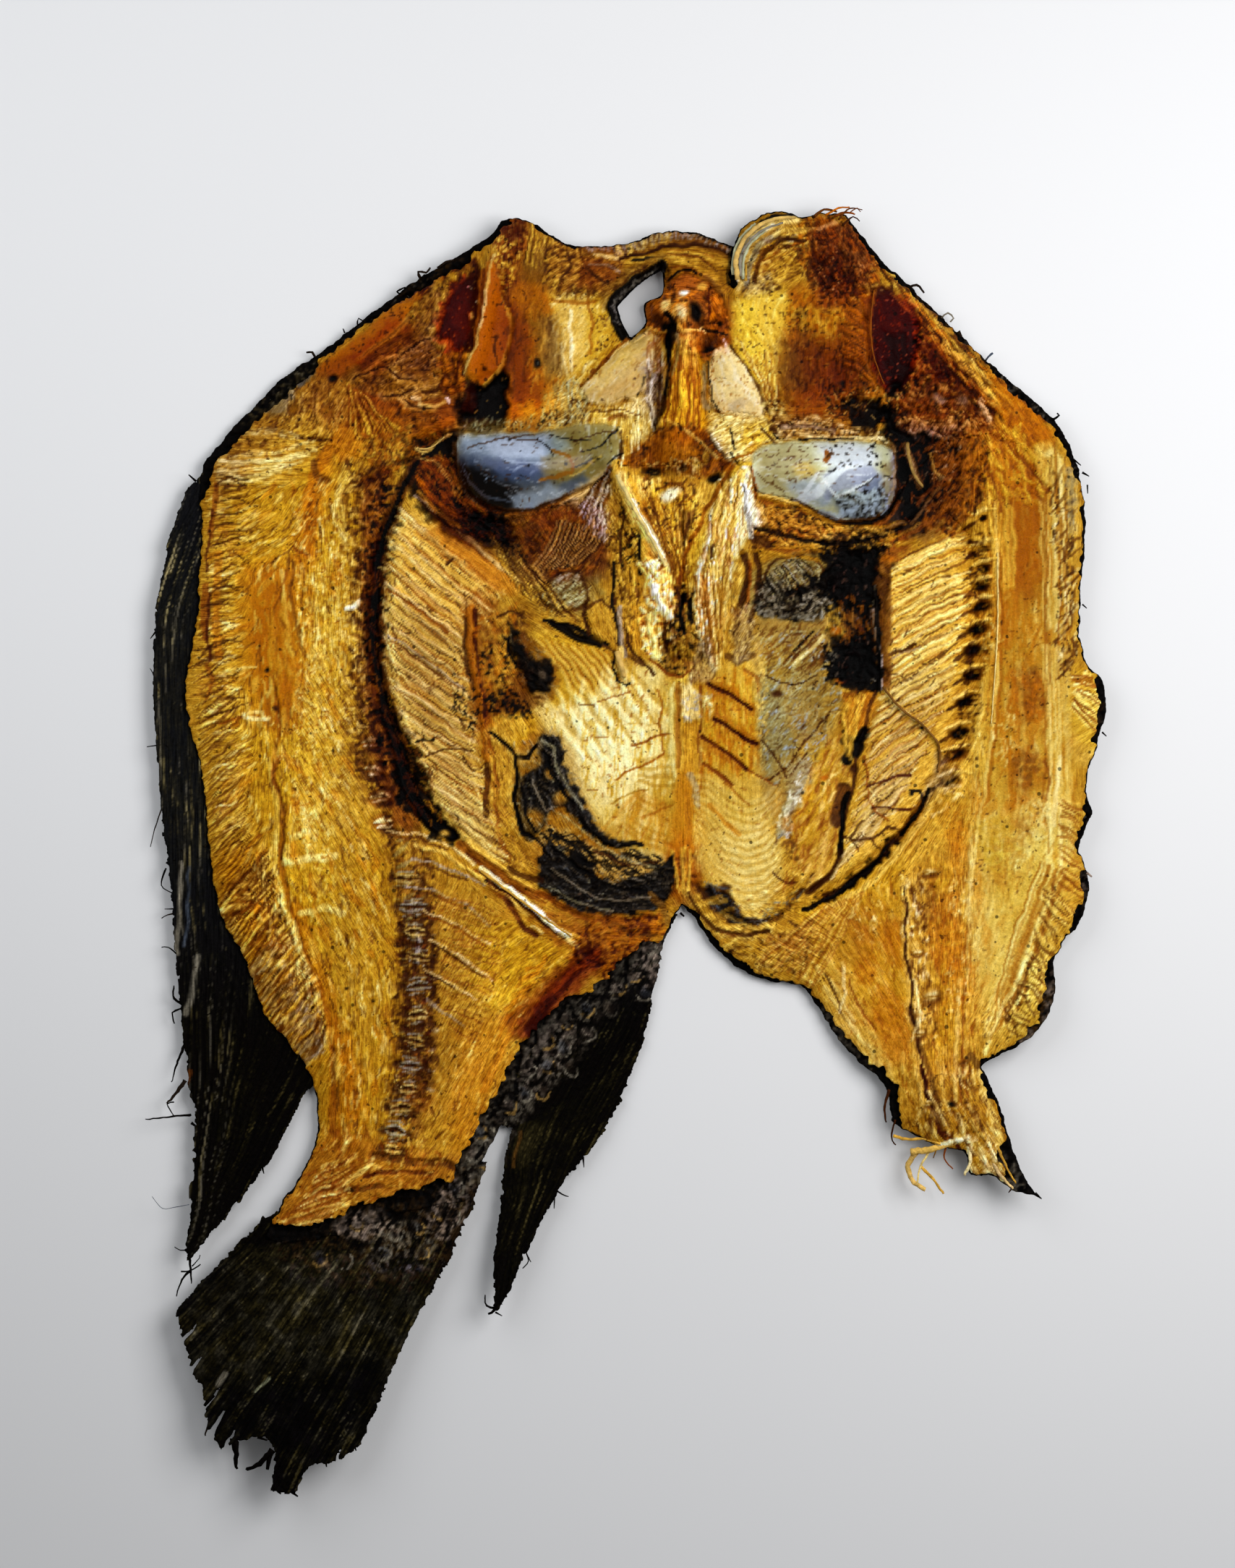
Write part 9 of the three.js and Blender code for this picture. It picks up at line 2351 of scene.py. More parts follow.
# clear washes over whole regions: points, how much red, green and blue they let through, softness
washes = [
    ([(-101, 74), (-92, 70), (-90, 30), (-92, 2), (-100, 10), (-104, 34)], (1.2, 1.3, 1.7), 4),
    ([(-98, -2), (-90, 0), (-82, -22), (-74, -46), (-77, -56), (-88, -36)], (1.02, 0.82, 0.35), 3),
    ([(-88, 60), (-66, 60), (-66, 20), (-70, -20), (-84, -10), (-90, 20)], (0.97, 0.98, 0.85), 6),
    ([(-66, 60), (-60, 50), (-56, 10), (-66, -10), (-70, 30)], (0.98, 1.0, 1.35), 4),
    ([(-66, -10), (-36, -12), (-34, -40), (-42, -60), (-66, -60), (-72, -30)], (0.86, 0.84, 0.9), 5),
    ([(-36, -30), (-24, -32), (-32, -56), (-40, -56)], (1.25, 1.35, 1.8), 4),
    ([(-8, -22), (-6, -26), (-22, -44), (-27, -42), (-18, -30)], (0.42, 0.16, 0.25), 1.6),
    ([(-79, 84), (-69, 86), (-67, 60), (-68, 20), (-72, -8), (-80, 8), (-80, 40)], (1.08, 1.14, 1.5), 4),
    ([(-88, 60), (-83, 64), (-79, 54), (-78, 42), (-82, 34), (-86, 44)], (0.93, 0.97, 0.7), 3),
    ([(-64, 88), (-56, 90), (-58, 66), (-58.4, 38), (-52, 22), (-48, 8), (-54, 5), (-60, 18), (-62.6, 44)],
     (0.46, 0.25, 0.2), 1.8),
    ([(-44, 82), (-33, 79), (-28, 77), (-28, 70), (-36, 70), (-45, 76)], (0.4, 0.32, 0.3), 1.6),
    ([(-28, 80), (-8, 82), (-6, 66), (-24, 64), (-32, 74)], (0.85, 0.9, 1.1), 1.6),
    ([(-62, 112), (-52, 121), (-42, 117), (-38, 104), (-46, 96), (-60, 98), (-70, 100)], (0.8, 0.72, 0.7),
     3),
    ([(-54, 78), (-42, 76), (-30, 64), (-40, 52), (-54, 60)], (1.15, 1.1, 1.15), 3),
    ([(-54, 58), (-38, 50), (-36, 20), (-50, 20)], (0.86, 0.78, 0.7), 3),
    ([(-18, 38), (4, 42), (8, 24), (0, 18), (-10, 20)], (1.18, 1.25, 1.45), 4),
    ([(62, 68), (79, 74), (79, 46), (62, 44)], (1.2, 1.17, 1.0), 2),
    ([(9, 40), (16.6, 40), (16, 8), (9.6, 8)], (1.02, 1.2, 1.5), 1.4),
    ([(35, 22), (40, 24), (43, 17), (38, 6), (34, 4)], (1.3, 1.1, 0.6), 1.5),
    ([(40, 26), (48, 28), (50, 4), (44, -6), (38, 2)], (1.15, 1.2, 1.8), 2.4),
    ([(60, 34), (78, 40), (74, 22), (66, 8), (54, 0)], (1.02, 1.0, 1.1), 3),
    ([(62, -8), (82, 0), (82, -46), (68, -52), (52, -40), (48, -22)], (0.97, 0.92, 1.1), 5),
    ([(80, 0), (102, 4), (98, -24), (86, -42), (78, -20)], (1.1, 1.25, 1.5), 4),
    ([(104, 44), (112, 40), (110, 24), (104, 28)], (1.05, 1.08, 0.7), 1.5),
    ([(-66, 116), (-54, 126), (-50, 120), (-60, 112)], (0.65, 0.32, 0.15), 2),
    ([(-76, 110), (-64, 120), (-58, 114), (-62, 102), (-74, 100)], (0.78, 0.62, 0.6), 3),
    ([(-64, 112), (-48, 120), (-44, 106), (-60, 104)], (1.12, 0.95, 1.2), 2),
    ([(-46, 104), (-38, 110), (-34, 104), (-44, 96)], (0.9, 0.65, 0.6), 1.6),
    ([(-26, 110), (-18, 112), (-17, 102), (-28, 102)], (1.2, 0.95, 0.4), 2),
    ([(-28, 134), (-20, 134), (-20, 114), (-28, 112)], (1, 0.78, 0.4), 2),
    ([(-37, 130), (-32, 138), (-28, 126), (-29, 114), (-36, 110)], (0.87, 0.65, 0.45), 1.4),
    ([(-46, 123), (-41, 134), (-37, 133), (-38, 119), (-43, 117)], (1.05, 0.3, 0.35), 0.8),
    ([(-19, 130), (-6, 128), (-4, 122), (-12, 112), (-19, 116)], (1.2, 1.3, 2), 2),
    ([(-12, 100), (0, 102), (4, 94), (-8, 92)], (1.15, 1.2, 1.2), 2),
    ([(18, 103), (32, 102), (31, 96), (22, 93)], (1.12, 1.14, 1.15), 2),
    ([(24, 129), (37, 131), (36, 112), (30, 110), (25, 119)], (1.4, 1.62, 1.9), 1.6),
    ([(36, 120), (42, 122), (50, 118), (55, 112), (54, 105), (46, 103), (38, 104)], (0.5, 0.27, 0.22), 6),
    ([(50, 132), (56, 130), (57, 116), (51, 112)], (0.85, 0.65, 0.5), 2.4),
    ([(57, 130), (61, 131), (67, 128), (68, 118), (64, 108), (60, 108), (57, 118)], (1, 0.27, 0.3), 0.8),
    ([(66, 128), (84, 108), (84, 98), (62, 100), (66, 112)], (0.85, 0.55, 0.5), 2),
    ([(42, 148), (54, 147), (58, 136), (50, 128), (44, 128)], (0.6, 0.36, 0.6), 2),
    ([(4, 121), (6, 134), (18, 135), (24, 128), (22, 117), (12, 118)], (1.15, 1, 1.3), 1),
    ([(10, 120), (17, 120), (18, 98), (8, 98)], (1.08, 0.88, 0.5), 1.4),
    # these two darken the gill hollows further, adding to their painted shade
    ([(-50, 92), (-40, 92), (-30, 78), (-38, 72), (-50, 84)], (0.75, 0.5, 0.45), 1.6),
    ([(62, 100), (78, 98), (76, 76), (62, 76)], (0.6, 0.52, 1.2), 2),
    ([(30, 83), (46, 78), (64, 76), (62, 71), (32, 72)], (1.1, 0.95, 0.9), 1.6),
    ([(-24, 80), (-8, 82), (-6, 66), (-24, 64)], (0.9, 0.68, 0.75), 1.6),
    ([(15, 84), (28, 90), (30, 78), (24, 56), (18, 46), (15, 60)], (1.3, 1.55, 2.8), 1.6),
    ([(-2, 88), (6, 86), (12, 66), (8, 46), (0, 50), (0, 70)], (1.35, 1.35, 1.3), 1.6),
    ([(-20, 66), (-9, 66), (-9, 57), (-20, 57)], (0.9, 0.82, 0.66), 1.2),
    ([(31, 68), (46, 68), (46, 57), (32, 57)], (0.9, 0.82, 0.7), 1.2),
    ([(48, 70), (58, 70), (56.5, 60), (57, 50), (58.6, 42), (54, 40), (51, 38.5), (48, 43), (50, 50),
      (49.5, 57), (47, 61)], (0.5, 0.3, 0.3), 1),
    ([(-27, 53), (-18, 45), (-18, 36), (-34, 32), (-27, 42)], (0.5, 0.36, 0.26), 0.8),
    ([(-26, 26), (-16, 28), (-8, 8), (0, 0), (10, -4), (8, -14), (-14, -15), (-22, -6), (-26, 4)],
     (0.75, 0.65, 0.55), 0.8),
    ([(-40, 97), (-20, 98), (-18, 90), (-28, 86), (-40, 90)], (0.62, 0.66, 0.75), 1.6),
    ([(-18, 98), (-4, 98), (-6, 90), (-18, 86)], (0.7, 0.7, 0.55), 1.6),
    ([(-2, 92), (6, 99), (18, 99), (24, 91), (12, 88)], (0.7, 0.72, 1.1), 1.2),
    ([(4, 122), (-11, 109), (-5, 105), (4, 110)], (0.88, 0.86, 0.75), 1),
    ([(29, 95), (44, 95), (45, 84), (31, 84)], (1.25, 1.22, 1.15), 1.6),
    ([(44, 90), (60, 90), (58, 83), (46, 82)], (1.2, 1.2, 1.05), 1.4),
    ([(-54, 112), (-48, 132), (-44, 130), (-46, 112)], (0.75, 0.62, 1), 2),
    ([(24, 50), (40, 50), (40, 32), (26, 32)], (1.2, 1.3, 1.5), 2),
    ([(34, 102.6), (56, 103), (58, 97.6), (36, 97)], (0.8, 0.6, 0.45), 1.2),
    ([(80, 32), (96, 34), (98, 0), (80, -2)], (1.05, 1.12, 1.35), 4),
    ([(66, -48), (80, -50), (84, -66), (66, -64)], (0.84, 0.8, 0.85), 3),
    ([(97, 92), (105, 84), (105, 44), (97, 44)], (0.9, 0.9, 0.9), 2),
    ([(93, -26), (102, -28), (100, -44), (90, -46)], (1.05, 1.2, 1.5), 2),
    ([(-9, 104), (4, 118), (8, 112), (6, 103)], (0.9, 0.85, 0.85), 2),
    ([(-31, 126), (-25, 128), (-24, 106), (-31, 106)], (0.72, 0.58, 0.6), 2),
    ([(-40, 81), (-28, 78), (-20, 74), (-24, 70), (-36, 74)], (0.5, 0.4, 0.4), 2),
    ([(-76, -6), (-66, -4), (-66, -40), (-72, -40)], (0.92, 0.92, 0.85), 3),
    ([(-100, 90), (-92, 98), (-70, 116), (-66, 112), (-84, 96), (-96, 84)], (0.72, 0.62, 0.65), 2),
    ([(-18, 144), (-2, 142), (-4, 132), (-18, 134)], (0.85, 0.7, 0.7), 1.6),
]
for k, (points, through, softness) in enumerate(washes):
    where, mask = fieldMask(points, softness, 1, k)
    paint[where] *= 1 + (np.array(through) - 1) * mask[..., None]
# the throat is no whiter than old bone
where, mask = fieldMask([(-9, 92), (31, 92), (33, 72), (21, 42), (-6, 42), (-8, 66)], 2, 1, 90)
bone = paint[where].max(2) * 0.6
paint[where][..., 2] -= mask * np.maximum(paint[where][..., 2] - bone, 0)
paint /= (0.93 + 0.0004 * gridX + 0.0012 * gridY)[..., None]  # painted light: the flesh colour lifted towards the lower left, where the lamps light it less
full = 1 - np.exp(-np.maximum(bodyDistance, 0) / body["edgeRound"])
thickness = np.maximum(body["fleshThickness"] + height, body["leastFlesh"])
fleshZ = skinZ + body["rimThickness"] + thickness * full
print("flesh brought together")


# runs of fewer joined faces than least go
def dropCrumbs(bm, least):
    seen = set()
    crumbs = []
    for start in bm.faces:
        if start in seen:
            continue
        seen.add(start)
        island = [start]
        for face in island:
            for edge in face.edges:
                for other in edge.link_faces:
                    if other not in seen:
                        seen.add(other)
                        island.append(other)
        if len(island) < least:
            crumbs += island
    bmesh.ops.delete(bm, geom=crumbs, context="FACES")


# the value of a grid array between grid points
def between(values, x, y):
    fx = np.clip((x - grid["low"][0]) / cell, 0, columns - 1.001)
    fy = np.clip((y - grid["low"][1]) / cell, 0, rows - 1.001)
    a, b = fx.astype(int), fy.astype(int)
    fx, fy = fx - a, fy - b
    return ((values[b, a] * (1 - fx) + values[b, a + 1] * fx) * (1 - fy)
            + (values[b + 1, a] * (1 - fx) + values[b + 1, a + 1] * fx) * fy)


# a closed slab cut out of the grid where keep is above 0; shown is its worked side, hidden the other one,
# which gets wide faces away from the rim
def cutOut(name, keep, shown, hidden, layer, part=None, hiddenStep=4, every=1):
    k = every
    ny, nx = (rows - 1) // k, (columns - 1) // k
    inside = keep[:ny * k + 1:k, :nx * k + 1:k]
    inside = (inside[:-1, :-1] + inside[1:, :-1] + inside[:-1, 1:] + inside[1:, 1:]) > 0
    wanted = inside if part is None else inside & part[:ny * k:k, :nx * k:k]
    for again in range(3):  # cells that touch only at a corner lose one of the two
        a, b, c, d = wanted[:-1, :-1], wanted[1:, 1:], wanted[1:, :-1], wanted[:-1, 1:]
        b &= ~(a & b & ~c & ~d)
        d &= ~(c & d & ~a & ~b)
    js, ks = np.nonzero(wanted)
    firstRow, firstColumn = js.min(), ks.min()
    high, wide = int(js.max() + 1 - firstRow), int(ks.max() + 1 - firstColumn)
    bm = bmesh.new()
    bmesh.ops.create_grid(bm, x_segments=wide, y_segments=high, size=0.5)
    spot = bm.verts.layers.int.new("spot")
    for v in bm.verts:
        row, column = round((v.co.y + 0.5) * high) + firstRow, round((v.co.x + 0.5) * wide) + firstColumn
        v[spot] = row * k * columns + column * k
    gone = []
    for face in bm.faces:
        c = face.calc_center_median()
        if not wanted[firstRow + int((c.y + 0.5) * high), firstColumn + int((c.x + 0.5) * wide)]:
            gone.append(face)
    bmesh.ops.delete(bm, geom=gone, context="FACES")
    dropCrumbs(bm, 60)
    topVerts = list(bm.verts)
    spots = np.array([v[spot] for v in topVerts])
    j, i = spots // columns, spots % columns
    x, y = gridX[j, i].copy(), gridY[j, i].copy()
    # rim points slide onto the zero line of keep
    padded = np.pad(inside, 1).astype(int)
    corners = (padded[:-1, :-1] + padded[1:, :-1] + padded[:-1, 1:] + padded[1:, 1:])[j // k, i // k]
    rim = corners < 4
    slopeY, slopeX = np.gradient(keep, cell)
    for again in range(2):
        value, sx, sy = [between(v, x[rim], y[rim]) for v in (keep, slopeX, slopeY)]
        push = np.clip(value / np.maximum(sx * sx + sy * sy, 0.25), -cell * k, cell * k)
        x[rim] -= push * sx
        y[rim] -= push * sy
    zTop, zLow = np.maximum(shown, hidden + 0.05)[j, i], hidden[j, i]
    if shown[j, i].mean() < hidden[j, i].mean():
        zTop = shown[j, i]
    place = {}
    for v, at, px, py, pz, low in zip(topVerts, spots, x, y, zTop, zLow):
        v.co = (px * unit, py * unit, pz * unit)
        place[at] = low * unit
    # the other side, and the wall between them
    made = bmesh.ops.extrude_face_region(bm, geom=list(bm.faces), use_keep_orig=True)["geom"]
    lowVerts = [g for g in made if isinstance(g, bmesh.types.BMVert)]
    for v in lowVerts:
        v.co.z = place[v[spot]]
    if hiddenStep > 1:
        safe = wanted.copy()
        for step in range(1, hiddenStep + 1):
            for axis in (0, 1):
                safe &= np.roll(wanted, step, axis) & np.roll(wanted, -step, axis)
        safe &= np.roll(safe, 1, 0)
        safe &= np.roll(safe, 1, 1)
        blocks, target = {}, {}
        for v in lowVerts:
            b, a = v[spot] // columns // k, v[spot] % columns // k
            if b < safe.shape[0] and a < safe.shape[1] and safe[b, a]:
                key = ((b + hiddenStep // 2) // hiddenStep, (a + hiddenStep // 2) // hiddenStep)
                blocks.setdefault(key, []).append(v)
        for block in blocks.values():
            if len(block) == hiddenStep ** 2:  # whole blocks only, so that no edge gets more than two faces
                target.update((v, block[0]) for v in block[1:])
        bmesh.ops.weld_verts(bm, targetmap=target)
    bmesh.ops.recalc_face_normals(bm, faces=bm.faces)
    index = np.array([v[spot] for v in bm.verts])
    mesh = bpy.data.meshes.new(name)
    bm.to_mesh(mesh)
    bm.free()
    mesh.attributes.remove(mesh.attributes["spot"])
    colour = np.ones((len(index), 4), np.float32)
    colour[:, :3] = np.clip(layer["paint"].reshape(-1, 3)[index], 0.0006, 1)
    mesh.attributes.new("paint", "FLOAT_COLOR", "POINT").data.foreach_set("color", colour.ravel())
    mesh.attributes.new("gloss", "FLOAT", "POINT").data.foreach_set(
        "value", layer["gloss"].ravel()[index].astype(np.float32))
    if "angle" in layer:
        turn = 2 * layer["angle"].ravel()[index]
        along = np.stack([np.cos(turn), np.sin(turn), 0 * turn], 1).astype(np.float32)
        mesh.attributes.new("along", "FLOAT_VECTOR", "POINT").data.foreach_set("vector", along.ravel())
    mesh.polygons.foreach_set("use_smooth", [True] * len(mesh.polygons))
    piece = bpy.data.objects.new(name, mesh)
    bpy.context.scene.collection.objects.link(piece)
    print(name, sum(len(p.vertices) - 2 for p in mesh.polygons), "triangles")
    return piece


# flesh pieces
fleshEdge = {
    "inset": 0.35, "nickSize": 1.7, "nickDepth": 0.35, "crumbleSize": 3.4, "crumbleDepth": 0.5,
    "base": 0.4,  # height of its hidden side above the skin
}
flesh["angle"] = fibreAngle
nicks = fleshEdge["nickDepth"] * noise(gridX / fleshEdge["nickSize"], gridY / fleshEdge["nickSize"], 30, 3)
crumble = noise(gridX / fleshEdge["crumbleSize"], gridY / fleshEdge["crumbleSize"], 31, 2)
fleshKeep = bodyDistance - fleshEdge["inset"] + nicks
# where dark skin shows beside the flesh: line along the edge, width
bareRims = [
    ([(-101, 84), (-98.5, 92), (-93, 98)], 1.6), ([(-92, 101), (-84, 108), (-76, 115)], 3.0),
    ([(-76, 115), (-68, 120.6), (-60, 126.6)], 1.2), ([(-60, 126.6), (-52, 133)], 1.5),
    ([(-54, 131.5), (-47, 136), (-40, 140)], 2.8), ([(-40, 140), (-33, 144.2), (-30, 148)], 1.8),
    ([(-23, 148), (-18, 144.8), (-13, 142.3)], 0.9), ([(24.6, 133), (24.4, 138), (25, 143)], 0.8),
    ([(53, 147), (59, 139.2), (66, 132.8)], 1.1), ([(66, 132.8), (75, 125.2), (84, 117)], 1.3),
    ([(84, 117), (92, 108.6), (100, 101.6)], 1.8), ([(100, 101.6), (103, 96), (105.6, 89)], 1.3),
    ([(107, 80), (106.6, 60), (106, 50)], 0.8), ([(111, 40), (112, 34), (110.5, 27)], 1.6),
    ([(108, 12), (107.5, 6), (105.5, 1)], 1.2), ([(107.5, -6), (107.4, -12), (104.5, -18)], 1.5),
    ([(100, -27), (99.8, -33), (97.6, -39.6)], 2.2), ([(97.6, -39.6), (92, -45.2), (84, -49.6)], 1.0),
    ([(84, -53), (87.6, -61.5), (90, -69.5)], 1.1), ([(91, -71), (94, -78), (96, -82)], 4.6),
    ([(61.6, -63.4), (60.6, -56), (58, -52.6)], 2.2), ([(56, -51), (49, -44), (44.5, -36.6)], 1.7),
    ([(42, -33), (31, -30), (22, -24), (14, -14)], 0.9),
    ([(5, -24), (-3, -31), (-9, -36)], 3.0), ([(-12, -39), (-19, -46), (-24, -54)], 5.4),
    ([(-26, -57), (-31, -66), (-36, -76)], 5.0), ([(-38, -82), (-48, -84), (-62, -88)], 5.6),
    ([(-62, -89), (-75, -92), (-88, -92)], 4.6),
]
for points, width in bareRims:
    points = np.array(points, float)
    where = windowOf(points, width + 2)
    far = toLine(points, gridX[where], gridY[where])[0]
    crumbled = fleshEdge["crumbleDepth"] * min(width, 1.6) * crumble[where]
    fleshKeep[where] = np.minimum(fleshKeep[where], far - width - crumbled + 2 * nicks[where])
# the lines that part the flesh into pieces: x, y for the head, y, x for the sides
headSeam = [
    (-120, 92), (-97, 97), (-70, 95), (-54, 88), (-46, 80), (-30, 77), (-14, 82), (-3, 90), (10, 90),
    (24, 92), (30, 84), (46, 78), (60, 78), (66, 88), (74, 96), (84, 98), (100, 92), (120, 92),
]
headLine = np.interp(gridX, *zip(*headSeam))
leftSeam = [
    (-92, -62), (-78, -61), (-66, -55), (-45, -51), (-20, -50), (-2, -52), (7, -47), (20, -53), (33, -57),
    (48, -60), (62, -59), (75, -57), (88, -52),
]
leftLine = np.interp(gridY, *zip(*leftSeam))
rightSeam = [
    (-22, 11), (-17, 30), (-11, 46), (-3, 58), (11, 70), (26, 77), (42, 80), (60, 82), (74, 80), (88, 66),
]
rightLine = np.interp(gridY, *zip(*rightSeam))
inHead = gridY > headLine
fleshBase = skinZ + fleshEdge["base"]
fleshParts = {
    "headFlesh": inHead, "leftBackFlesh": ~inHead & (gridX < leftLine),
    "leftBellyFlesh": ~inHead & (gridX >= leftLine) & (gridX < middleLine),
    "rightBellyFlesh": ~inHead & (gridX >= middleLine) & (gridX < rightLine),
    "rightBackFlesh": ~inHead & (gridX >= rightLine),
}
fleshPieces = [cutOut(name, fleshKeep, fleshZ, fleshBase, flesh, part) for name, part in fleshParts.items()]


# skin: a band with its scales showing round the flesh, and the whole underside
skinLook = {
    "scaleRow": 3.0, "scaleStep": 2.6,  # between rows, along a row
    "rimWidth": 7.2, "rimHeight": 0.75,  # height as a share of the rim's thickness
    "undersideThickness": 1.0,
}
skin = newLayer("char")
scaleRows = gridY / skinLook["scaleRow"]
scaleU = gridX / skinLook["scaleStep"] + 0.5 * (np.floor(scaleRows) % 2)
scaleX, scaleY = (scaleU % 1) - 0.5, scaleRows % 1
scaleEdge = np.abs(np.hypot(scaleX * 1.4, scaleY) - 0.75)
skin["height"] = 0.3 * smooth(scaleEdge * 3) + 0.25 * noise(gridX / 1.2, gridY / 1.2, 50, 3)
fin = newLayer("char")
# grey scaly ground, seen at the feet of the fins and here and there along the rims
scaly = [
    # points, colour, amount, softness, mottle
    ([(-62, -82), (-47, -80), (-36, -72), (-36, -80), (-44, -98), (-56, -104), (-74, -100), (-84, -94),
      (-74, -90)], "olive", 0.3, 2, 0.6),
    ([(-69, -86), (-60, -84), (-56, -88), (-62, -91), (-69, -90)], "lilac", 0.75, 1, 0.2),
    ([(-47, -82), (-42, -77), (-37, -76), (-38, -84), (-43, -92), (-47, -88)], "lilac", 0.7, 1, 0.7),
    ([(-60, -88), (-50, -86), (-45, -94), (-52, -99), (-62, -96)], "grey", 0.55, 1.2, 1),
    ([(-80, -94), (-66, -92), (-56, -100), (-66, -104), (-80, -100)], "sage", 0.25, 2.4, 1),
    ([(6, -14), (10, -20), (7.4, -28), (1, -32), (-6, -39), (-14, -51), (-24, -62), (-34, -78), (-42, -76),
      (-32, -58), (-24, -44), (-12, -33), (0, -24)], "grey", 0.5, 1.2, 0.7),
    ([(-24, -46), (-16, -38), (-12, -44), (-18, -54), (-26, -58)], "lilac", 0.4, 1.2, 0.5),
    ([(3, -22), (7, -19), (7, -30), (3, -33), (0, -28)], "lilac", 0.7, 1, 0.8),
    ([(-40, -64), (-32, -62), (-32, -72), (-38, -77)], "grey", 0.6, 1, 0.6),
    ([(-93, 100), (-86, 106), (-76, 115), (-71, 116), (-74, 110), (-84, 103)], "sage", 0.4, 1, 0.6),
    ([(-54, 131), (-46, 137), (-40, 139), (-46, 134)], "olive", 0.35, 0.8, 0.8),
    ([(66, 133), (76, 124), (86, 115), (84, 113), (72, 124)], "olive", 0.35, 0.6, 1),
    ([(86, 113), (94, 106), (101, 100), (98, 98), (88, 108)], "grey", 0.5, 0.6, 1),
    ([(103, 97), (106, 88), (104.6, 84), (102, 92)], "grey", 0.5, 0.6, 1),
    ([(103, 0), (109, -6), (106, -14), (102, -8)], "lilac", 0.4, 0.8, 1),
    ([(98, -30), (101, -34), (97, -42), (92, -44)], "olive", 0.4, 0.8, 1),
    ([(57, -52), (50, -45), (44, -36), (47, -36), (55, -46)], "grey", 0.5, 0.8, 0.7),
    ([(112, 36), (110, 28), (107, 26), (109, 36)], "olive", 0.4, 0.8, 1),
    ([(84, -66), (89, -71), (93, -79), (90, -81), (84, -75)], "grey", 0.6, 0.8, 1),
    ([(101, -28), (99, -42), (92, -47), (90, -44), (96, -38), (98, -28)], "lilac", 0.6, 0.6, 1),
]
# where single scales show
singleScales = [
    (4.6, -22.4), (1, -29), (3.6, -33), (-3, -32), (-5, -37), (-10, -37), (-10, -43), (-15, -40),
    (-15.6, -46), (-20, -44.6), (-14, -51), (-19.6, -50.4), (-24, -51), (-20.4, -56), (-25, -57),
    (-28.6, -60), (-31, -63.6), (-35.4, -66), (-37, -71), (-34, -72.6), (-41, -79), (-45, -84),
    (-41.6, -85.6), (-50, -88), (-55, -89), (-49, -94), (-58, -94), (-64, -87), (-67, -96), (-73, -95),
]
# outlines to fill with flecks, how many, seed
scaleFlecks = [
    ([(-62, -82), (-36, -74), (-44, -98), (-74, -100), (-84, -93)], 150, 170),
    ([(10, -18), (4, -34), (-24, -62), (-38, -78), (-30, -56), (-8, -32)], 120, 172),
    ([(-94, 100), (-76, 116), (-44, 139), (-46, 134), (-76, 109)], 110, 174),
    ([(66, 134), (104, 99), (108, 84), (103, 88), (98, 98)], 130, 176),
    ([(104, 40), (113, 36), (109, 8), (109, -12), (98, -44), (96, -30), (104, -8)], 90, 178),
]
# black places and how far they reach
blackPlaces = [
    ((-55, -85.6), (5, 1.6)), ((-47, -83), (1.6, 3)), ((-52, -96), (5, 1.4)), ((-64, -92), (4, 1.6)),
    ((-57, -102), (4, 1)), ((-79, -89.6), (8, 1.6)), ((-4, -42), (6, 5)), ((3, -38), (3, 4)),
]
for layer in (skin, fin):
    for k, (points, colour, amount, softness, mottle) in enumerate(scaly):
        patch(layer, points, 0.15, colour, amount, softness, 1, mottle, seed=k)
    # the pale outlines of single scales, and black gaps
    for k, at in enumerate(singleScales):
        turn = math.radians(-52 + 25 * math.sin(2.3 * k))
        along = np.array([math.cos(turn), math.sin(turn)]) * 2.3
        across = np.array([-math.sin(turn), math.cos(turn)]) * 1.5
        dome(layer, at, (2.4, 1.7), -52, 0.4, ("lilac", "soot", "slate")[k % 3], (0.4, 0.45, 0.4)[k % 3])
        curve = []
        for q in (-1.4, -0.7, 0, 0.7, 1.4):
            curve.append(at + along * math.cos(0.9 * q) + across * 1.2 * math.sin(0.9 * q))
        stroke(layer, curve, 0.3, 0.35, "film" if k % 2 else "grey", 0.75, taper=0.3)
        stroke(layer, [at - along * 1.2 + across * 0.9, at - along * 0.6 - across], 0.5, -0.4, "char", 0.95)
    for outline, count, seed in scaleFlecks:
        flecks(layer, outline, count, 1.4, 0.26, 0.35, "grey", 0.28, seed, stray=1)
        flecks(layer, outline, int(1.5 * count), 1.8, 0.5, -0.35, "char", 0.95, seed + 1, stray=1)
for at, reach in blackPlaces:
    for layer in (skin, fin):
        dome(layer, at, reach, -8, -0.3, "char", 1)
for layer in (skin, fin):
    layer["paint"] = layer["paint"] ** 3
speckle = noise(gridX / 0.9, gridY / 0.9, 51, 3)
mottled = 1.1 * np.clip(speckle, -1.5, 1.2) + 0.5 * smooth(scaleEdge * 3) - 0.7
skin["paint"] *= np.exp(mottled)[..., None]
skinTop = skinZ + body["rimThickness"] * skinLook["rimHeight"] + skin["height"]
rimKeep = np.minimum(bodyDistance, skinLook["rimWidth"] - bodyDistance)
rimSkin = cutOut("rimSkin", rimKeep, skinTop, skinZ + 0.3, skin)
# the underside: grey scales with dark sunk edges
underside = dict(skin)
uneven = np.exp(0.5 * noise(gridX / 6, gridY / 6, 52, 3) + 0.4 * np.clip(speckle, -1, 1))
scaleShade = (0.05 + 0.24 * smooth(scaleEdge * 4)) * uneven
underside["paint"] = np.maximum(skin["paint"], tints["grey"] ** 3 * scaleShade[..., None])
underScales = skinZ + 0.3 * smooth(1 - scaleEdge * 5)
underTop = skinZ + skinLook["undersideThickness"]
underSkin = cutOut("underSkin", bodyDistance - 0.15, underScales, underTop, underside, every=2)


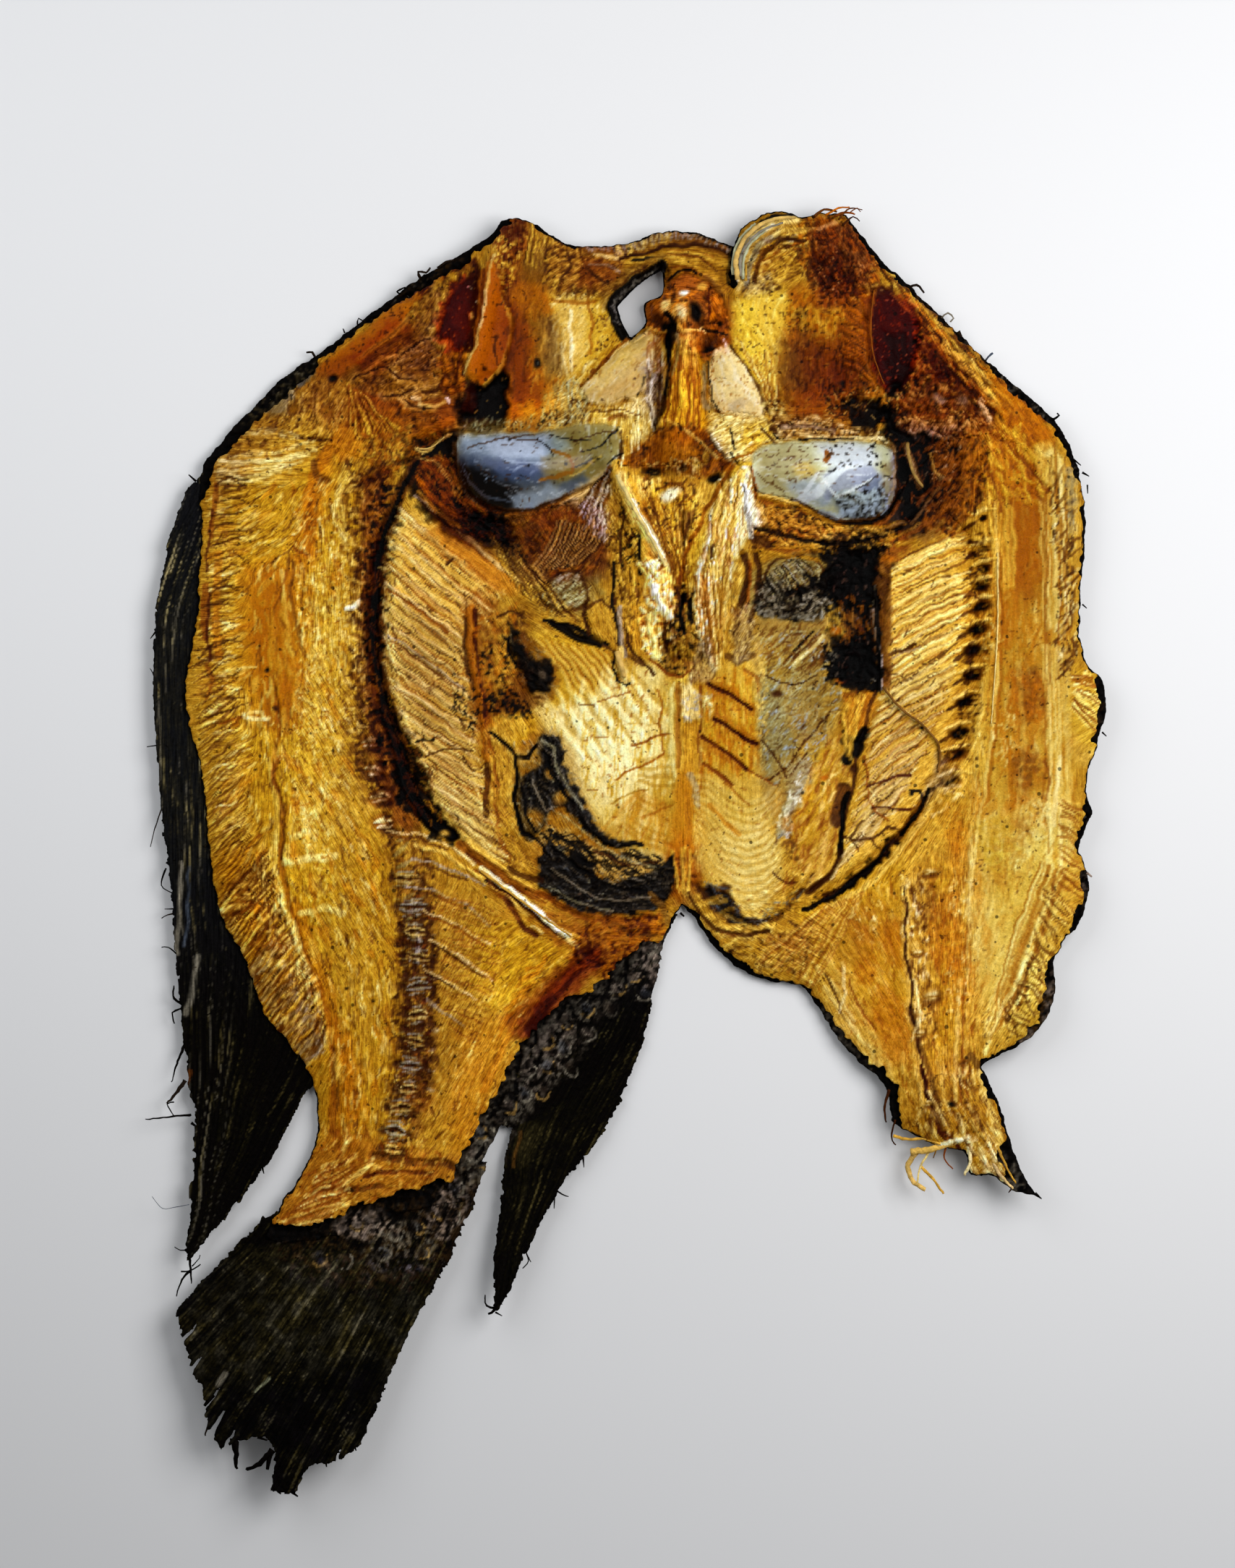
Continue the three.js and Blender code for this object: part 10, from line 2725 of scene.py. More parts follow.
# fins
finLook = {
    "rayLength": 26, "wideRayLength": 34, "wideRayWidth": 0.9,
    "web": 0.035, "finest": 0.8,  # brightness of the web, size of its grain
    "fraySize": 1.2, "frayDepth": 0.45,
    "top": 1.5, "bottom": 0.5,  # heights above the skin
}
# places and the way the rays run there, in degrees
finComb = [
    (-106, 70, 72), (-110, 40, 88), (-108, 10, 93), (-105, -20, 96), (-103, -50, 92), (-103, -80, 90),
    (-97, -60, 82), (-92, -30, 82), (-88, -55, 72), (-82, -58, 62), (-92, -78, 64), (-98, 0, 88),
    (-99, -84, 76), (-94, -97, 42), (-98, -110, 46), (-88, -108, 50), (-78, -112, 56), (-90, -126, 54),
    (-70, -120, 60), (-56, -112, 64), (-66, -134, 62), (-80, -136, 60), (-46, -96, 64), (-60, -94, 58),
    (-76, -94, 50), (-82, -146, 66), (4, -34, 70), (-4, -50, 62), (-12, -52, 58), (-12, -68, 62),
    (-20, -70, 70), (-24, -88, 72), (-28, -100, 78), (-26, -76, 82), (0, -24, 66), (-18, -84, 64),
]
finAngle = combField(finComb)
rays = combed(finAngle, finLook["rayLength"], cell, 80)
wideRays = combed(finAngle, finLook["wideRayLength"], finLook["wideRayWidth"], 81)
cloth = noise(gridX / 9, gridY / 9, 82, 3)
# how much of the brown web shows between the black rays: much on the tail, little on the others
web = np.full(gridX.shape, finLook["web"])
webFields = [
    ([(-92, -94), (-76, -94), (-60, -98), (-46, -98), (-52, -118), (-62, -138), (-76, -142), (-98, -134),
      (-104, -112), (-100, -104)], 0.28, 9),
    ([(-84, -94), (-70, -94), (-62, -102), (-66, -116), (-86, -116)], 0.4, 9),
    ([(-78, -124), (-60, -118), (-60, -136), (-76, -142), (-98, -134), (-96, -124)], 0.05, 9),
    ([(-108, -4), (-100, -6), (-98, -40), (-98, -84), (-104, -92), (-103, -50)], 0.05, 3),
    ([(-96, -50), (-88, -52), (-90, -74), (-98, -80)], 0.06, 3),
    ([(-113, 66), (-104, 74), (-100, 30), (-99, 0), (-108, -8), (-113, 30)], 0.13, 3),
    ([(-10, -56), (-2, -52), (-16, -78), (-28, -100), (-30, -80), (-26, -66)], 0.08, 3),
    ([(-26, -64), (-20, -64), (-24, -74), (-28, -74)], 0.3, 2),
]
for points, amount, soft in webFields:
    field = edgeField(smoothRun(points + points[:1], 2))
    web += (amount - web) * smooth(field / soft + 0.5)
streaks = (0.9 * rays + 0.35 * wideRays) * (0.35 + 0.65 * smooth(0.5 + noise(gridX / 4, gridY / 4, 84, 2)))
fin["angle"] = finAngle
fineGrain = noise(gridX / finLook["finest"], gridY / finLook["finest"], 83, 2)
shade = (2.6 - 1.3 * web) * streaks + 0.4 * cloth + 0.7 * fineGrain + 0.6 * noise(gridX / 3.4, gridY / 3.4,
                                                                                  85, 3)
shade = web * np.exp(shade)
# the rays lighter where they stand up, partly their own colour and partly painted highlight
fin["paint"] *= np.exp(0.6 * streaks)[..., None]
fin["paint"] = np.maximum(fin["paint"], tints["ray"] ** 3 * np.minimum(shade, 3)[..., None])
# painted sheen: the rays lightened, more towards the head end, with a grey-blue cast
sheen = smooth((0.6 * wideRays + 0.5 * rays + 0.5 * cloth - 0.55) * 2.2)[..., None]
fin["paint"] += tints["ray"] ** 3 * (1.3 + 5.5 * smooth((gridY + 40) / 70))[..., None] * sheen
fin["paint"] += tints["slate"] ** 3 * 0.16 * smooth((gridY + 50) / 60)[..., None] * (0.25 + sheen)
# the tail is blotched grey green and brown over its rays, the back fin has fine pale lines
onTail = smooth((-93 - gridY) / 5) * smooth((-44 - gridX) / 5)
blotch = noise(gridX / 4.5, gridY / 4.5, 86, 4)
green = smooth(0.5 + 1.4 * blotch)
for channel, gain in enumerate((0.0, 0.1, 0.75)):
    gained = 0.75 * blotch + 0.5 * noise(gridX / 1.3, gridY / 1.3, 87, 3) + gain * green - 0.1
    fin["paint"][..., channel] *= np.exp(onTail * gained)
fineLines = smooth((rays - 0.5) * 2.4) * smooth((-96 - gridX) / 8 + 0.5) * smooth((gridY + 104) / 20)
fin["paint"] += tints["grey"] ** 3 * (0.22 * fineLines * np.exp(0.5 * cloth))[..., None]
fin["height"] = 0.3 * wideRays + 0.16 * rays + 0.4 * fin["height"]
# single pale or brown rays: points, half width, colour
singleRays = [
    ([(-105.4, -3), (-105.6, -12), (-106.4, -24)], 0.45, "grey"),
    ([(-101.6, -25), (-102.6, -31), (-104, -38)], 0.5, "grey"),
    ([(-103.6, -4), (-103.8, -14), (-104.6, -22)], 0.3, "slate"),
    ([(-96.4, -124.8), (-95.4, -123.6), (-94.6, -122.6)], 0.6, "grey"),
    ([(-87.4, -126.6), (-85.6, -124.6), (-84.4, -123)], 0.2, "silver"),
    ([(-25.6, -66), (-26.4, -70), (-27.4, -74)], 0.3, "olive"),
    ([(-103.4, -52), (-104.6, -56)], 0.7, "brown"),
]
for points, half, colour in singleRays:
    points = smoothRun(points, 2)
    where = windowOf(points, half + 1)
    far, share = toLine(points, roughX[where], roughY[where])
    mask = (smooth((half - far) / 0.5 + 0.5) * (0.45 + 0.35 * rays[where]))[..., None]
    fin["paint"][where] += (tints[colour] ** 3 - fin["paint"][where]) * np.clip(mask, 0, 1)
finTop = skinZ + finLook["top"] + fin["height"]
finBottom = skinZ + finLook["bottom"]
finPieces = []
# splits from the fin ends inwards: points, half width at the end
slits = [
    ([(-100.4, -130.6), (-97.6, -128), (-95.8, -125.4)], 0.8),
    ([(-98.6, -138), (-96.6, -134), (-94.8, -130.6)], 0.9),
    ([(-94.8, -142), (-93.8, -138), (-92.4, -134.6)], 0.7),
    ([(-90.6, -146), (-89.6, -140), (-88.2, -136.4)], 0.8),
    ([(-69, -145), (-68, -141), (-66.8, -138)], 0.5), ([(-58, -142), (-58.4, -138.6), (-57.6, -136)], 0.4),
    ([(-106, -116), (-103.6, -113), (-101, -110.4)], 0.6),
    ([(-103, -122), (-101, -119.6), (-99.6, -117.6)], 0.5),
    ([(-108, -60), (-105.4, -56), (-104, -50)], 0.6), ([(-107.6, -40), (-106.4, -34), (-105.8, -28)], 0.4),
]
finOutlines = {"dorsalFin": dorsalFinOutline, "tailFin": tailFinOutline, "analFin": analFinOutline}
for name, stretches in finOutlines.items():
    finDistance = edgeField(ragged(ring(stretches), finLook["fraySize"], finLook["frayDepth"], 5))
    frayed = finDistance + 0.5 * rays * smooth(1 - np.abs(finDistance) / 3)
    for points, half in slits:
        run = smoothRun(points, 2)
        where = windowOf(run, half + 1)
        far, share = toLine(run, roughX[where], roughY[where])
        frayed[where] = np.minimum(frayed[where], far - half * (1 - 0.8 * share))
    finPieces.append(cutOut(name, frayed, finTop, finBottom, fin, hiddenStep=1))
print("fins")


# plates of bone and gill cover, lifted a little off the flesh round them
plateLook = {"blur": 2.0, "edgeRound": 1.2, "crownReach": 6, "grain": 0.08, "drop": 1.2}


def plate(name, outline, thick, crown, slack=0.4):
    distance = edgeField(smoothRun(list(outline) + [outline[0]], 1.0))
    ground = blurred(fleshZ, plateLook["blur"])
    edge = 1 - np.exp(-np.maximum(distance, 0) / plateLook["edgeRound"])
    shown = ground + thick * edge + crown * smooth(distance / plateLook["crownReach"])
    shown = shown + plateLook["grain"] * noise(gridX / 1.5, gridY / 1.5, 98, 2)
    return cutOut(name, distance - slack, shown, ground - plateLook["drop"], flesh)


plates = {
    "gill_cover": [plate("leftGillCover", coverLeft, 0.7, 0.9),
                   plate("rightGillCover", coverRight, 0.7, 0.9)],
    "bone": [plate("leftPalateBone", boneLeft, 0.8, 0.5, 0.5),
             plate("rightPalateBone", boneRight, 0.8, 0.5, 0.5)],
}


# ropes: tapered strands along runs of places with their height, seen as fibres, hairs and spines
ropeLook = {"sides": 6, "step": 0.7, "wobble": 0.12, "gloss": 0.4}


def ropes(name, rows, ground):
    bm = bmesh.new()
    paintLayer = bm.verts.layers.float_color.new("paint")
    glossLayer = bm.verts.layers.float.new("gloss")
    rng = np.random.default_rng(len(rows))
    for points, half, thick, tip, colour in rows:
        run = smoothRun([p[:2] for p in points], ropeLook["step"])
        lifts = np.interp(np.linspace(0, 1, len(run)), np.linspace(0, 1, len(points)),
                          [p[2] for p in points])
        run = run + ropeLook["wobble"] * half * rng.standard_normal(run.shape)
        z = between(ground, run[:, 0], run[:, 1]) + lifts
        spots = [Vector((x, y, h)) * unit for (x, y), h in zip(run, z)]
        before = None
        for k, spot in enumerate(spots):
            ahead = (spots[min(k + 1, len(spots) - 1)] - spots[max(k - 1, 0)]).normalized()
            side = ahead.cross(Vector((0, 0, 1))).normalized()
            t = k / (len(spots) - 1)
            width = (1 + (tip - 1) * t) * rng.uniform(0.85, 1.15) * unit
            turned = Matrix((side * half * width, side.cross(ahead) * thick * width,
                             ahead)).transposed().to_4x4()
            capped = k in (0, len(spots) - 1)
            made = bmesh.ops.create_circle(bm, cap_ends=capped, segments=ropeLook["sides"], radius=1,
                                           matrix=Matrix.Translation(spot) @ turned)["verts"]
            shade = tints[colour] ** 3 * rng.uniform(0.7, 1.25)
            for v in made:
                v[paintLayer] = (*shade, 1)
                v[glossLayer] = ropeLook["gloss"]
            edges = list({e for v in made for e in v.link_edges if all(w in made for w in e.verts)})
            if before:
                bmesh.ops.bridge_loops(bm, edges=before + edges)
            before = edges
    bmesh.ops.recalc_face_normals(bm, faces=bm.faces)
    mesh = bpy.data.meshes.new(name)
    bm.to_mesh(mesh)
    bm.free()
    mesh.polygons.foreach_set("use_smooth", [True] * len(mesh.polygons))
    piece = bpy.data.objects.new(name, mesh)
    bpy.context.scene.collection.objects.link(piece)
    print(name, sum(len(p.vertices) - 2 for p in mesh.polygons), "triangles")
    return piece


# hairs and barbs along the fins and the skin: places with height, half width, half thickness, tip, colour
hairs = [
    ([(-103, -62, 1), (-108, -62.4, 1.4), (-113.6, -63, 1.2)], 0.35, 0.3, 0.4, "char"),
    ([(-107, -59, 1), (-108.6, -59.4, 1.4), (-107, -62.2, 1)], 0.2, 0.2, 0.7, "char"),
    ([(-104.6, -54, 1), (-106.6, -57, 1), (-108.6, -59.2, 1.6)], 0.6, 0.3, 0.4, "soot"),
    ([(-104, -44, 1), (-106.4, -50, 1.4), (-107.6, -54.4, 1)], 0.45, 0.3, 0.3, "char"),
    ([(-105, -36, 1), (-107, -34.6, 2), (-107, -31.6, 1.6)], 0.4, 0.3, 0.4, "char"),
    ([(-105, -37, 1), (-107.4, -38, 1.6), (-107, -40.6, 1)], 0.3, 0.3, 0.5, "char"),
    ([(-106, -24.6, 1), (-108.4, -22.6, 1.6), (-110, -22.6, 1.2)], 0.22, 0.22, 0.6, "char"),
    ([(-106.8, -14.6, 1), (-108.6, -15, 1.4), (-110, -15.8, 1)], 0.25, 0.2, 0.5, "soot"),
    ([(-107, -13.6, 1), (-109.2, -13.6, 1.6)], 0.2, 0.2, 0.5, "char"),
    ([(-109, -4, 1), (-110, -8, 1.4), (-107.4, -10, 1)], 0.25, 0.2, 0.5, "char"),
    ([(-110, 10, 1), (-111.6, 5, 1.5), (-112.6, 1, 1)], 0.2, 0.2, 0.5, "soot"),
    ([(-110.6, 25, 1), (-113.4, 24.6, 1.6)], 0.2, 0.2, 0.6, "char"),
    ([(-111, 40, 1), (-112.6, 43, 1.4)], 0.2, 0.2, 0.5, "char"),
    ([(-103.4, -83, 1), (-107, -83.6, 1.2), (-109.6, -83.8, 1), (-112, -81, 1)], 0.09, 0.09, 0.7, "slate"),
    ([(-103.4, -94.6, 1), (-103, -98, 1), (-102.8, -101.6, 0.6)], 0.4, 0.3, 0.4, "char"),
    ([(-103.6, -93.6, 1), (-105.4, -93.6, 1.2), (-106.8, -92.8, 1)], 0.22, 0.2, 0.5, "char"),
    ([(-103, -98.4, 1), (-105, -100.6, 1), (-106.2, -104.4, 0.8)], 0.35, 0.25, 0.4, "char"),
    ([(-105.2, -98.6, 1.2), (-103, -98.4, 1.4), (-100.6, -97, 1.2)], 0.25, 0.2, 0.6, "char"),
    ([(-102.6, -97.4, 1), (-101, -95.6, 1.2), (-100.8, -94.8, 1)], 0.2, 0.2, 0.6, "char"),
    ([(-97, -80, 1), (-95.6, -82.4, 1.2)], 0.3, 0.2, 0.5, "char"),
    ([(-86.4, -74.4, 1), (-86, -76, 1)], 0.35, 0.2, 0.4, "char"),
    ([(-103, -64, 1), (-101.4, -65, 1.2)], 0.4, 0.3, 0.5, "char"),
    # tail
    ([(-92.4, -137.4, 1), (-92, -141, 1.2), (-91.8, -144.4, 0.8)], 1.1, 0.4, 0.25, "char"),
    ([(-83.4, -140, 1), (-86.4, -143, 1.2), (-89.6, -144.6, 0.6)], 1.0, 0.4, 0.4, "char"),
    ([(-84, -140.6, 1), (-84.6, -144.4, 0.8)], 0.8, 0.4, 0.5, "char"),
    ([(-97.6, -131, 1), (-98.6, -134.4, 1), (-99.2, -136.8, 0.8)], 0.6, 0.3, 0.3, "soot"),
    ([(-97.6, -127, 1), (-99.4, -129.6, 1.2)], 0.8, 0.3, 0.5, "char"),
    ([(-87, -137, 1), (-84.6, -137.6, 1.2)], 0.4, 0.3, 0.6, "char"),
    ([(-83.6, -149, 1), (-83.2, -148.2, 1.6), (-81.4, -150, 0.8)], 0.35, 0.3, 0.5, "char"),
    ([(-79, -149.4, 1), (-77.4, -150.6, 0.8)], 0.4, 0.3, 0.5, "char"),
    ([(-71, -142, 1), (-70.8, -143.8, 0.8)], 0.4, 0.3, 0.4, "char"),
    ([(-64.4, -138.4, 1), (-63.8, -140, 0.8)], 0.35, 0.3, 0.5, "char"),
    ([(-105, -107.6, 1), (-106.2, -109, 0.8)], 0.5, 0.3, 0.5, "char"),
    # anal fin
    ([(-30, -105.6, 1), (-31.6, -107.4, 1.2), (-33, -108.4, 0.8)], 0.6, 0.4, 0.5, "char"),
    ([(-31.6, -107, 1.2), (-33.4, -106.4, 1.6), (-33.8, -104, 1)], 0.3, 0.25, 0.5, "char"),
    ([(-31.4, -108, 1), (-29.8, -108.8, 0.8)], 0.25, 0.2, 0.5, "char"),
    ([(-24.6, -93, 1), (-23.6, -96, 1.4), (-25, -97.8, 1)], 0.22, 0.2, 0.6, "char"),
    ([(-24, -94.6, 1), (-23, -96.4, 1.2)], 0.2, 0.2, 0.5, "char"),
    ([(-17.4, -79.4, 1), (-15.8, -80.6, 1.4), (-14.2, -81.2, 1)], 0.3, 0.25, 0.4, "char"),
    ([(-17.4, -80, 1), (-17.6, -82.6, 1), (-17.6, -84, 0.8)], 0.25, 0.2, 0.5, "char"),
    ([(-10.8, -72, 1), (-10.6, -74.4, 0.8)], 0.35, 0.25, 0.3, "char"),
    ([(-30.8, -92, 1), (-31.8, -94.4, 1)], 0.25, 0.2, 0.5, "char"),
    ([(12, -14.6, 1.2), (13, -15.4, 1)], 0.35, 0.3, 0.8, "char"),
    # rims of the head and the right side
    ([(-74, 116.4, 2), (-74.6, 117.4, 2.6), (-76, 117.4, 2)], 0.35, 0.2, 0.6, "soot"),
    ([(-67, 122, 2), (-67.4, 123, 2.4)], 0.25, 0.2, 0.5, "char"),
    ([(-64, 124, 2), (-63.6, 125.4, 2.6), (-62.6, 124.8, 2)], 0.22, 0.2, 0.7, "char"),
    ([(-49, 134.6, 2), (-49.6, 136.2, 2.6), (-47.6, 136, 2.4), (-46.8, 137.2, 2)], 0.4, 0.25, 0.6, "soot"),
    ([(-54, 131, 2), (-54.6, 131.6, 2.4), (-52.6, 132.6, 2)], 0.3, 0.2, 0.6, "char"),
    ([(-45, 137, 2), (-43, 138.4, 2.6), (-41, 138.8, 2)], 0.35, 0.25, 0.6, "soot"),
    ([(66, 132.6, 2), (67.6, 133.2, 2.6), (69.4, 131.4, 2)], 0.4, 0.25, 0.6, "soot"),
    ([(73.6, 125.6, 2), (75, 126.6, 2.8), (76.4, 125.4, 2.4), (75.6, 124.6, 2)], 0.25, 0.2, 0.8, "grey"),
    ([(77.6, 122.4, 2), (78.4, 121, 2)], 0.5, 0.25, 0.5, "soot"),
    ([(84, 115.6, 2), (85.2, 117, 3), (85.6, 117.2, 3)], 0.25, 0.2, 1.2, "slate"),
    ([(99.6, 101.4, 2), (101, 102.4, 2.6), (100.6, 103, 2)], 0.35, 0.25, 0.6, "char"),
    ([(104.4, 92, 2), (106, 90.6, 2.4)], 0.3, 0.2, 0.4, "char"),
    ([(106.4, 89, 2), (108, 88, 2.4)], 0.3, 0.2, 0.4, "char"),
    ([(107.6, 86, 2), (107.6, 84, 2.4)], 0.25, 0.2, 0.5, "char"),
    ([(106.4, 58, 2), (107.4, 57, 2.2)], 0.25, 0.2, 0.5, "char"),
    ([(111, 28, 2), (112, 27, 2)], 0.25, 0.2, 0.5, "char"),
    ([(107.4, -5, 2), (108.6, -6, 2)], 0.4, 0.25, 0.5, "lilac"),
    ([(95, -80, 1.4), (96.6, -81.4, 1)], 0.5, 0.3, 0.3, "char"),
    ([(90, -78.6, 1.6), (89, -80, 1.2)], 0.3, 0.25, 0.4, "umber"),
    ([(-111, 52, 1), (-112.6, 50, 1)], 0.3, 0.2, 0.4, "char"),
    ([(-110.6, 60, 1), (-111.4, 57, 1.2)], 0.3, 0.2, 0.4, "char"),
    ([(-102, 87, 2), (-103.6, 88.6, 2.4)], 0.4, 0.25, 0.5, "char"),
]
rimHairs = ropes("rimHairs", hairs, skinZ)
# fibres torn loose: places with height, half width, half thickness, tip, colour
torn = [
    ([(62, -66.6, 2.6), (65, -67.6, 2), (69, -67.4, 2.2), (73, -68.6, 3)], 0.45, 0.3, 0.7, "straw"),
    ([(66, -70.4, 1.6), (70.4, -70, 2), (75, -68.4, 2.6), (80, -67.4, 3.4)], 0.9, 0.5, 0.8, "sand"),
    ([(67.6, -70.6, 1), (65.6, -73.4, 0.6), (66.4, -77, 0.5), (69.6, -79.6, 0.5)], 0.75, 0.4, 0.7, "bone"),
    ([(68.6, -74, 0.8), (71.4, -77, 0.8), (73.8, -80.4, 0.5)], 0.45, 0.3, 0.6, "straw"),
    ([(71, -69.4, 1.6), (68.4, -74, 1), (67.6, -78.6, 0.5)], 0.35, 0.3, 0.6, "cream"),
    ([(74.6, -68, 2), (74, -72, 1.2), (76, -74.6, 1)], 0.3, 0.25, 0.5, "rust"),
    ([(79.6, -68.6, 3), (80, -72.6, 2.6), (78.6, -75.8, 2)], 0.55, 0.4, 0.6, "pale"),
    ([(84, -70, 4), (86.4, -75, 3.4), (90, -79, 2)], 0.55, 0.4, 0.5, "pink"),
    ([(86, -68.6, 4), (88.4, -74, 3.4), (90.6, -77.6, 2)], 0.4, 0.35, 0.5, "straw"),
    ([(62.4, -63, 3), (61.6, -67, 1.6), (62.6, -69, 0.8)], 0.3, 0.25, 0.5, "umber"),
    ([(61, -56, 3), (60, -60, 2), (60.4, -63.6, 1.4)], 0.4, 0.3, 0.6, "umber"),
    ([(72.6, -68, 2.6), (71.4, -72, 1.4)], 0.3, 0.25, 0.5, "hay"),
    # frayed fibres on the right peak
    ([(48, 148.6, 4), (50.6, 149.6, 4.6), (53, 149.2, 4)], 0.4, 0.3, 0.5, "rust"),
    ([(49, 148, 4), (51.6, 150.4, 5), (54.6, 150.2, 4.4)], 0.25, 0.2, 0.5, "brown"),
    ([(46, 149, 4), (49, 150.6, 4.6), (51.6, 150.8, 4)], 0.35, 0.25, 0.5, "amber"),
    ([(43, 148.4, 4), (45.6, 150.2, 5), (48.6, 149.8, 4)], 0.4, 0.3, 0.6, "brown"),
    ([(50, 146.6, 4), (52.4, 148.6, 4.6), (54, 147.6, 4)], 0.3, 0.25, 0.5, "umber"),
    ([(51.6, 149.6, 4), (53.4, 150.6, 4.4), (54.2, 149.8, 4)], 0.18, 0.18, 0.6, "rust"),
]
tornStrands = ropes("tornStrands", torn, skinZ)
# spines and strips: places with height, half width, half thickness, tip, colour
spines = [
    # the frayed grey-white strip curled over the right peak
    ([(25.2, 134, 1.4), (25, 138.6, 2), (26.6, 142.6, 2.4), (30, 146, 2.6), (34, 147.8, 2.4),
      (39, 148.4, 1.2)], 0.7, 0.5, 0.5, "bone"),
    ([(24.4, 135, 1.2), (24.4, 139, 1.8), (26, 143.4, 2.2), (29.6, 147, 2.4)], 0.5, 0.4, 0.5, "silver"),
    ([(26, 134.6, 1.2), (26, 138.6, 1.8), (27.6, 142, 2.2), (31, 145, 2.2), (36, 147, 1.4)], 0.45, 0.4, 0.5,
     "grey"),
    ([(26.6, 134, 1), (26.8, 138.6, 1.4), (28.6, 142.4, 1.6), (32, 145.4, 1.4)], 0.45, 0.4, 0.7, "silver"),
    ([(27.2, 133.6, 1), (27.4, 137.4, 1.2)], 0.4, 0.3, 0.6, "straw"),
    # ribs and spines that stand clear of the flesh
    ([(59.6, 38.6, 0.6), (62, 35.4, 0.9), (65, 32.4, 0.9), (68, 30.4, 0.9), (72, 26, 0.9), (73, 22.6, 0.8),
      (72.6, 18.6, 0.5)], 0.35, 0.35, 0.8, "olive"),
    ([(65.4, 96, 1.6), (65.8, 92.4, 2.2), (67, 88.6, 2), (69, 85.6, 1.2)], 0.5, 0.4, 0.7, "film"),
    ([(-2.8, 88, 0.5), (1, 80.6, 1), (5, 73.4, 1), (8.6, 66.6, 0.6)], 0.6, 0.5, 0.6, "cream"),
    ([(-34.8, -4.6, 0.2), (-24, -12.6, 0.5), (-13.6, -20, 0.2)], 0.35, 0.3, 0.5, "straw"),
    ([(-49.6, 94.6, 0.4), (-46.6, 95, 0.6), (-43.4, 97.4, 0.5)], 0.25, 0.25, 0.6, "bone"),
    ([(86.4, 70, 0.2), (86.4, 52, 0.3), (85, 30, 0.2)], 0.2, 0.2, 0.7, "cream"),
    ([(57.4, 131.4, 0.6), (56.6, 124, 0.9), (57.2, 116.6, 0.9), (59.8, 109.6, 0.6)], 0.16, 0.3, 0.8,
     "caramel"),
    ([(-3, 47, 0.6), (-1.8, 43.4, 0.9), (-1.2, 40.8, 0.5)], 0.7, 0.6, 0.8, "bone"),
]
looseSpines = ropes("looseSpines", spines, fleshZ)


# a new finish, with a helper that adds nodes to it
def newFinish(name):
    finish = bpy.data.materials.new(name)
    finish.use_nodes = True
    tree = finish.node_tree
    shader = tree.nodes["Principled BSDF"]

    def add(kind, *links, **settings):
        node = tree.nodes.new("ShaderNode" + kind)
        for key, value in settings.items():
            if hasattr(node, key):
                setattr(node, key, value)
            else:
                node.inputs[key].default_value = value
        for socket, source in links:
            tree.links.new(source, node.inputs[socket])
        return node
    return finish, tree, shader, add


# fine lines along the fibres: the same stretched noise in six directions,
# each seen where the fibres run its way
def hairlines(add, coords, wide, long):
    along = add("Attribute", attribute_name="along")
    total = weights = None
    ways = 6
    for k in range(ways):
        turn = math.pi * k / ways
        placed = add("Mapping", ("Vector", coords.outputs["Object"]), vector_type="TEXTURE",
                     Rotation=(0, 0, turn), Scale=(long, wide, 1))
        lines = add("TexNoise", ("Vector", placed.outputs["Vector"]), noise_dimensions="2D", Scale=1.0,
                    Detail=2.0)
        agree = add("VectorMath", (0, along.outputs["Vector"]), operation="DOT_PRODUCT")
        agree.inputs[1].default_value = (math.cos(2 * turn), math.sin(2 * turn), 0)
        kept = add("Math", (0, agree.outputs["Value"]), operation="MAXIMUM")
        kept.inputs[1].default_value = 0.02
        weight = add("Math", (0, kept.outputs[0]), operation="POWER")
        weight.inputs[1].default_value = 5
        share = add("Math", (0, lines.outputs["Fac"]), (1, weight.outputs[0]), operation="MULTIPLY")
        total = share if total is None else add("Math", (0, total.outputs[0]), (1, share.outputs[0]))
        weights = weight if weights is None else add("Math", (0, weights.outputs[0]),
                                                     (1, weight.outputs[0]))
    return add("Math", (0, total.outputs[0]), (1, weights.outputs[0]), operation="DIVIDE")


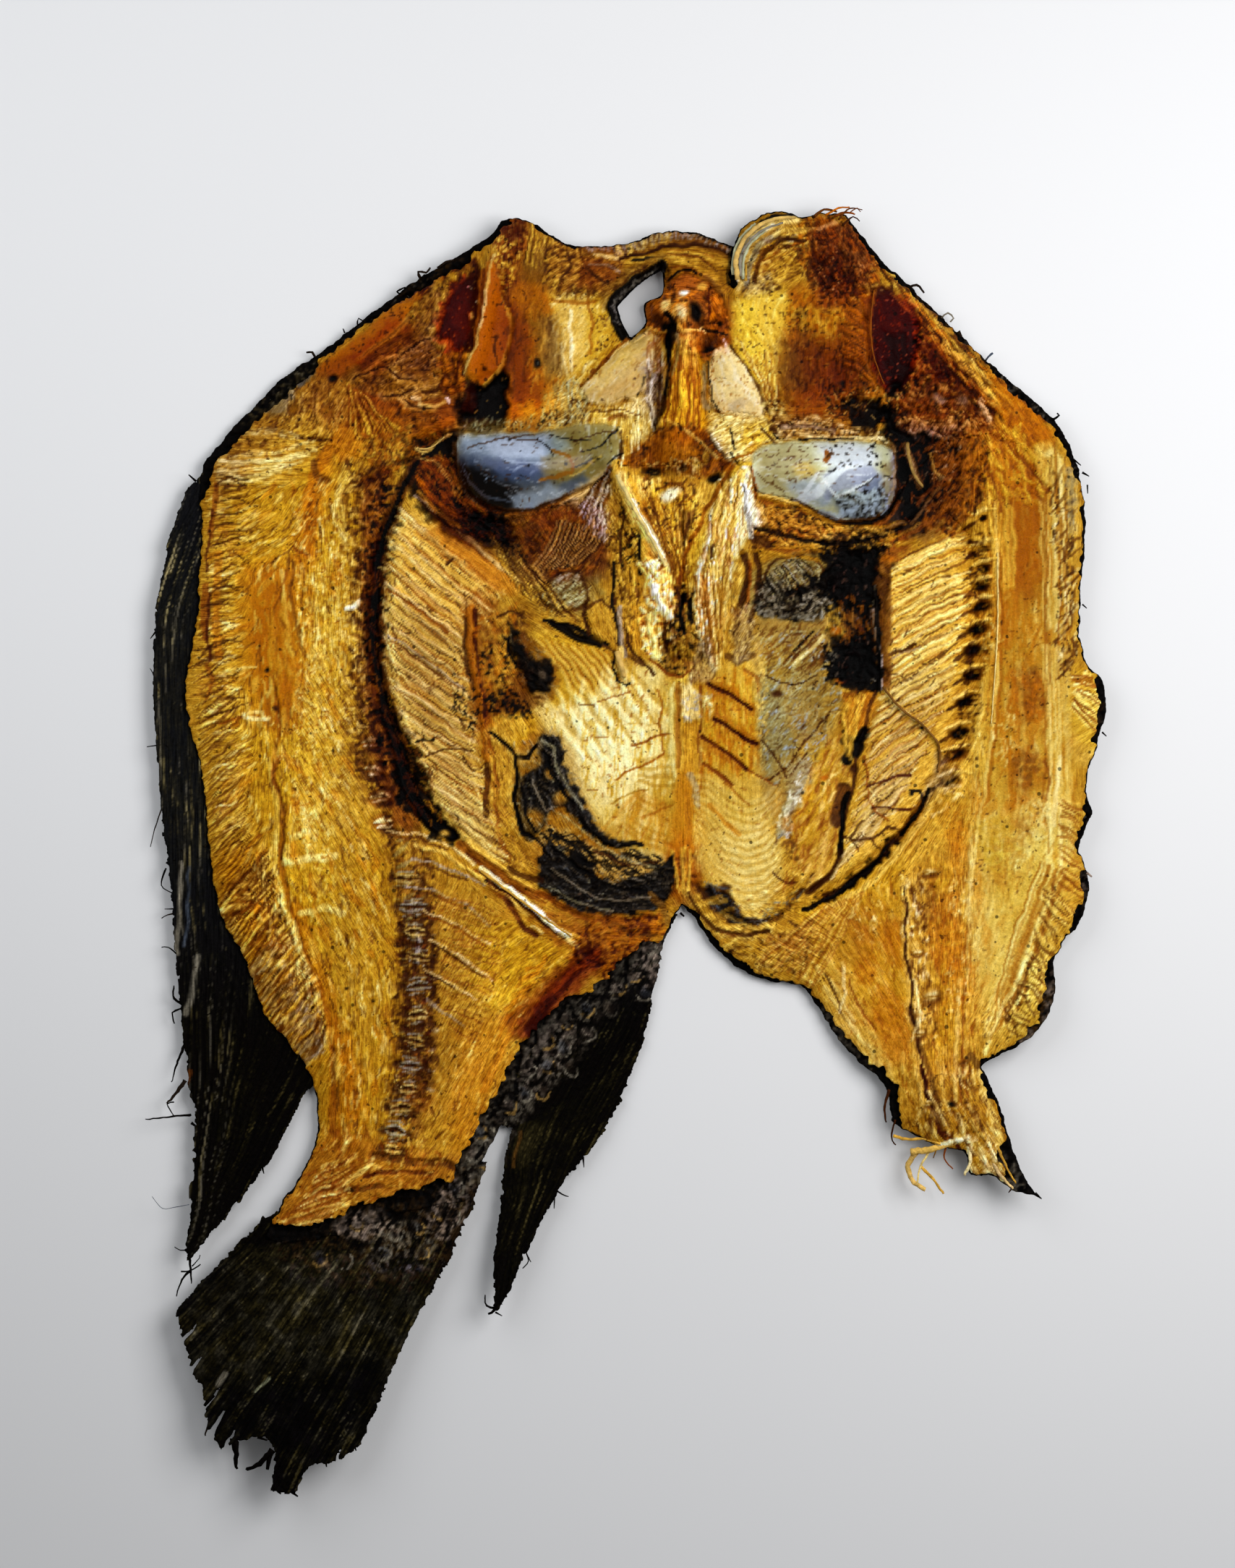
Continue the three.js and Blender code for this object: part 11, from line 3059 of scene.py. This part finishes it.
# the painted colour under fine grain, with hairlines and dark dots where asked
def paintedFinish(name, grainSize, grainDepth, contrast, roughness, shine, lines=None, dots=0):
    finish, tree, shader, add = newFinish(name)
    paint = add("Attribute", attribute_name="paint")
    gloss = add("Attribute", attribute_name="gloss")
    coords = add("TexCoord")
    grain = add("TexNoise", ("Vector", coords.outputs["Object"]), Scale=1 / grainSize, Detail=5.0,
                Roughness=0.65)
    fleck = add("TexNoise", ("Vector", coords.outputs["Object"]), Scale=1 / (grainSize * 3.1), Detail=3.0)
    tone = add("MapRange", ("Value", grain.outputs["Fac"]))
    tone.inputs["From Min"].default_value, tone.inputs["From Max"].default_value = 0.3, 0.7
    tone.inputs["To Min"].default_value, tone.inputs["To Max"].default_value = 1 - contrast, 1 + contrast
    shade = add("VectorMath", (0, paint.outputs["Color"]), (1, tone.outputs["Result"]),
                operation="MULTIPLY")
    specks = add("ValToRGB", ("Fac", fleck.outputs["Fac"]))
    specks.color_ramp.elements[0].position, specks.color_ramp.elements[0].color = 0.27, (0.12, 0.05, 0.015,
                                                                                         1)
    specks.color_ramp.elements[1].position, specks.color_ramp.elements[1].color = 0.33, (1, 1, 1, 1)
    dotted = add("Mix", data_type="RGBA", blend_type="MULTIPLY")
    dotted.inputs[0].default_value = 0.8
    tree.links.new(shade.outputs[0], dotted.inputs[6])
    tree.links.new(specks.outputs["Color"], dotted.inputs[7])
    colour = dotted.outputs[2]
    if lines:
        wide, long, dark, light = lines
        hair = add("MapRange", ("Value", hairlines(add, coords, wide, long).outputs[0]))
        hair.inputs["From Min"].default_value, hair.inputs["From Max"].default_value = 0.26, 0.58
        lined = add("Mix", data_type="RGBA", blend_type="MIX")
        lined.inputs[6].default_value, lined.inputs[7].default_value = dark, light
        tree.links.new(hair.outputs["Result"], lined.inputs[0])
        both = add("Mix", data_type="RGBA", blend_type="MULTIPLY")
        both.inputs[0].default_value = 1
        tree.links.new(colour, both.inputs[6])
        tree.links.new(lined.outputs[2], both.inputs[7])
        amount = add("MapRange", ("Value", gloss.outputs["Fac"]))
        amount.inputs["From Min"].default_value, amount.inputs["From Max"].default_value = 0.4, 0.75
        amount.inputs["To Min"].default_value, amount.inputs["To Max"].default_value = 1, 0.1
        tree.links.new(amount.outputs["Result"], both.inputs[0])
        colour = both.outputs[2]
    if dots:
        spots = add("TexVoronoi", ("Vector", coords.outputs["Object"]), Scale=1 / dots)
        chance = add("SeparateColor", ("Color", spots.outputs["Color"]))
        size = add("Math", (0, chance.outputs[0]), operation="POWER")
        size.inputs[1].default_value = 4
        reach = add("Math", (0, size.outputs[0]), operation="MULTIPLY")
        reach.inputs[1].default_value = 0.17
        clear = add("MapRange", ("Value", spots.outputs["Distance"]), ("From Min", reach.outputs[0]))
        wider = add("Math", (0, reach.outputs[0]), operation="ADD")
        wider.inputs[1].default_value = 0.08
        tree.links.new(wider.outputs[0], clear.inputs["From Max"])
        clear.inputs["To Min"].default_value, clear.inputs["To Max"].default_value = 0.22, 1
        speckled = add("VectorMath", (0, colour), (1, clear.outputs["Result"]), operation="MULTIPLY")
        colour = speckled.outputs[0]
    tree.links.new(colour, shader.inputs["Base Color"])
    rough = add("MapRange", ("Value", gloss.outputs["Fac"]))
    rough.inputs["To Min"].default_value, rough.inputs["To Max"].default_value = roughness, roughness - 0.45
    tree.links.new(rough.outputs["Result"], shader.inputs["Roughness"])
    bump = add("Bump", ("Height", grain.outputs["Fac"]), Strength=0.6, Distance=grainDepth)
    tree.links.new(bump.outputs["Normal"], shader.inputs["Normal"])
    shader.inputs["Specular IOR Level"].default_value = shine
    return finish


# sizes in metres; lines: width, length, dark and light tint; dots: distance between them
finishes = {
    "driedFlesh": {
        "grainSize": 0.0005, "grainDepth": 0.0003, "contrast": 0.22, "roughness": 0.6, "shine": 0.03,
        "lines": (0.00034, 0.0024, (0.52, 0.4, 0.26, 1), (1.24, 1.26, 1.28, 1)), "dots": 0.0024,
    },
    "scalySkin": {
        "grainSize": 0.0009, "grainDepth": 0.0003, "contrast": 0.35, "roughness": 0.7, "shine": 0.025,
    },
    "finRays": {
        "grainSize": 0.0006, "grainDepth": 0.0002, "contrast": 0.35, "roughness": 0.7, "shine": 0.015,
        "lines": (0.0004, 0.006, (0.3, 0.28, 0.25, 1), (1.3, 1.3, 1.3, 1)),
    },
    "gillCover": {
        "grainSize": 0.0012, "grainDepth": 0.0001, "contrast": 0.12, "roughness": 0.55, "shine": 0.2,
    },
    "palateBone": {
        "grainSize": 0.0008, "grainDepth": 0.0001, "contrast": 0.18, "roughness": 0.6, "shine": 0.06,
    },
}
made = [paintedFinish(name, **look) for name, look in finishes.items()]
fleshFinish, skinFinish, finFinish, coverFinish, boneFinish = made
for piece in fleshPieces:
    piece.data.materials.append(fleshFinish)
for piece in (rimSkin, underSkin):
    piece.data.materials.append(skinFinish)
for piece in finPieces + [rimHairs]:
    piece.data.materials.append(finFinish)
for piece in plates["gill_cover"]:
    piece.data.materials.append(coverFinish)
for piece in plates["bone"] + [looseSpines]:
    piece.data.materials.append(boneFinish)
tornStrands.data.materials.append(fleshFinish)
allPieces = fleshPieces + [rimSkin, underSkin] + finPieces + plates["gill_cover"] + plates["bone"]
for piece in allPieces + [rimHairs, tornStrands, looseSpines]:
    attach(piece, "root")
    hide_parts("fish")


# stage
stageLook = {
    "room": (1, 0.99, 0.98, 1), "roomStrength": 0.14,
    "paper": (0.8, 0.81, 0.83, 1), "paperRoughness": 0.8,
    "windowPower": 2.22, "roomPower": 0.66,
    "viewHeight": 1.02, "viewLength": 0.36856,  # metres: how far up the camera is, what it sees
}
scene = bpy.context.scene
scene.view_settings.view_transform = "Standard"
world = bpy.data.worlds.new("paleRoom")
world.use_nodes = True
world.node_tree.nodes["Background"].inputs["Color"].default_value = stageLook["room"]
world.node_tree.nodes["Background"].inputs["Strength"].default_value = stageLook["roomStrength"]
scene.world = world
bm = bmesh.new()
bmesh.ops.create_grid(bm, x_segments=1, y_segments=1, size=3)
floorMesh = bpy.data.meshes.new("floor")
bm.to_mesh(floorMesh)
bm.free()
floor = bpy.data.objects.new("floor", floorMesh)
scene.collection.objects.link(floor)
floor.location.z = -0.0002
paper, tree, shader, add = newFinish("palePaper")
shader.inputs["Base Color"].default_value = stageLook["paper"]
shader.inputs["Roughness"].default_value = stageLook["paperRoughness"]
floorMesh.materials.append(paper)


# a square light at a place, turned to what it is aimed at
def softLight(name, size, power, place, aim, colour=(1, 1, 1)):
    data = bpy.data.lights.new(name, "AREA")
    data.shape, data.size, data.energy, data.color = "SQUARE", size, power, colour
    light = bpy.data.objects.new(name, data)
    light.location = place
    light.rotation_mode = "QUATERNION"
    light.rotation_quaternion = (Vector(aim) - Vector(place)).to_track_quat("-Z", "Y")
    scene.collection.objects.link(light)


softLight("window", 0.35, stageLook["windowPower"], (0.28, 0.14, 0.4), (0, 0.03, 0), (1, 0.99, 0.98))
softLight("room", 0.35, stageLook["roomPower"], (-0.22, 0.2, 0.3), (0, 0.02, 0), (0.97, 0.985, 1))
camera = bpy.data.objects.new("camera", bpy.data.cameras.new("camera"))
middle = Vector((-2.72 * unit, 15.81 * unit, 0.004))
camera.location = middle + Vector((0, 0, stageLook["viewHeight"]))
camera.data.sensor_width = 36
camera.data.lens = 36 * stageLook["viewHeight"] / stageLook["viewLength"]
scene.collection.objects.link(camera)
scene.camera = camera
